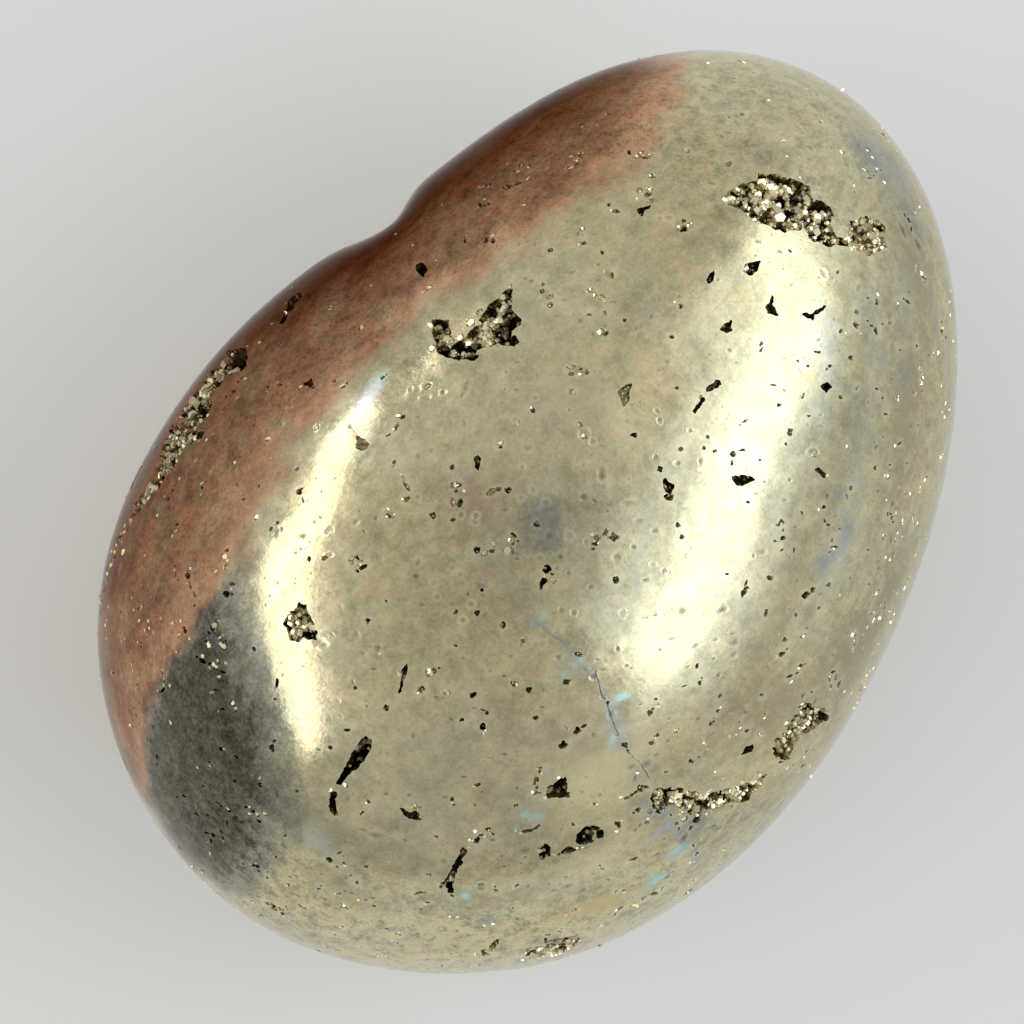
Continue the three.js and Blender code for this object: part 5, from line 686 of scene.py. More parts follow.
# broad soft tints
PATCHES = [
    # the slate patches at 540, 520 are a painted dark reflection; slate elsewhere is a grey tint
    (540, 520, 28, 26, 0, "slate", .62), (548, 540, 18, 18, 0, "slate", .35), (520, 548, 16, 12, 0, "slate", .25), (474, 500, 34, 28, 0, "pink", .42),
    (500, 572, 34, 16, 0, "pink", .30), (520, 590, 16, 14, 30, "slate", .22),
    (870, 330, 18, 60, 8, "ice", .30), (858, 420, 16, 50, 0, "ice", .26), (850, 500, 20, 60, 0, "ice", .26), (830, 560, 20, 36, 20, "ice", .24),
    (885, 160, 26, 44, -30, "ice", .42), (865, 150, 14, 22, 0, "slate", .25), (862, 118, 20, 16, 30, "light", .30), (911, 220, 9, 15, 0, "slate", .70),
    (936, 310, 5, 30, 0, "ice", .3), (825, 340, 14, 50, 4, "ice", .38), (822, 410, 12, 36, 0, "ice", .26), (905, 300, 12, 40, 8, "ice", .22),
    (690, 824, 30, 22, 20, "slate", .50), (662, 812, 14, 10, 0, "slate", .40), (641, 801, 8, 8, 0, "slate", .25), (700, 868, 20, 16, 0, "slate", .28),
    (725, 836, 24, 16, -30, "slate", .25), (655, 884, 16, 8, -20, "blue", .30), (612, 716, 12, 22, -15, "ice", .40), (620, 740, 10, 10, 0, "ice", .40),
    (578, 668, 22, 12, 20, "ice", .26), (530, 816, 18, 11, 0, "ice", .32), (315, 838, 20, 14, 20, "frost", .40), (575, 720, 40, 30, 0, "pink", .12),
    (500, 700, 36, 26, 0, "pink", .18), (380, 560, 20, 60, 0, "pink", .12), (700, 250, 24, 60, 10, "yellow", .20), (680, 340, 22, 40, 0, "yellow", .18),
    (743, 294, 12, 15, 0, "yellow", .40), (726, 330, 13, 20, 10, "yellow", .35), (748, 322, 6, 18, 10, "brown", .22), (690, 300, 10, 30, 10, "yellow", .15),
    (640, 560, 10, 60, 10, "ice", .22), (845, 690, 24, 40, 30, "pink", .14), (440, 300, 20, 14, -45, "yellow", .15),
    (600, 225, 70, 44, -30, "yellow", .14), (490, 270, 46, 26, -40, "yellow", .14), (690, 120, 44, 34, 0, "yellow", .12),
    (570, 398, 54, 46, 0, "light", .55), (505, 452, 46, 26, 0, "light", .30), (650, 640, 40, 30, -30, "light", .25), (455, 385, 30, 24, 0, "light", .25),
    # the tan patches darken broad parts of the flanks: painted shade, partly the stone's own tan
    (340, 882, 58, 26, 22, "tan", .50), (470, 900, 84, 18, -4, "tan", .35), (884, 602, 24, 58, 15, "tan", .80), (848, 655, 30, 54, 28, "tan", .65),
    (775, 790, 34, 22, -35, "tan", .30), (718, 838, 30, 16, -30, "tan", .25), (905, 235, 14, 26, 0, "slate", .22), (560, 560, 40, 30, 0, "tan", .15),
    (530, 690, 18, 22, 0, "brown", .28), (510, 676, 12, 8, 0, "orange", .22), (535, 706, 9, 7, 0, "orange", .25), (470, 725, 20, 12, 0, "greyviolet", .25),
    (560, 740, 60, 10, 6, "tan", .22), (440, 690, 40, 20, 0, "light", .18), (420, 760, 60, 26, 0, "light", .20), (350, 850, 30, 12, 10, "tan", .2),
    (590, 775, 70, 46, 0, "light", .55), (600, 858, 46, 24, 0, "light", .30), (775, 705, 44, 60, 25, "tan", .62), (492, 542, 34, 34, 0, "tan", .40),
    (905, 430, 26, 130, 0, "tan", .66), (730, 868, 30, 24, -35, "tan", .35), (918, 275, 20, 66, 0, "tan", .62), (890, 165, 26, 50, -30, "tan", .50),
    # the mark strokes here are a painted shadow edge along the lower side of the warm brown area
    (245, 566, 12, 3, 130, "mark", .45), (226, 588, 18, 3, 132, "mark", .55), (202, 614, 18, 3, 133, "mark", .50), (178, 644, 18, 3, 128, "mark", .50),
    (160, 676, 18, 3, 118, "mark", .50), (214, 640, 10, 18, 0, "frost", .38), (206, 634, 8, 12, 0, "frost", .30), (238, 690, 10, 44, 0, "blue", .22), (256, 640, 12, 50, -10, "slate", .42),
    # the gleam patches and the cyan one beside them are a painted highlight at the top of the left light's reflection
    (371, 392, 7, 20, 28, "gleam", .95), (364, 404, 6, 9, 30, "gleam", .6), (378, 378, 5, 8, 30, "cyan", .45), (356, 436, 4, 9, -25, "brown", .85),
    # the red patches near the left outline are a painted reflection of reddish surroundings
    (363, 446, 6, 4, 20, "brown", .7), (118, 560, 8, 40, 16, "red", .20), (114, 650, 11, 62, 3, "red", .42), (124, 725, 8, 36, -18, "red", .40),
    (172, 448, 14, 5, 118, "red", .35), (150, 503, 16, 5, 118, "red", .40), (134, 560, 24, 6, 110, "red", .35), (150, 610, 14, 30, 10, "red", .22),
    (143, 650, 10, 24, 5, "red", .26), (262, 330, 26, 6, 128, "red", .30), (322, 300, 34, 7, 140, "red", .22), (240, 420, 30, 5, 125, "brown", .20),
    (205, 470, 34, 6, 118, "brown", .22), (180, 530, 30, 7, 112, "brown", .20), (298, 368, 30, 6, 128, "brown", .18), (225, 470, 40, 4, 120, "red", .18),
    (168, 560, 26, 5, 105, "red", .22), (415, 250, 34, 6, 145, "brown", .20), (560, 155, 40, 8, 148, "brown", .2),
]
# thin pale lines and short dark ones in the grey corner near the blunt end
PALE_LINES = [
    [(652, 796), (660, 806), (668, 818), (670, 828)], [(668, 826), (678, 836), (686, 846), (692, 858), (697, 866)],
    [(668, 826), (658, 832), (650, 842)], [(684, 846), (676, 856), (668, 862)], [(640, 802), (648, 812), (646, 824)],
    [(655, 800), (668, 798), (680, 804)], [(692, 858), (700, 852)],
]
BLUE_LINES = [
    [(594, 664), (598, 683), (603, 698), (610, 712), (616, 730), (619, 741)], [(619, 741), (628, 752), (636, 764), (640, 778)],
    [(572, 652), (580, 664), (592, 676)], [(538, 622), (548, 632), (560, 640), (572, 652)],
]

cuts = []
dimples = []      # (place, long axis, short axis, kind, strength): smooth and polished
stains = []       # (place, long axis, short axis, kind, strength)
grains = []       # (direction, half length mm, half width mm, turn, brightness, in view)
jobs = []


def later(xy, make):
    jobs.append((np.asarray(xy, float), make))


def pit_depth(a, b, dark):
    narrow = min(a, b) / UNITS_PER_MM
    return min(0.75, 0.05 + dark * (0.10 + 1.1 * narrow))


def sides_for(a, b):
    return int(np.clip(5 + 0.8 * (a + b), 7, 18))


def cut_maker(depth, wall, dark, rough=0.3, kind="pit", step=None, fill=None):
    def make(dirs):
        c = Cut(dirs, depth, wall, dark, rough, kind, step)
        if kind == "pit":
            world = c.poly[:, :1] * c.a + c.poly[:, 1:] * c.b
            e, k = squeeze(c.centre, c.normal, lambda d: np.std(world @ d), lambda d: np.std(world @ d))
            if k < 0.999:
                ex, ey = e @ c.a, e @ c.b
                mid = c.poly.mean(0)
                far = (c.poly - mid) @ np.array([ex, ey])
                c.poly = c.poly + np.outer((k - 1) * far, [ex, ey])
                c.size = np.linalg.norm(c.poly, axis=1).max()
        if fill:
            c.fill = fill
        cuts.append(c)
    return make


def axes_of(dirs):
    """A place on the skin and its two half axes, shortened down the flank where needed."""
    p = on_skin(dirs)
    ea, eb = p[1] - p[0], p[2] - p[0]
    seen = to_view(p)
    for e, q in ((ea, seen[1]), (eb, seen[2])):
        e *= min(1.0, 1.8 * np.linalg.norm(q - seen[0]) / UNITS_PER_MM / max(np.linalg.norm(e), 1e-9))
    n = skin_normal(p[:1])[0]
    e, k = squeeze(p[0], n, lambda d: math.hypot(ea @ d, eb @ d), lambda d: math.hypot(ea @ d, eb @ d))
    if k < 0.999:
        ea = ea + (k - 1) * (ea @ e) * e
        eb = eb + (k - 1) * (eb @ e) * e
    return p[0], ea, eb


def dimple_maker(kind, strong):
    return lambda dirs: dimples.append((*axes_of(dirs), kind, strong))


def stain_maker(kind, strong):
    return lambda dirs: stains.append((*axes_of(dirs), kind, strong))


def grain_maker(a, b, turn, bright):
    return lambda dirs: grains.append((dirs[0], a / UNITS_PER_MM, b / UNITS_PER_MM, turn, bright, True))


for x, y, a, b, turn, dark in PITS:
    a, b = max(0.9 * a, 1.1), max(0.9 * b, 0.9)
    if dark <= 0.25:
        later(cross(x, y, max(a, 1.5), max(b, 1.3), turn), dimple_maker("soft", 0.8))
        # a shallow pit's dark centre is a painted shade mark
        later(cross(x, y, max(a, 1.5), max(b, 1.3), turn), stain_maker("mark", 0.5))
        continue
    wall = float(np.clip(0.42 * min(a, b) / UNITS_PER_MM, 0.02, 0.09))
    later(blob(x, y, a, b, turn, sides_for(a, b), 1.5), cut_maker(pit_depth(a, b, dark), wall, 0.22 + 0.64 * dark))
for x, y, a, b, turn in FAINT:
    later(cross(x, y, max(a, 1.4), max(b, 1.2), turn), dimple_maker("soft", 0.6))
for x, y, a, b, turn, strong in RINGS:
    later(cross(x, y, a, b, turn), dimple_maker("ring", strong))
for deep, outline in OUTLINED:
    later(outline, cut_maker(0.7 * deep, 0.06, min(0.96, 0.34 + 0.62 * deep), 0.3, "outlined", 0.12))
# cavity floors are darkened, near black where few crystals lie: painted shade
for k, (deep, outline) in enumerate(CAVITIES):
    later(outline, cut_maker(deep, 0.12, 0.55 if FILL[k][0] > 0.4 else 0.97, 0.35, "cavity", 0.15, FILL[k]))
for x, y, a, b, turn, dark in GAPS + MORE_GAPS:
    later(blob(x, y, a, b, turn, sides_for(a, b)), cut_maker(1.5, 0.06, 1.0, 0.15, "gap"))
for line in HAIRS + [EDGE_CRACK]:
    pts = np.array(line, float)
    fine = [pts[0]]
    for p, q in zip(pts[:-1], pts[1:]):
        n = max(1, int(np.linalg.norm(q - p) / 3.5))
        for i in range(1, n + 1):
            fine.append(p + (q - p) * i / n + rng.normal(0, 0.5, 2))
    fine = np.array(fine)
    run = np.gradient(fine, axis=0)
    run /= np.maximum(np.linalg.norm(run, axis=1, keepdims=True), 1e-9)
    side = np.stack([-run[:, 1], run[:, 0]], 1)
    deep = line is EDGE_CRACK
    half = rng.uniform(0.3, 0.7, (len(fine), 1)) * (2.6 if deep else 1.0)
    half[0] = half[-1] = 0.1
    later(np.vstack([fine + side * half, (fine - side * half)[::-1]]), cut_maker(0.16, 0.03, 0.7) if deep else cut_maker(0.05, 0.02, 0.22))
for x, y, a, b, turn, bright in GRAINS + EDGE_GRAINS + [(231, 393, 8, 3.5, -45, 1.0)]:
    later([(x, y)], grain_maker(max(a, 1.2), max(b, 1.1), turn, bright))
for x, y, a, b, turn, kind, strong in STAINS + PATCHES:
    k = 0.75 if kind in ("cyan", "violet", "teal") else 1.0
    if kind in ("yellow", "orange") and y > 870:
        strong *= 0.55
    later(cross(x, y, k * a, k * b, turn), stain_maker(kind, strong))
for lines, kind, wide, strong in ((PALE_LINES, "ice", 1.9, 0.95), (BLUE_LINES, "blue", 2.5, 0.85)):
    for line in lines:
        for (x0, y0), (x1, y1) in zip(line[:-1], line[1:]):
            far = math.hypot(x1 - x0, y1 - y0)
            later(cross((x0 + x1) / 2, (y0 + y1) / 2, 0.62 * far, wide * rng.uniform(0.7, 1.2),
                        math.degrees(math.atan2(y1 - y0, x1 - x0))), stain_maker(kind, strong * rng.uniform(0.6, 1.1)))

seen_dirs = from_view(np.vstack([xy for xy, _ in jobs]))
at = 0
for xy, make in jobs:
    make(seen_dirs[at:at + len(xy)])
    at += len(xy)

# ---- the sides that the view doesn't show get pits, scars and cavities of the same kinds ----
HIDDEN = [
    (196, -34, 4.6, 2.4, 20, 1.1), (203, -40, 2.4, 1.6, 70, 0.9), (322, -30, 5.4, 1.9, -15, 1.2),
    (332, -26, 2.6, 1.5, 40, 0.8), (84, -38, 3.2, 2.2, 60, 1.0), (18, -44, 4.4, 2.0, 100, 1.1),
    (152, -18, 3.0, 1.4, 30, 0.8), (262, -52, 4.2, 2.6, 0, 1.2), (236, -16, 2.8, 1.3, 50, 0.8),
    (292, -10, 2.2, 1.6, 10, 0.7), (110, -60, 2.6, 1.8, 45, 0.9), (50, -14, 3.6, 1.2, 15, 0.8),
    (350, -8, 2.4, 1.4, 80, 0.7), (176, -66, 2.0, 1.5, 25, 0.8),
]
for i, (phi, psi, length, width, tilt, deep) in enumerate(HIDDEN):
    phi, psi, tilt = math.radians(phi), math.radians(psi), math.radians(tilt)
    n = unit(np.array([math.cos(phi), math.sin(phi), math.tan(psi)]))
    a = unit(np.cross([0.0, 0.0, 1.0], n))
    b = np.cross(n, a)
    r = skin_radius(n[None])[0]
    t = np.arange(11) / 11 * 2 * math.pi
    seed = 1.7 * i + 0.4
    rough = 1 + 0.2 * np.sin(3 * t + seed) + 0.14 * np.sin(5 * t + 2.3 * seed)
    u, v = length / 2 * np.cos(t) * rough, width / 2 * np.sin(t) * rough
    c, s = math.cos(tilt), math.sin(tilt)
    dirs = unit(n + np.outer((u * c - v * s) / r, a) + np.outer((u * s + v * c) / r, b))
    cuts.append(Cut(dirs, deep, 0.12, 0.55, 0.35, "cavity", 0.16))


def lattice(count):
    i = np.arange(count)
    z = 1 - (2 * i + 1) / count
    t = i * math.pi * (3 - math.sqrt(5))
    r = np.sqrt(1 - z * z)
    p = np.stack([30.0 * r * np.cos(t), 21.5 * r * np.sin(t), 21.15 * z], 1)
    return unit(p - np.array([2.5, 0.0, 0.0]))


probe = lattice(12000)
probe_p = on_skin(probe)
probe_n = skin_normal(probe_p)
shown = (probe_n * unit(EYE - probe_p)).sum(1) > 0.10
resting = probe_p[:, 2] < 0.55
unseen = np.flatnonzero(~shown & ~resting)
share = len(unseen) / max(1, shown.sum())


def local_pit(d, a, b, turn, dark, kind="pit", depth=None, wall=None, sides=None):
    """A rough pit about a direction, sizes in mm."""
    p = on_skin(d[None])
    n = skin_normal(p)[0]
    ta, tb = tangents(n)
    xy = blob(0, 0, a, b, turn, sides or sides_for(a * UNITS_PER_MM, b * UNITS_PER_MM), 1.0 if kind == "dip" else 1.5)
    dirs = unit(p[0] + xy[:, :1] * ta + xy[:, 1:] * tb - GIRTH)
    if depth is None:
        depth = pit_depth(a * UNITS_PER_MM, b * UNITS_PER_MM, dark)
    if wall is None:
        wall = float(np.clip(0.42 * min(a, b), 0.02, 0.09))
    return Cut(dirs, depth, wall, max(0.08, 0.22 + 0.64 * dark), 0.3, kind)


def beside(d, far):
    a, b = tangents(d)
    t = rng.uniform(0, 6.28)
    return unit(d + (a * math.cos(t) + b * math.sin(t)) * far / 21.0)


def hidden_place():
    return beside(probe[unseen[rng.integers(len(unseen))]], rng.uniform(0, 0.3))


def hidden_cross(a, b):
    d = hidden_place()
    p = on_skin(d[None])[0]
    ta, tb = tangents(skin_normal(p[None])[0])
    t = rng.uniform(0, 6.28)
    return p, a * (ta * math.cos(t) + tb * math.sin(t)), b * (-ta * math.sin(t) + tb * math.cos(t))


last = None
for _ in range(int(0.85 * share * len(PITS))):
    x, y, a, b, turn, dark = PITS[rng.integers(len(PITS))]
    d = None
    if last is not None and rng.uniform() < 0.4:
        d = beside(last, rng.uniform(0.4, 1.7))
        if on_skin(d[None])[0, 2] < 0.6:
            d = None
    if d is None:
        d = hidden_place()
    last = d
    a, b = max(0.95 * a, 1.3) / UNITS_PER_MM, max(0.95 * b, 1.1) / UNITS_PER_MM
    if dark <= 0.25:
        dimples.append((*hidden_cross(a, b), "soft", 0.8))
        # a shallow pit's dark centre is a painted shade mark
        stains.append((dimples[-1][0], dimples[-1][1], dimples[-1][2], "mark", 0.5))
        continue
    cuts.append(local_pit(d, a, b, rng.uniform(0, 360), dark,
                          sides=int(np.clip(5 + 0.6 * (a + b) * UNITS_PER_MM, 6, 14))))
for _ in range(int(0.8 * share * len(FAINT))):
    a, b = rng.uniform(0.09, 0.2, 2)
    dimples.append((*hidden_cross(a, b), "soft", 0.6))
for _ in range(int(0.7 * share * len(RINGS))):
    a = rng.uniform(0.18, 0.38)
    dimples.append((*hidden_cross(a, a * rng.uniform(0.7, 1.0)), "ring", rng.uniform(0.3, 1.0)))
for _ in range(int(0.35 * share * len(GRAINS))):
    d = hidden_place()
    x, y, a, b, turn, bright = GRAINS[rng.integers(len(GRAINS))]
    grains.append((d, max(a, 1.2) / UNITS_PER_MM, max(b, 1.1) / UNITS_PER_MM, turn, bright, False))
hidden_kinds = ["blue", "cyan", "violet", "brown", "orange", "yellow", "green", "rust", "pale", "grey"]
for _ in range(int(share * 90)):
    big = math.exp(rng.uniform(math.log(0.18), math.log(1.8)))
    stains.append((*hidden_cross(big, big * rng.uniform(0.35, 1.0)),
                   hidden_kinds[rng.integers(len(hidden_kinds))], rng.uniform(0.15, 0.6)))

# ---- which bright faces stand alone: each larger one of those sits in a small dip of its own ----
hollows = [c for c in cuts if c.kind in ("cavity", "outlined")]


def in_hollow(d):
    for c in hollows:
        if d @ c.toward > math.cos(c.size / 15.0):
            if c.inside(c.local(d[None]))[0] > -0.05:
                return c
    return None


lone, lining = [], []
for g in grains:
    c = in_hollow(g[0])
    if c is None:
        d, a, b, turn, bright, seen = g
        if min(a, b) > 0.13:
            # the dip is set off to one side, towards the lower right of the view where seen, and darkened: a painted
            # shadow beside the crystal
            shift = beside(d, 0.45 * min(a, b))
            if seen:
                shadow_side = (RIGHT - UPWARD) / math.sqrt(2)
                shift = unit(d + (shadow_side * 0.36 + unit(rng.normal(size=3)) * 0.15) * min(a, b) / 21.0)
            cuts.append(local_pit(shift, 0.98 * a + 0.01, 0.98 * b + 0.01, turn, rng.uniform(-0.2, 0.35),
                                  "dip", depth=0.03 + 0.3 * min(a, b), wall=0.03))
            lone.append((g, True))
        else:
            lone.append((g, False))
    else:
        lining.append((g, c))

# ---- points of the skin mesh ----
points, edges = [], []
total = 0


def add_points(d):
    global total
    start = total
    points.append(d)
    total += len(d)
    return start


def add_loop(d):
    start = add_points(d)
    n = len(d)
    edges.extend((start + i, start + (i + 1) % n) for i in range(n))


ring_phi = np.arange(150) / 150 * 2 * math.pi
low, high = np.full(150, -1.45), np.full(150, -0.8)
for _ in range(40):
    mid = (low + high) / 2
    d = np.stack([np.cos(mid) * np.cos(ring_phi), np.cos(mid) * np.sin(ring_phi), np.sin(mid)], 1)
    z = on_skin(d)[:, 2]
    low, high = np.where(z < 0, mid, low), np.where(z >= 0, mid, high)
mid = (low + high) / 2
ring = np.stack([np.cos(mid) * np.cos(ring_phi), np.cos(mid) * np.sin(ring_phi), np.sin(mid)], 1)
add_loop(ring)

for c in cuts:
    if c.kind in ("cavity", "outlined"):
        step = c.step
        c.poly = walk(c.poly, step, 0.32 * step)
        mid_poly = c.poly.mean(0)
        turn_at = np.arctan2(c.poly[:, 1] - mid_poly[1], c.poly[:, 0] - mid_poly[0])
        uneven = sum(w * np.cos(k * turn_at + rng.uniform(0, 6.28)) for k, w in ((4, 0.03), (6, 0.03), (9, 0.025)))
        c.poly = mid_poly + (c.poly - mid_poly) * (1 + uneven)[:, None]
        add_loop(c.world(c.poly))
        p = c.poly
        side = np.roll(p, -1, 0) - np.roll(p, 1, 0)
        inward = np.stack([-side[:, 1], side[:, 0]], 1)
        inward /= np.maximum(np.linalg.norm(inward, axis=1, keepdims=True), 1e-9)
        inner = p + inward * c.wall
        inner = inner[c.inside(inner) > 0.8 * c.wall]
        if len(inner):
            add_points(c.world(inner))
        outer = p - inward * 0.07
        outer = outer[c.inside(outer) < -0.05]
        if len(outer):
            add_points(c.world(outer[::2]))
        lo, hi = p.min(0), p.max(0)
        gx, gy = np.meshgrid(np.arange(lo[0], hi[0] + step, step), np.arange(lo[1], hi[1] + step, step * 0.87))
        gx = gx + (np.arange(gx.shape[0]) % 2)[:, None] * step / 2
        cand = np.stack([gx.ravel(), gy.ravel()], 1)
        cand = cand + rng.uniform(-0.3, 0.3, cand.shape) * step
        cand = cand[c.inside(cand) > c.wall + 0.25 * step]
        if len(cand):
            add_points(c.world(cand))
    else:
        add_loop(c.world(c.poly))
        centre = c.poly.mean(0)
        gap = np.abs(c.inside(centre[None]))[0]
        k = 1 - min(0.75, 1.15 * c.wall / max(gap, 1e-6))
        if gap < 1.3 * c.wall:
            k = 0.35
        if len(c.poly) <= 20:
            add_points(c.world(centre + (c.poly - centre) * k))
            if gap > 0.14:
                add_points(c.world(centre + (c.poly[::2] - centre) * 0.5 * k + rng.normal(0, 0.01, (len(c.poly[::2]), 2))))
            add_points(c.world(centre[None]))
        else:
            half = len(c.poly) // 2
            spine = (c.poly[:half] + c.poly[::-1][:half]) / 2
            add_points(c.world(spine[1:-1] if half > 3 else spine))


def rounds(p, ea, eb, steps, middle=True):
    out = [p[None]] if middle else []
    for k, n in steps:
        t = np.arange(n) / n * 2 * math.pi + k
        out.append(p + k * (np.cos(t)[:, None] * ea + np.sin(t)[:, None] * eb))
    return unit(np.vstack(out) - GIRTH)


for p, ea, eb, kind, strong in dimples:
    if kind == "ring":
        add_points(rounds(p, ea, eb, ((0.55, 7), (0.85, 12), (1.05, 12), (1.3, 12), (1.7, 10))))
    else:
        add_points(rounds(p, ea, eb, ((0.6, 6), (1.1, 9), (1.7, 9))))
for p, ea, eb, kind, strong in stains:
    size = np.linalg.norm(ea)
    if kind == "mark":
        continue
    if size < 0.45:
        add_points(rounds(p, ea, eb, ((0.7, 6), (1.25, 8))))
    elif size < 2.0:
        add_points(rounds(p, ea, eb, ((0.5, 6), (0.9, 9), (1.3, 10))))

marked = np.vstack(points)
marked_p = on_skin(marked)
back = lattice(19000)
back = back[on_skin(back)[:, 2] > 0.12]
back_p = on_skin(back)
tree = KDTree(len(marked_p))
for i, p in enumerate(marked_p.tolist()):
    tree.insert(p, i)
tree.balance()
clear = np.array([tree.find(p)[2] > 0.2 for p in back_p.tolist()])
for c in hollows:
    near = np.linalg.norm(back_p - c.centre, axis=1) < c.size * 1.2 + 0.3
    idx = np.flatnonzero(near & clear)
    if len(idx):
        clear[idx] = c.inside(c.local(back[idx])) < 0.0
add_points(back[clear])
chart = to_chart(np.vstack(points))

flat_verts, _, flat_faces, *_ = delaunay_2d_cdt([Vector(q) for q in chart.tolist()], edges, [], 0, 1e-8, False)
q = np.array([v[:] for v in flat_verts], float)
tris = np.array([f for f in flat_faces if len(f) == 3], int)
dirs = from_chart(q)
skin_p = on_skin(dirs)
skin_n = skin_normal(skin_p)
count = len(q)
print("skin points", count, "faces", len(tris), "cuts", len(cuts), "marked", len(marked))

# ---- how deep and how dark each point is; the darkness is dark grime and painted shade ----
jitter = rng.uniform(-1, 1, count)
rough_k = unit(rng.normal(size=(8, 3))) * (2 * math.pi / rng.uniform(0.5, 1.6, (8, 1)))
lumps = np.sin(skin_p @ rough_k.T + rng.uniform(0, 6.28, 8)).sum(1) / 4.0
depth = np.zeros(count)
dark = np.zeros(count)
painted_rim_light = np.zeros(count)
in_cavity = np.zeros(count, bool)
gapped = np.zeros(count, bool)
tree = KDTree(count)
for i, p in enumerate(skin_p.tolist()):
    tree.insert(p, i)
tree.balance()
order = {"cavity": 0, "outlined": 1, "pit": 2, "dip": 3, "gap": 4}
for c in sorted(cuts, key=lambda c: order[c.kind]):
    found = [i for _, i, _ in tree.find_range(c.centre.tolist(), c.size * 1.05 + 0.1)]
    if not found:
        continue
    idx = np.array(found)
    far = c.inside(c.local(dirs[idx]))
    # each cut gets a pale ring at its edge: a painted highlight
    if c.kind != "gap":
        edge = (far <= 1e-4) & (far > -0.05)
        painted_rim_light[idx[edge]] = np.maximum(painted_rim_light[idx[edge]], 0.18 + 0.24 * c.dark)
    idx, far = idx[far > 0], far[far > 0]
    if not len(idx):
        continue
    s = np.clip(far / c.wall, 0, 1)
    if c.kind == "cavity":
        dep = c.depth * s * (0.72 + 0.28 * lumps[idx] + 0.3 * jitter[idx] * (s > 0.9))
        dep = np.maximum(dep, 0.25 * c.depth * s)
        in_cavity[idx] = True
        gloom = c.dark * s * np.clip(0.85 + 0.3 * jitter[idx], 0, 1.2)
    elif c.kind == "gap":
        here = in_cavity[idx]
        dep = np.where(here, np.minimum(depth[idx] * (1 + 0.5 * s), 1.6), 0.4 * s)
        gloom = s
        gapped[idx[s > 0.5]] = True
    else:
        dep = c.depth * s * (1 + c.rough * jitter[idx] * (s > 0.95))
        gloom = c.dark * s
    depth[idx] = np.maximum(depth[idx], dep)
    dark[idx] = np.maximum(dark[idx], gloom)

# ---- polished dimples and ring scars bend the skin without breaking it, and paint a dark centre (painted shade) and a pale ring (painted highlight) into the colour ----
lift = np.zeros(count)
slope = np.zeros((count, 3))
for p, ea, eb, kind, strong in dimples:
    la, lb = np.linalg.norm(ea), np.linalg.norm(eb)
    found = [i for _, i, _ in tree.find_range(p.tolist(), 2.4 * max(la, lb))]
    if not found:
        continue
    idx = np.array(found)
    w = skin_p[idx] - p
    u, v = w @ ea / la ** 2, w @ eb / lb ** 2
    rho = np.sqrt(u * u + v * v) + 1e-9
    small = min(la, lb)
    if kind == "ring":
        amp = 0.07 * small * strong
        ridge = np.exp(-((rho - 1.05) / 0.24) ** 2)
        dip = np.exp(-(rho / 0.6) ** 2)
        f = amp * (ridge - 0.8 * dip)
        df = amp * (-2 * (rho - 1.05) / 0.24 ** 2 * ridge + 0.8 * 2 * rho / 0.6 ** 2 * dip)
        shade, light = (0.10 + 0.28 * strong) * dip, (0.18 + 0.45 * strong) * ridge
    else:
        amp = 0.10 * small * strong
        dip = np.exp(-1.3 * rho ** 2)
        ridge = np.exp(-((rho - 1.35) / 0.3) ** 2)
        f = amp * (0.25 * ridge - dip)
        df = amp * (-0.5 * (rho - 1.35) / 0.3 ** 2 * ridge + 2.6 * rho * dip)
        shade, light = 0.42 * dip, 0.22 * ridge
    lift[idx] += f
    slope[idx] += (df * u / rho)[:, None] * ea / la ** 2 + (df * v / rho)[:, None] * eb / lb ** 2
    dark[idx] = np.maximum(dark[idx], shade)
    painted_rim_light[idx] = np.maximum(painted_rim_light[idx], light)
bent_n = unit(skin_n - slope)
where = skin_p + skin_n * (lift - depth)[:, None]

# ---- stain colours, with those of the painted shade, highlight and reflection patches ----
KINDS = {
    "blue": (0.24, 0.30, 0.34), "cyan": (0.46, 0.84, 0.77), "teal": (0.12, 0.30, 0.30),
    "violet": (0.31, 0.28, 0.31), "greyviolet": (0.38, 0.34, 0.32), "brown": (0.31, 0.22, 0.13),
    "orange": (0.50, 0.32, 0.15), "rust": (0.32, 0.17, 0.09), "yellow": (0.60, 0.50, 0.25),
    "green": (0.33, 0.38, 0.22), "grey": (0.27, 0.28, 0.27), "pale": (0.68, 0.67, 0.56), "ice": (0.46, 0.56, 0.60),
    "mark": (0.24, 0.20, 0.13), "light": (0.70, 0.63, 0.40), "tan": (0.37, 0.328, 0.208), "frost": (0.58, 0.60, 0.50), "gleam": (0.84, 0.88, 0.86), "pink": (0.46, 0.34, 0.25), "slate": (0.22, 0.235, 0.225), "red": (0.42, 0.15, 0.10),
}
GAIN = {"cyan": 1.0, "teal": 0.8, "blue": 0.75, "violet": 0.6, "grey": 1.2, "ice": 1.0, "mark": 1.0, "pink": 1.0, "slate": 1.0,
        "red": 1.0, "light": 1.0, "tan": 1.0,
        "frost": 1.0, "gleam": 1.0}
tint = np.zeros((count, 3))
weight = np.zeros(count)
clear_part = np.ones(count)
for p, ea, eb, kind, strong in stains:
    la, lb = np.linalg.norm(ea), np.linalg.norm(eb)
    found = [i for _, i, _ in tree.find_range(p.tolist(), 1.7 * max(la, lb))]
    if not found:
        continue
    idx = np.array(found)
    w = skin_p[idx] - p
    e = (w @ ea / la ** 2) ** 2 + (w @ eb / lb ** 2) ** 2
    amount = strong * GAIN.get(kind, 0.8) * np.exp(-1.1 * e)
    tint[idx] += amount[:, None] * np.array(KINDS[kind])
    weight[idx] += amount
    clear_part[idx] *= 1 - np.clip(amount, 0, 0.98)
tint = np.where(weight[:, None] > 1e-4, tint / np.maximum(weight, 1e-4)[:, None], 0.3)
stain = 1 - clear_part
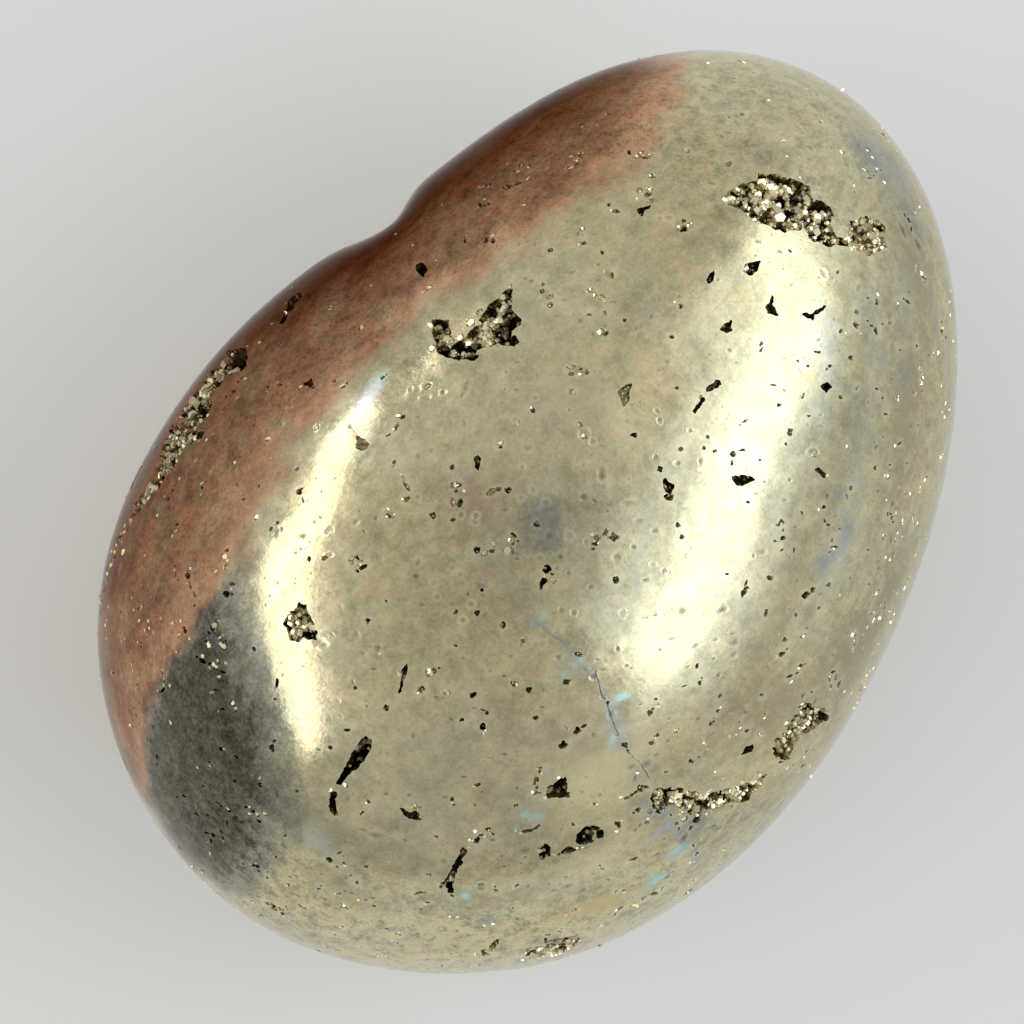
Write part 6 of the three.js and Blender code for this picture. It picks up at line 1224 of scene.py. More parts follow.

# two large areas on the long flank: a warm brown one, mostly a painted reflection of reddish-brown
# surroundings and in part brown tarnish, and a dark grey one; and a crusty one near the blunt end
WARM_REFLECTION_TARNISH_OUTLINE = np.array([(668, 0), (667, 50), (664, 72), (660, 98), (640, 121), (618, 141), (598, 160), (578, 176), (556, 190),
                  (535, 201), (514, 218), (497, 232), (476, 246), (455, 258), (432, 274), (408, 292), (390, 308),
                  (372, 325), (352, 350), (335, 372), (316, 392), (300, 408), (284, 436), (270, 464), (256, 490),
                  (242, 515), (234, 540), (228, 562), (214, 588), (198, 614), (182, 640), (168, 660), (156, 684),
                  (149, 710), (146, 750), (140, 790), (120, 830), (40, 800), (20, 500), (120, 330), (400, 60)], float)
DUSK = np.array([(292, 470), (286, 492), (272, 524), (258, 548), (240, 568), (220, 590), (203, 616), (184, 644), (166, 666),
                 (153, 696), (144, 750), (150, 802), (180, 856), (226, 894), (262, 896), (286, 866), (302, 832), (308, 790),
                 (302, 740), (290, 690), (276, 640), (268, 600), (276, 540)], float)
CRUST = np.array([(215, 800), (250, 845), (300, 830), (370, 872), (440, 905), (530, 900), (600, 885), (650, 850),
                  (700, 830), (760, 800), (800, 790), (780, 840), (700, 920), (600, 980), (440, 1000), (280, 950),
                  (200, 880), (180, 820)], float)
SPECKLED = np.array([(640, 60), (720, 45), (800, 55), (880, 110), (935, 210), (955, 330), (950, 450), (920, 580), (880, 680),
                     (800, 790), (760, 800), (800, 700), (850, 600), (880, 480), (880, 360), (850, 260), (760, 220),
                     (690, 215), (640, 180), (610, 140)], float)
view_p = to_view(skin_p)
facing = (skin_n * unit(EYE - skin_p)).sum(1)


def smooth(x, a, b):
    t = np.clip((x - a) / (b - a), 0, 1)
    return t * t * (3 - 2 * t)


rough_k = unit(rng.normal(size=(10, 3))) * (2 * math.pi / rng.uniform(1.6, 5.0, (10, 1)))
ripple = np.sin(skin_p @ rough_k.T + rng.uniform(0, 6.28, 10)).sum(1) / 3.0
# where the outline runs, by turn about the middle of the view; places past it are read at the outline
middle = to_view(GIRTH[None])[0]
off = view_p - middle
around, out = np.arctan2(off[:, 1], off[:, 0]), np.linalg.norm(off, axis=1)
near_edge = np.abs(facing) < 0.04
by_turn = np.argsort(around[near_edge])
edge_turn, edge_out = around[near_edge][by_turn], out[near_edge][by_turn]
bins = np.linspace(-math.pi, math.pi, 181)
edge_r = np.array([edge_out[(edge_turn > a) & (edge_turn < b)].max() for a, b in zip(bins[:-1] - 0.03, bins[1:] + 0.03)])
reach = np.interp(around, (bins[:-1] + bins[1:]) / 2, edge_r, period=2 * math.pi)
inward_by = np.maximum(reach - out, 0.0)
view_q = np.where((facing < 0)[:, None], middle + off / np.maximum(out, 1e-6)[:, None] * reach[:, None], view_p)
inward_by = np.where(facing < 0, 0.0, inward_by)
fade = smooth(facing + 0.07 * ripple, -0.55, 0.02)
vx, vy = view_q.T
# the warm brown area: a painted reflection of reddish-brown surroundings, with some brown tarnish
gap = outline_gap(view_q, WARM_REFLECTION_TARNISH_OUTLINE) + 6 * ripple
gap = gap + np.interp(vy, [100, 150, 250, 340, 400, 460, 560, 600, 640, 740], [10, 13, 14, 15, 9, 3, -3, 1, 8, 8])
wide_in = 18 + 28 * smooth(vy, 370, 450) + 24 * smooth(vy, 150, 95)
wide_out = 20 - 8 * smooth(vy, 530, 590)
warm_reflection_tarnish = 0.5 + 0.5 * np.where(gap > 0, np.minimum(gap / wide_in, 1), np.maximum(gap / wide_out, -1))
# darker and redder towards the upper left outline: a painted dark reflection and shadow
painted_dark_reflection = np.interp(inward_by + 4 * ripple, [16, 40, 60, 85], [1.0, 0.6, 0.33, 0.0])
painted_dark_reflection = painted_dark_reflection * np.interp(vy, [220, 290, 345, 400, 480], [1.0, 0.78, 0.35, 0.15, 0.0])
painted_dark_reflection = painted_dark_reflection * (1 - smooth(vx, 540, 650) * smooth(vy, 160, 120))
warm_reflection_tarnish = warm_reflection_tarnish * (1 + painted_dark_reflection) * fade
warm_reflection_tarnish = warm_reflection_tarnish * (1 - 0.24 * smooth(inward_by + 4 * ripple, 50, 18) * smooth(vy, 570, 630) * smooth(vy, 780, 730))
dusk_gap = outline_gap(view_q, DUSK) + 4 * ripple
dusk = smooth(dusk_gap / 16, -0.5, 0.5) * smooth(facing, -0.3, 0.1)
right_side = np.interp(vy, [540, 600, 640, 690, 740, 790, 830, 870], [262, 264, 270, 284, 298, 304, 296, 285])
dusk = dusk * (0.28 + 0.72 * smooth(right_side - vx + 4 * ripple, 4, 70)) * (1 - 0.5 * smooth(vy, 850, 905))
dusk = dusk * (0.72 + 0.28 * smooth(vy, 575, 650))
warm_reflection_tarnish = warm_reflection_tarnish * (1 - 0.85 * smooth(dusk, 0.4, 0.9))
crust = smooth(outline_gap(view_q, CRUST) / 40, -0.5, 0.6) * smooth(facing, -0.3, 0.1)
crust = np.maximum(crust, 0.38 * smooth(outline_gap(view_q, SPECKLED) / 50, -0.4, 0.6) * smooth(facing, -0.3, 0.1))
unseen_part = smooth(facing, 0.05, -0.25)
rough_k = unit(rng.normal(size=(6, 3))) * (2 * math.pi / rng.uniform(9.0, 16.0, (6, 1)))
waves = np.sin(skin_p @ rough_k.T + rng.uniform(0, 6.28, 6)).sum(1)
crust = np.maximum(crust, unseen_part * smooth(waves, 1.2, 2.6))
dusk = np.maximum(dusk, 0.22 * unseen_part * smooth(-waves + 0.3 * ripple, 0.4, 3.4))
painted_rim_light = painted_rim_light * (1 - 0.6 * np.minimum(warm_reflection_tarnish, 1)) * (1 - 0.55 * dusk)

# ---- the ground flat ----
ring_ids = [int(np.argmin(((q - rq) ** 2).sum(1))) for rq in to_chart(ring)]
ring_xy = where[ring_ids][:, :2]
mid_xy = ring_xy.mean(0)
gx, gy = np.meshgrid(np.arange(-8.5, 8.6, 0.9), np.arange(-7.0, 7.1, 0.9))
inner = mid_xy + np.stack([gx.ravel(), gy.ravel()], 1) + rng.uniform(-0.15, 0.15, (gx.size, 2))
inner = inner[outline_gap(inner, ring_xy) > 0.35]
n_ring = len(ring_ids)
known = np.vstack([ring_xy, inner])
fv, _, ff, *_ = delaunay_2d_cdt([Vector(v) for v in known.tolist()],
                                [(i, (i + 1) % n_ring) for i in range(n_ring)], [], 0, 1e-6, False)
fv = np.array([v[:] for v in fv], float)
match = [int(np.argmin(((known - v) ** 2).sum(1))) for v in fv]
to_mesh = [ring_ids[m] if m < n_ring else count + m - n_ring for m in match]
flat_tris = []
inside_ring = outline_gap(np.array([fv[list(f)].mean(0) for f in ff]), ring_xy) > 0
for f, good in zip(ff, inside_ring):
    i, j, k = (to_mesh[v] for v in f)
    if good and len({i, j, k}) == 3:
        flat_tris.append((i, k, j))
on_ring = np.zeros(count, bool)
on_ring[ring_ids] = True
spare = np.flatnonzero(on_ring[tris].all(1))
spare = spare[outline_gap(q[tris[spare]].mean(1), to_chart(ring)) < 0]
tris = np.delete(tris, spare, axis=0)
where[ring_ids, 2] = 0.0
verts = np.vstack([where, np.hstack([inner, np.zeros((len(inner), 1))])])

base = skin_p[tris]
if (np.cross(base[:, 1] - base[:, 0], base[:, 2] - base[:, 0]) * skin_n[tris[:, 0]]).sum() < 0:
    tris = tris[:, ::-1]
faces = np.vstack([tris, np.array(flat_tris, int)])
p0, p1, p2 = (verts[faces[:, k]] for k in range(3))
face_n = np.cross(p1 - p0, p2 - p0)
face_n /= np.maximum(np.linalg.norm(face_n, axis=1, keepdims=True), 1e-12)


def new_object(name, verts, faces):
    mesh = bpy.data.meshes.new(name)
    mesh.from_pydata((verts * 0.001).tolist(), [], faces.tolist() if isinstance(faces, np.ndarray) else faces)
    mesh.update()
    o = bpy.data.objects.new(name, mesh)
    bpy.context.scene.collection.objects.link(o)
    return o


def point_values(mesh, name, values):
    values = np.asarray(values, np.float32)
    if values.ndim == 1:
        mesh.attributes.new(name, "FLOAT", "POINT").data.foreach_set("value", values)
    else:
        rgba = np.ones((len(values), 4), np.float32)
        rgba[:, :values.shape[1]] = values
        mesh.attributes.new(name, "FLOAT_COLOR", "POINT").data.foreach_set("color", rgba.ravel())


skin = new_object("egg_skin", verts, faces)
extra = np.zeros(len(inner))
point_values(skin.data, "cavity", np.concatenate([dark, extra]))
point_values(skin.data, "painted_rim_light", np.concatenate([painted_rim_light * (depth < 0.0015), extra]))
point_values(skin.data, "tint", np.vstack([tint, np.full((len(inner), 3), 0.3)]))
point_values(skin.data, "stain", np.concatenate([stain, extra]))
point_values(skin.data, "warm_reflection_tarnish", np.concatenate([warm_reflection_tarnish, extra]))
point_values(skin.data, "dusk", np.concatenate([dusk, extra]))
point_values(skin.data, "crust", np.concatenate([crust, extra]))
polished = depth < 0.0015
corner_n = np.repeat(face_n, 3, axis=0)
smooth_face = polished[np.minimum(faces, count - 1)].all(1)
smooth_face[len(tris):] = False
use = np.flatnonzero(smooth_face)
for k in range(3):
    corner_n[3 * use + k] = bent_n[faces[use, k]]
skin.data.polygons.foreach_set("use_smooth", np.ones(len(faces), bool))
skin.data.normals_split_custom_set(corner_n.tolist())

# ---- crystals ----
CUBE = np.array([[x, y, z] for x in (-1, 1) for y in (-1, 1) for z in (-1, 1)], float)
CUBE_F = [(0, 1, 3, 2), (4, 6, 7, 5), (0, 4, 5, 1), (2, 3, 7, 6), (0, 2, 6, 4), (1, 5, 7, 3)]


def faces_of(points, normals):
    """The faces of a convex solid from its face directions."""
    out = []
    for n in normals:
        s = points @ n
        on = np.flatnonzero(s > s.max() - 1e-6)
        c = points[on].mean(0)
        a, b = tangents(n)
        ang = np.arctan2((points[on] - c) @ b, (points[on] - c) @ a)
        out.append(tuple(on[np.argsort(ang)].tolist()))
    return out


def pyritohedron(h):
    p = [(x, y, z) for x in (-1, 1) for y in (-1, 1) for z in (-1, 1)]
    for s in (-1, 1):
        for r in (-1, 1):
            p += [(0, s * (1 + h), r * (1 - h * h)), (s * (1 + h), r * (1 - h * h), 0),
                  (r * (1 - h * h), 0, s * (1 + h))]
    p = np.array(p, float)
    # the twelve faces' directions come from the solid itself: the widest planes that hold five points
    found = []
    for s in (-1, 1):
        for r in (-1, 1):
            for v in ((0, s, r * h), (0, s * h, r), (s, r * h, 0), (s * h, r, 0), (s * h, 0, r), (s, 0, r * h)):
                n = unit(np.array(v, float))
                d = p @ n
                if (d > d.max() - 1e-6).sum() == 5:
                    found.append(n)
    return p / (1 + h), found


PYR, PYR_N = pyritohedron(0.5)
if len(PYR_N) != 12:
    raise RuntimeError("the twelve-faced crystal has %d faces" % len(PYR_N))
PYR_F = faces_of(PYR, PYR_N)
pa, pb = tangents(PYR_N[0])
PYR = PYR @ np.stack([pa, pb, PYR_N[0]], 1)
PYR_TOP = PYR[:, 2].max()

cv, cf, ctone = [], [], []
c_total = 0


def aim(n, spin):
    """A turn that takes +Z to n, spun about n."""
    a, b = tangents(n)
    c, s = math.cos(spin), math.sin(spin)
    return np.stack([c * a + s * b, -s * a + c * b, n], 1)


def add_crystal(centre, turn, half, tone_and_light, pyr=False):
    global c_total
    body, fs = (PYR, PYR_F) if pyr else (CUBE, CUBE_F)
    cv.append(centre + (body * half) @ turn.T)
    cf.extend(tuple(c_total + i for i in f) for f in fs)
    ctone.append(np.full(len(body), tone_and_light))
    c_total += len(body)


# the two long soft lights, as elevation limits by azimuth, in degrees
LEFT = [(78.6, 15, 22), (85, 15.5, 26), (93, 18.5, 31), (101, 21.5, 35), (110, 21.5, 36), (121, 22.5, 38), (136, 25.5, 39),
        (151, 27, 39), (163, 25, 35), (171, 24, 30)]
SIDE = [(-90, 31, 40), (-87, 28, 44), (-80, 27, 49), (-71, 28, 49), (-62, 30, 50), (-52, 29, 50), (-41, 23, 47),
        (-30, 17, 44), (-22, 15, 38), (-14, 15, 33), (-6, 17, 32), (1, 20, 31)]
LIGHTS = np.array([[math.cos(math.radians(a)) * math.cos(math.radians((l + h) / 2)),
                    math.sin(math.radians(a)) * math.cos(math.radians((l + h) / 2)),
                    math.sin(math.radians((l + h) / 2))] for a, l, h in LEFT[1:-1] + SIDE[1:-1]])


def tilt_for(p, n, bright, seen):
    """The direction of a crystal's face: a bright one turns a light towards the view."""
    if not seen:
        return unit(n + rng.normal(0, 0.35, 3))
    v = unit(EYE - p)
    if bright >= 0.5:
        half = unit(v + LIGHTS)
        best = half[int(np.argmax(half @ n + rng.uniform(-0.08, 0.08, len(half))))]
        spread = 0.02 + 0.3 * max(0.0, 0.8 - bright)
        return unit(best + rng.normal(0, spread, 3))
    return unit(unit(n + v) + rng.normal(0, 0.3, 3))


g_dirs = np.array([g[0] for g, _ in lone])
g_p = on_skin(g_dirs)
g_n = skin_normal(g_p)
for ((d, a, b, turn, bright, seen), sunk), p, n in zip(lone, g_p, g_n):
    if float(unit(EYE - p) @ n) < 0.5:
        bright *= 0.85
    f = tilt_for(p, n, bright, seen)
    size = np.array([a, b, min(a, b)])
    # a glinting face gets a lighter colour, a painted highlight; under the painted warm reflection and the dark grey
    # area it gets darker
    tone_and_light = rng.uniform(0.85, 1.0) if bright > 0.5 else rng.uniform(0.72, 0.92)
    near = tree.find(p.tolist())[1]
    tone_and_light *= 1 - 0.36 * min(1.0, float(warm_reflection_tarnish[near])) - 0.25 * float(dusk[near])
    lean = math.sqrt(max(0.0, 1 - float(f @ n) ** 2))
    round_one = min(a, b) > 0.11
    top = PYR_TOP if round_one else 1.0
    if round_one:
        size = size * 1.12
    sink = max(a, b) * lean * (0.9 if sunk else 0.35) + (0.012 if sunk else -0.006)
    add_crystal(p - n * sink - f * size[2] * top, aim(f, rng.uniform(0, 6.28)), size, tone_and_light, round_one)
l_dirs = np.array([g[0] for g, _ in lining])
l_p = on_skin(l_dirs)
l_n = skin_normal(l_p)
for ((d, a, b, turn, bright, seen), c), p, n in zip(lining, l_p, l_n):
    dim = c.kind == "cavity" and c.fill[2] < 0.82
    f = tilt_for(p, n, 0.4 if dim else bright, seen)
    size = np.array([a, b, min(a, b)]) * 1.1
    floor = depth[tree.find(p.tolist())[1]]
    lean = math.sqrt(max(0.0, 1 - float(f @ n) ** 2))
    sink = min(max(a, b) * lean * 0.8 + 0.02 + rng.uniform(0, 0.10), max(0.05, floor))
    # a glinting face gets a lighter colour, a painted highlight
    tone_and_light = rng.uniform(0.85, 1.0) if bright > 0.5 else rng.uniform(0.6, 0.85)
    if dim:
        tone_and_light = min(tone_and_light, c.fill[2])
    add_crystal(p - n * sink - f * size[2] * PYR_TOP, aim(f, rng.uniform(0, 6.28)), size, tone_and_light, True)
    for _ in range(3):          # it stands on smaller ones
        k = rng.uniform(0.3, 0.6)
        off = unit(rng.normal(size=3)) * max(a, b) * 0.9
        off -= n * (off @ n)
        add_crystal(p + off - n * (sink + rng.uniform(0.05, 0.25)), aim(unit(rng.normal(size=3)), rng.uniform(0, 6.28)),
                    size * k, rng.uniform(c.fill[1], c.fill[2]), bool(rng.integers(2)))

for c in hollows:
    x, y = c.poly.T
    area = abs((x * np.roll(y, -1) - y * np.roll(x, -1)).sum()) / 2
    lo, hi = c.poly.min(0), c.poly.max(0)
    want = int(c.fill[0] * area / 0.028)
    uv = rng.uniform(lo, hi, (want * 6 + 40, 2))
    uv = uv[c.inside(uv) > 0.03][:want]
    if not len(uv):
        continue
    dd = c.world(uv)
    pp = on_skin(dd)
    nn = skin_normal(pp)
    for p, n in zip(pp, nn):
        i = tree.find(p.tolist())[1]
        if gapped[i] or (dark[i] > 0.96 and c.fill[0] > 0.45):
            continue
        floor = depth[i]
        half = math.exp(rng.uniform(math.log(0.05), math.log(0.21 if c.kind == "cavity" else 0.1)))
        half = min(half, 0.6 * floor + 0.02)
        sink = max(floor - half * rng.uniform(-0.2, 1.0), half * 1.3)
        if c.kind == "cavity" and rng.uniform() < 0.35:
            sink = max(sink * rng.uniform(0.35, 0.8), half * 1.3)
        f = unit(n + rng.normal(0, 0.8, 3))
        add_crystal(p - n * sink, aim(f, rng.uniform(0, 6.28)), half * rng.uniform(0.75, 1.2, 3),
                    c.fill[1] + (c.fill[2] - c.fill[1]) * rng.uniform() ** 1.3, rng.uniform() < 0.7)

# a few small ones on the floor of each larger pit
for c in cuts:
    if c.kind != "pit" or len(c.poly) > 20:
        continue
    room = float(c.inside(c.poly.mean(0)[None])[0])
    if room < 0.13:
        continue
    for _ in range(int(rng.integers(1, 4))):
        uv = c.poly.mean(0) + rng.uniform(-0.55, 0.55, 2) * room
        p = on_skin(c.world(uv[None]))[0]
        half = room * rng.uniform(0.18, 0.36)
        floor = depth[tree.find(p.tolist())[1]]
        add_crystal(p - c.normal * max(floor - 0.3 * half, 1.2 * half), aim(unit(c.normal + rng.normal(0, 0.6, 3)), rng.uniform(0, 6.28)),
                    half * rng.uniform(0.75, 1.2, 3), rng.uniform(0.35, 0.9), False)

crystals = new_object("vug_crystals", np.vstack(cv), cf)
point_values(crystals.data, "tone_and_light", np.concatenate(ctone))
crystals.data.polygons.foreach_set("use_smooth", np.zeros(len(cf), bool))
crystals.data.update()
print("crystals", len(ctone), "triangles", sum(len(f) - 2 for f in cf), "skin triangles", len(faces))


# ---- materials ----
class Nodes:
    def __init__(self, name):
        self.mat = bpy.data.materials.new(name)
        self.mat.use_nodes = True
        self.tree = self.mat.node_tree
        self.tree.nodes.clear()
        self.out = self.add("ShaderNodeOutputMaterial")
        self.bsdf = self.add("ShaderNodeBsdfPrincipled")
        self.join(self.bsdf.outputs["BSDF"], self.out.inputs["Surface"])
        self.where = self.add("ShaderNodeTexCoord").outputs["Object"]

    def add(self, kind, **settings):
        n = self.tree.nodes.new(kind)
        for k, v in settings.items():
            setattr(n, k, v)
        return n

    def join(self, a, b):
        self.tree.links.new(a, b)

    def put(self, socket, value):
        if isinstance(value, bpy.types.NodeSocket):
            self.join(value, socket)
        else:
            socket.default_value = value

    def noise(self, size_mm, detail=3.0, rough=0.55, twist=0.0, where=None):
        n = self.add("ShaderNodeTexNoise")
        n.inputs["Scale"].default_value = 1000.0 / size_mm
        n.inputs["Detail"].default_value = detail
        n.inputs["Roughness"].default_value = rough
        n.inputs["Distortion"].default_value = twist
        self.join(where or self.where, n.inputs["Vector"])
        return n.outputs["Fac"]

    def cells(self, size_mm, feature="F1", where=None):
        n = self.add("ShaderNodeTexVoronoi", feature=feature)
        n.inputs["Scale"].default_value = 1000.0 / size_mm
        self.join(where or self.where, n.inputs["Vector"])
        return n

    def span(self, value, a, b, c=0.0, d=1.0, smooth=True):
        n = self.add("ShaderNodeMapRange", interpolation_type="SMOOTHSTEP" if smooth else "LINEAR")
        self.put(n.inputs["Value"], value)
        for key, v in (("From Min", a), ("From Max", b), ("To Min", c), ("To Max", d)):
            n.inputs[key].default_value = v
        return n.outputs["Result"]

    def math(self, op, a, b=0.0, clamp=False):
        n = self.add("ShaderNodeMath", operation=op, use_clamp=clamp)
        self.put(n.inputs[0], a)
        self.put(n.inputs[1], b)
        return n.outputs[0]

    def mix(self, factor, a, b, blend="MIX"):
        n = self.add("ShaderNodeMix", data_type="RGBA", blend_type=blend)
        self.put(n.inputs[0], factor)
        self.put(n.inputs[6], a if isinstance(a, bpy.types.NodeSocket) else (*a, 1.0))
        self.put(n.inputs[7], b if isinstance(b, bpy.types.NodeSocket) else (*b, 1.0))
        return n.outputs[2]

    def scaled(self, colour, k):
        n = self.add("ShaderNodeVectorMath", operation="SCALE")
        self.join(colour, n.inputs[0])
        self.put(n.inputs["Scale"], k)
        return n.outputs[0]

    def value_of(self, name):
        return self.add("ShaderNodeAttribute", attribute_type="GEOMETRY", attribute_name=name)

    def bump(self, height, distance_mm, strength=1.0, normal=None):
        n = self.add("ShaderNodeBump")
        n.inputs["Strength"].default_value = strength
        n.inputs["Distance"].default_value = distance_mm * 0.001
        self.join(height, n.inputs["Height"])
        if normal is not None:
            self.join(normal, n.inputs["Normal"])
        return n.outputs["Normal"]


def skin_material():
    m = Nodes("polished_pyrite")
    cavity, painted_rim_light, stain, warm_reflection_tarnish, dusk, crust = (m.value_of(name).outputs["Fac"] for name in
                                              ("cavity", "painted_rim_light", "stain", "warm_reflection_tarnish", "dusk", "crust"))
    tint = m.value_of("tint").outputs["Color"]
    clouds = m.noise(11.0, 2.0, 0.5, 0.5)
    patches = m.noise(3.2, 3.0, 0.6, 0.4)
    mottle = m.noise(0.8, 4.0, 0.66)
    grain = m.noise(0.2, 2.0, 0.6)
    blotch = m.noise(1.5, 2.0, 0.5, 0.6)
    # hue: olive grey, greener, and tan
    base = m.mix(m.span(clouds, 0.40, 0.60), (0.586, 0.527, 0.318), (0.556, 0.513, 0.332))
    base = m.mix(m.math("MULTIPLY", m.span(patches, 0.50, 0.68), 0.38), base, (0.56, 0.475, 0.275))
    base = m.mix(m.math("MULTIPLY", m.span(patches, 0.50, 0.32), 0.22), base, (0.50, 0.505, 0.372))
    # lightness at four scales
    warm_reflection_tarnish = m.math("MULTIPLY", warm_reflection_tarnish, m.span(cavity, 0.02, 0.3, 1.0, 0.5))
    reflection_and_tarnish = m.span(warm_reflection_tarnish, 0.2, 1.0)
    small = m.math("ADD", m.span(mottle, 0.25, 0.75, -0.20, 0.18, False), m.span(grain, 0.25, 0.75, -0.10, 0.09, False))
    rougher = m.math("ADD", m.math("MULTIPLY", crust, 1.0), m.math("ADD", m.math("MULTIPLY", dusk, 1.7), m.math("MULTIPLY", reflection_and_tarnish, 1.0)))
    small = m.math("MULTIPLY", small, m.math("ADD", rougher, 1.0))
    lum = m.math("ADD", m.span(clouds, 0.3, 0.7, -0.10, 0.10, False), m.span(patches, 0.3, 0.7, -0.11, 0.12, False))
    lum = m.math("ADD", lum, m.span(blotch, 0.3, 0.7, -0.08, 0.10, False))
    base = m.scaled(base, m.math("ADD", m.math("ADD", lum, small), 1.0))
    specks = m.math("MULTIPLY", m.span(m.noise(0.30, 1.0), 0.66, 0.74), m.span(patches, 0.46, 0.60))
    base = m.mix(m.math("MULTIPLY", specks, 0.5), base, (0.17, 0.145, 0.09))
    # a crust of fine pale and dark marks
    base = m.mix(m.math("MULTIPLY", m.math("MULTIPLY", crust, m.span(mottle, 0.52, 0.64)), 0.75), base, (0.66, 0.575, 0.34))
    base = m.mix(m.math("MULTIPLY", m.math("MULTIPLY", crust, m.span(mottle, 0.46, 0.34)), 0.55), base, (0.28, 0.26, 0.19))
    # tarnish and stains, among them painted shade, highlight and reflection
    edge = m.noise(0.42, 3.0, 0.72, 0.5)
    amount = m.math("ADD", m.math("MULTIPLY", stain, 1.2), m.math("MULTIPLY", m.math("SUBTRACT", edge, 0.5), 1.4))
    amount = m.math("MULTIPLY", m.span(amount, 0.0, 1.0), m.span(stain, 0.0, 0.15))
    base = m.mix(m.math("MULTIPLY", amount, 0.9), base, tint)
    # pale rings round pits and dimples: a painted highlight
    base = m.mix(m.math("MULTIPLY", painted_rim_light, 0.80), base, (0.90, 0.86, 0.66))
    # the warm brown area: a painted reddish-brown reflection, in part brown tarnish
    olive = m.span(m.noise(2.0, 3.0, 0.62, 0.9), 0.42, 0.62)
    tinge = m.mix(olive, (1.0, 0.615, 0.56), (0.97, 0.68, 0.61))
    base = m.mix(m.span(warm_reflection_tarnish, 0.0, 0.5, smooth=False), base, m.mix(1.0, base, tinge, "MULTIPLY"))
    brown = m.math("MULTIPLY", m.span(warm_reflection_tarnish, 0.5, 1.0, smooth=False), m.span(patches, 0.3, 0.7, 1.0, 0.82))
    base = m.mix(brown, base, m.mix(1.0, base, m.mix(olive, (0.50, 0.415, 0.41), (0.475, 0.45, 0.44)), "MULTIPLY"))
    # the darkest red near the upper left outline is a painted dark reflection and shadow
    base = m.mix(m.span(warm_reflection_tarnish, 1.0, 2.0, smooth=False), base, m.mix(1.0, base, (0.28, 0.15, 0.15), "MULTIPLY"))
    flecks = m.math("MULTIPLY", m.span(m.noise(0.22, 2.0), 0.56, 0.70), m.math("MAXIMUM", dusk, reflection_and_tarnish))
    base = m.mix(m.math("MULTIPLY", flecks, 0.46), base, m.mix(1.0, base, (0.35, 0.30, 0.26), "MULTIPLY"))
    murk = m.math("ADD", dusk, m.span(mottle, 0.3, 0.7, 0.05, -0.12))
    shade = m.mix(m.span(murk, 0.45, 1.0), (0.50, 0.55, 0.66), (0.21, 0.215, 0.235))
    base = m.mix(m.span(dusk, 0.0, 0.5), base, m.mix(1.0, base, shade, "MULTIPLY"))
    # pits, gaps and dimple centres go near black: dark grime and painted shade
    hole = m.mix(m.span(grain, 0.35, 0.65), (0.035, 0.024, 0.012), (0.125, 0.088, 0.043))
    base = m.mix(m.span(cavity, 0.05, 0.85, smooth=False), base, hole)
    m.join(base, m.bsdf.inputs["Base Color"])
    m.bsdf.inputs["Metallic"].default_value = 1.0
    # at the rims the painted warm reflection and tarnish stay dark and clean stone turns pale
    m.join(m.mix(m.span(warm_reflection_tarnish, 0.2, 1.4), (1.0, 0.985, 0.95), (0.50, 0.43, 0.41)), m.bsdf.inputs["Specular Tint"])
    rough = m.math("ADD", m.span(patches, 0.3, 0.7, 0.06, 0.14), m.span(mottle, 0.3, 0.7, -0.02, 0.05))
    rough = m.math("ADD", rough, m.math("MULTIPLY", specks, 0.25))
    rough = m.math("ADD", rough, m.math("MULTIPLY", amount, 0.10))
    rough = m.math("ADD", rough, m.math("MULTIPLY", crust, 0.05))
    rough = m.math("ADD", rough, m.math("MULTIPLY", cavity, 0.35))
    m.join(rough, m.bsdf.inputs["Roughness"])
    m.join(m.bump(m.noise(0.7, 3.0, 0.65), 0.015, 0.6), m.bsdf.inputs["Normal"])
    return m.mat


def crystal_material():
    m = Nodes("pyrite_crystals")
    tone_and_light = m.value_of("tone_and_light").outputs["Fac"]
    patch = m.noise(0.25, 2.0, 0.6)
    # dark to pale brass by tone, partly real tone and partly painted light and shade
    base = m.mix(m.span(tone_and_light, 0.15, 1.0, smooth=False), (0.14, 0.11, 0.045), (0.90, 0.82, 0.56))
    base = m.mix(m.math("MULTIPLY", m.span(patch, 0.5, 0.75), 0.4), base, m.mix(1.0, base, (0.55, 0.48, 0.36), "MULTIPLY"))
    m.join(base, m.bsdf.inputs["Base Color"])
    m.bsdf.inputs["Metallic"].default_value = 1.0
    m.join(m.math("ADD", m.span(tone_and_light, 0.7, 0.95, 0.40, 0.17), m.span(patch, 0.3, 0.7, -0.03, 0.08)),
           m.bsdf.inputs["Roughness"])
    m.join(m.bump(m.noise(0.06, 1.0), 0.004, 0.4), m.bsdf.inputs["Normal"])
    return m.mat


skin.data.materials.append(skin_material())
crystals.data.materials.append(crystal_material())
for piece in (skin, crystals):
    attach(piece, "root")
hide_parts("pyrite_egg")

# ---- floor, lights and camera ----
floor = new_object("floor", np.array([[-1500.0, -1500, 0], [1500, -1500, 0], [1500, 1500, 0], [-1500, 1500, 0]]), [(0, 1, 2, 3)])
m = Nodes("pale_floor")
m.join(m.mix(m.span(m.noise(260.0, 1.0), 0.3, 0.7), (0.805, 0.805, 0.80), (0.815, 0.815, 0.81)), m.bsdf.inputs["Base Color"])
m.bsdf.inputs["Roughness"].default_value = 1.0
m.bsdf.inputs["Specular IOR Level"].default_value = 0.0
floor.data.materials.append(m.mat)

# The studio is a plain sky with two long soft lights in it.
world = bpy.data.worlds.new("studio")
bpy.context.scene.world = world
world.use_nodes = True
wt = world.node_tree
wt.nodes.clear()


def wnode(kind, **settings):
    n = wt.nodes.new(kind)
    for k, v in settings.items():
        setattr(n, k, v)
    return n


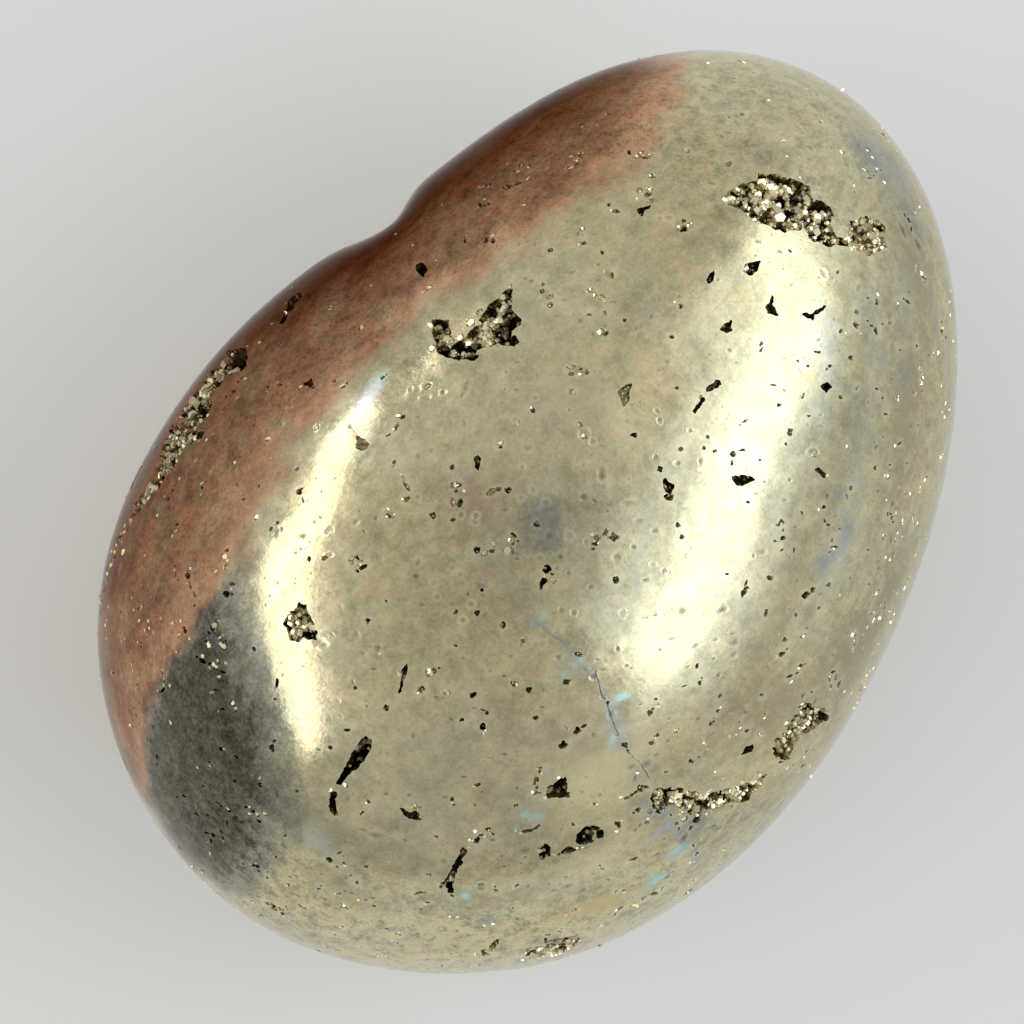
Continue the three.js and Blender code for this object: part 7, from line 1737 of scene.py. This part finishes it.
def wmath(op, a, b=0.0, c=None):
    n = wnode("ShaderNodeMath", operation=op)
    for i, v in enumerate((a, b) if c is None else (a, b, c)):
        if isinstance(v, bpy.types.NodeSocket):
            wt.links.new(v, n.inputs[i])
        else:
            n.inputs[i].default_value = v
    return n.outputs[0]


def wspan(value, a, b, c=0.0, d=1.0):
    n = wnode("ShaderNodeMapRange", interpolation_type="SMOOTHSTEP")
    wt.links.new(value, n.inputs["Value"])
    for key, v in (("From Min", a), ("From Max", b), ("To Min", c), ("To Max", d)):
        if isinstance(v, bpy.types.NodeSocket):
            wt.links.new(v, n.inputs[key])
        else:
            n.inputs[key].default_value = v
    return n.outputs["Result"]


def wcurve(value, pairs, low, high):
    """A value read off a curve through (place, level) pairs; places run from low to high, levels are in degrees."""
    n = wnode("ShaderNodeFloatCurve")
    curve = n.mapping.curves[0]
    pts = [((x - low) / (high - low), y / 90.0) for x, y in pairs]
    while len(curve.points) < len(pts):
        curve.points.new(0.5, 0.5)
    for point, (x, y) in zip(curve.points, pts):
        point.location = (x, y)
    n.mapping.update()
    wt.links.new(wmath("DIVIDE", wmath("SUBTRACT", value, low), high - low), n.inputs["Value"])
    return wmath("MULTIPLY", n.outputs["Value"], 90.0)


coord = wnode("ShaderNodeTexCoord").outputs["Generated"]
axes = wnode("ShaderNodeSeparateXYZ")
wt.links.new(coord, axes.inputs[0])
az = wmath("DEGREES", wmath("ARCTAN2", axes.outputs["Y"], axes.outputs["X"]))
el = wmath("DEGREES", wmath("ARCSINE", axes.outputs["Z"]))


def limits_of(pairs):
    low, high = pairs[0][0], pairs[-1][0]
    return (wcurve(az, [(a, l) for a, l, h in pairs], low, high), wcurve(az, [(a, h) for a, l, h in pairs], low, high),
            low, high)


def band(limits, wider_low, wider_high, low_soft, high_soft, start_soft, end_soft, longer=0.0):
    bottom, top, low, high = limits
    up = wspan(wmath("SUBTRACT", el, bottom), -wider_low - low_soft, -wider_low + low_soft)
    down = wspan(wmath("SUBTRACT", top, el), -wider_high - high_soft, -wider_high + high_soft)
    start = wspan(az, low - longer - start_soft, low - longer + start_soft)
    stop = wspan(az, high + longer + end_soft, high + longer - end_soft)
    return wmath("MULTIPLY", wmath("MULTIPLY", up, down), wmath("MULTIPLY", start, stop))


left_limits, side_limits = limits_of(LEFT), limits_of(SIDE)
left = band(left_limits, 0.0, 0.0, 1.2, 3.0, 1.2, 3.0)
left_glow = band(left_limits, 7.0, 9.0, 7.0, 9.0, 3.0, 8.0)
side = band(side_limits, 0.0, 0.0, 4.0, 5.0, 4.0, 4.0)
side_mid = band(side_limits, 8.5, 13.0, 8.0, 9.0, 7.0, 5.0, 2.0)
side_glow = band(side_limits, 15.0, 18.0, 9.0, 11.0, 9.0, 8.0, 5.0)
toward = wmath("ADD", wmath("MULTIPLY", axes.outputs["X"], -0.7714), wmath("MULTIPLY", axes.outputs["Y"], -0.6363))
sky = wmath("ADD", wspan(el, 40.0, 80.0, 0.66, 0.555), wspan(el, 0.0, 25.0, -0.05, 0.0))
sky = wmath("MULTIPLY", sky, wspan(toward, 0.3, 0.9, 1.0, 0.82))
level = wmath("ADD", sky, wmath("MULTIPLY", left, 1.75))
level = wmath("ADD", level, wmath("MULTIPLY", left_glow, 0.22))
level = wmath("ADD", level, wmath("MULTIPLY", side, 1.10))
level = wmath("ADD", level, wmath("MULTIPLY", side_mid, 0.42))
level = wmath("ADD", level, wmath("MULTIPLY", side_glow, 0.19))
above = wmath("ADD", wmath("MULTIPLY", axes.outputs["X"], 0.575), wmath("MULTIPLY", axes.outputs["Y"], -0.122))
above = wmath("ADD", above, wmath("MULTIPLY", axes.outputs["Z"], 0.809))
level = wmath("ADD", level, wspan(above, 0.925, 0.998, 0.0, 0.26))
low_down = wmath("ADD", wmath("MULTIPLY", axes.outputs["X"], -0.201), wmath("MULTIPLY", axes.outputs["Y"], -0.945))
low_down = wmath("ADD", low_down, wmath("MULTIPLY", axes.outputs["Z"], 0.259))
level = wmath("ADD", level, wspan(low_down, 0.93, 0.997, 0.0, 0.20))
cool = wnode("ShaderNodeMix", data_type="RGBA")
wt.links.new(side_glow, cool.inputs[0])
cool.inputs[6].default_value = (1.0, 0.985, 0.955, 1.0)
cool.inputs[7].default_value = (0.94, 1.0, 1.07, 1.0)
background = wnode("ShaderNodeBackground")
wt.links.new(cool.outputs[2], background.inputs["Color"])
wt.links.new(level, background.inputs["Strength"])
plain = wnode("ShaderNodeBackground")
plain.inputs["Color"].default_value = (0.728, 0.732, 0.727, 1.0)
plain.inputs["Strength"].default_value = 1.0
chooser = wnode("ShaderNodeMixShader")
wt.links.new(wnode("ShaderNodeLightPath").outputs["Is Camera Ray"], chooser.inputs[0])
wt.links.new(background.outputs[0], chooser.inputs[1])
wt.links.new(plain.outputs[0], chooser.inputs[2])
wt.links.new(chooser.outputs[0], wnode("ShaderNodeOutputWorld").inputs["Surface"])

camera = bpy.data.objects.new("view_camera", bpy.data.cameras.new("view_camera"))
camera.data.sensor_width = 36.0
camera.data.lens = SPAN * 36.0 / 1024.0
camera.data.clip_start = 0.01
camera.data.clip_end = 10.0
camera.location = EYE * 0.001
camera.rotation_euler = (0.0, 0.0, -TURN)
bpy.context.scene.collection.objects.link(camera)
bpy.context.scene.camera = camera
bpy.context.scene.view_settings.view_transform = "Standard"
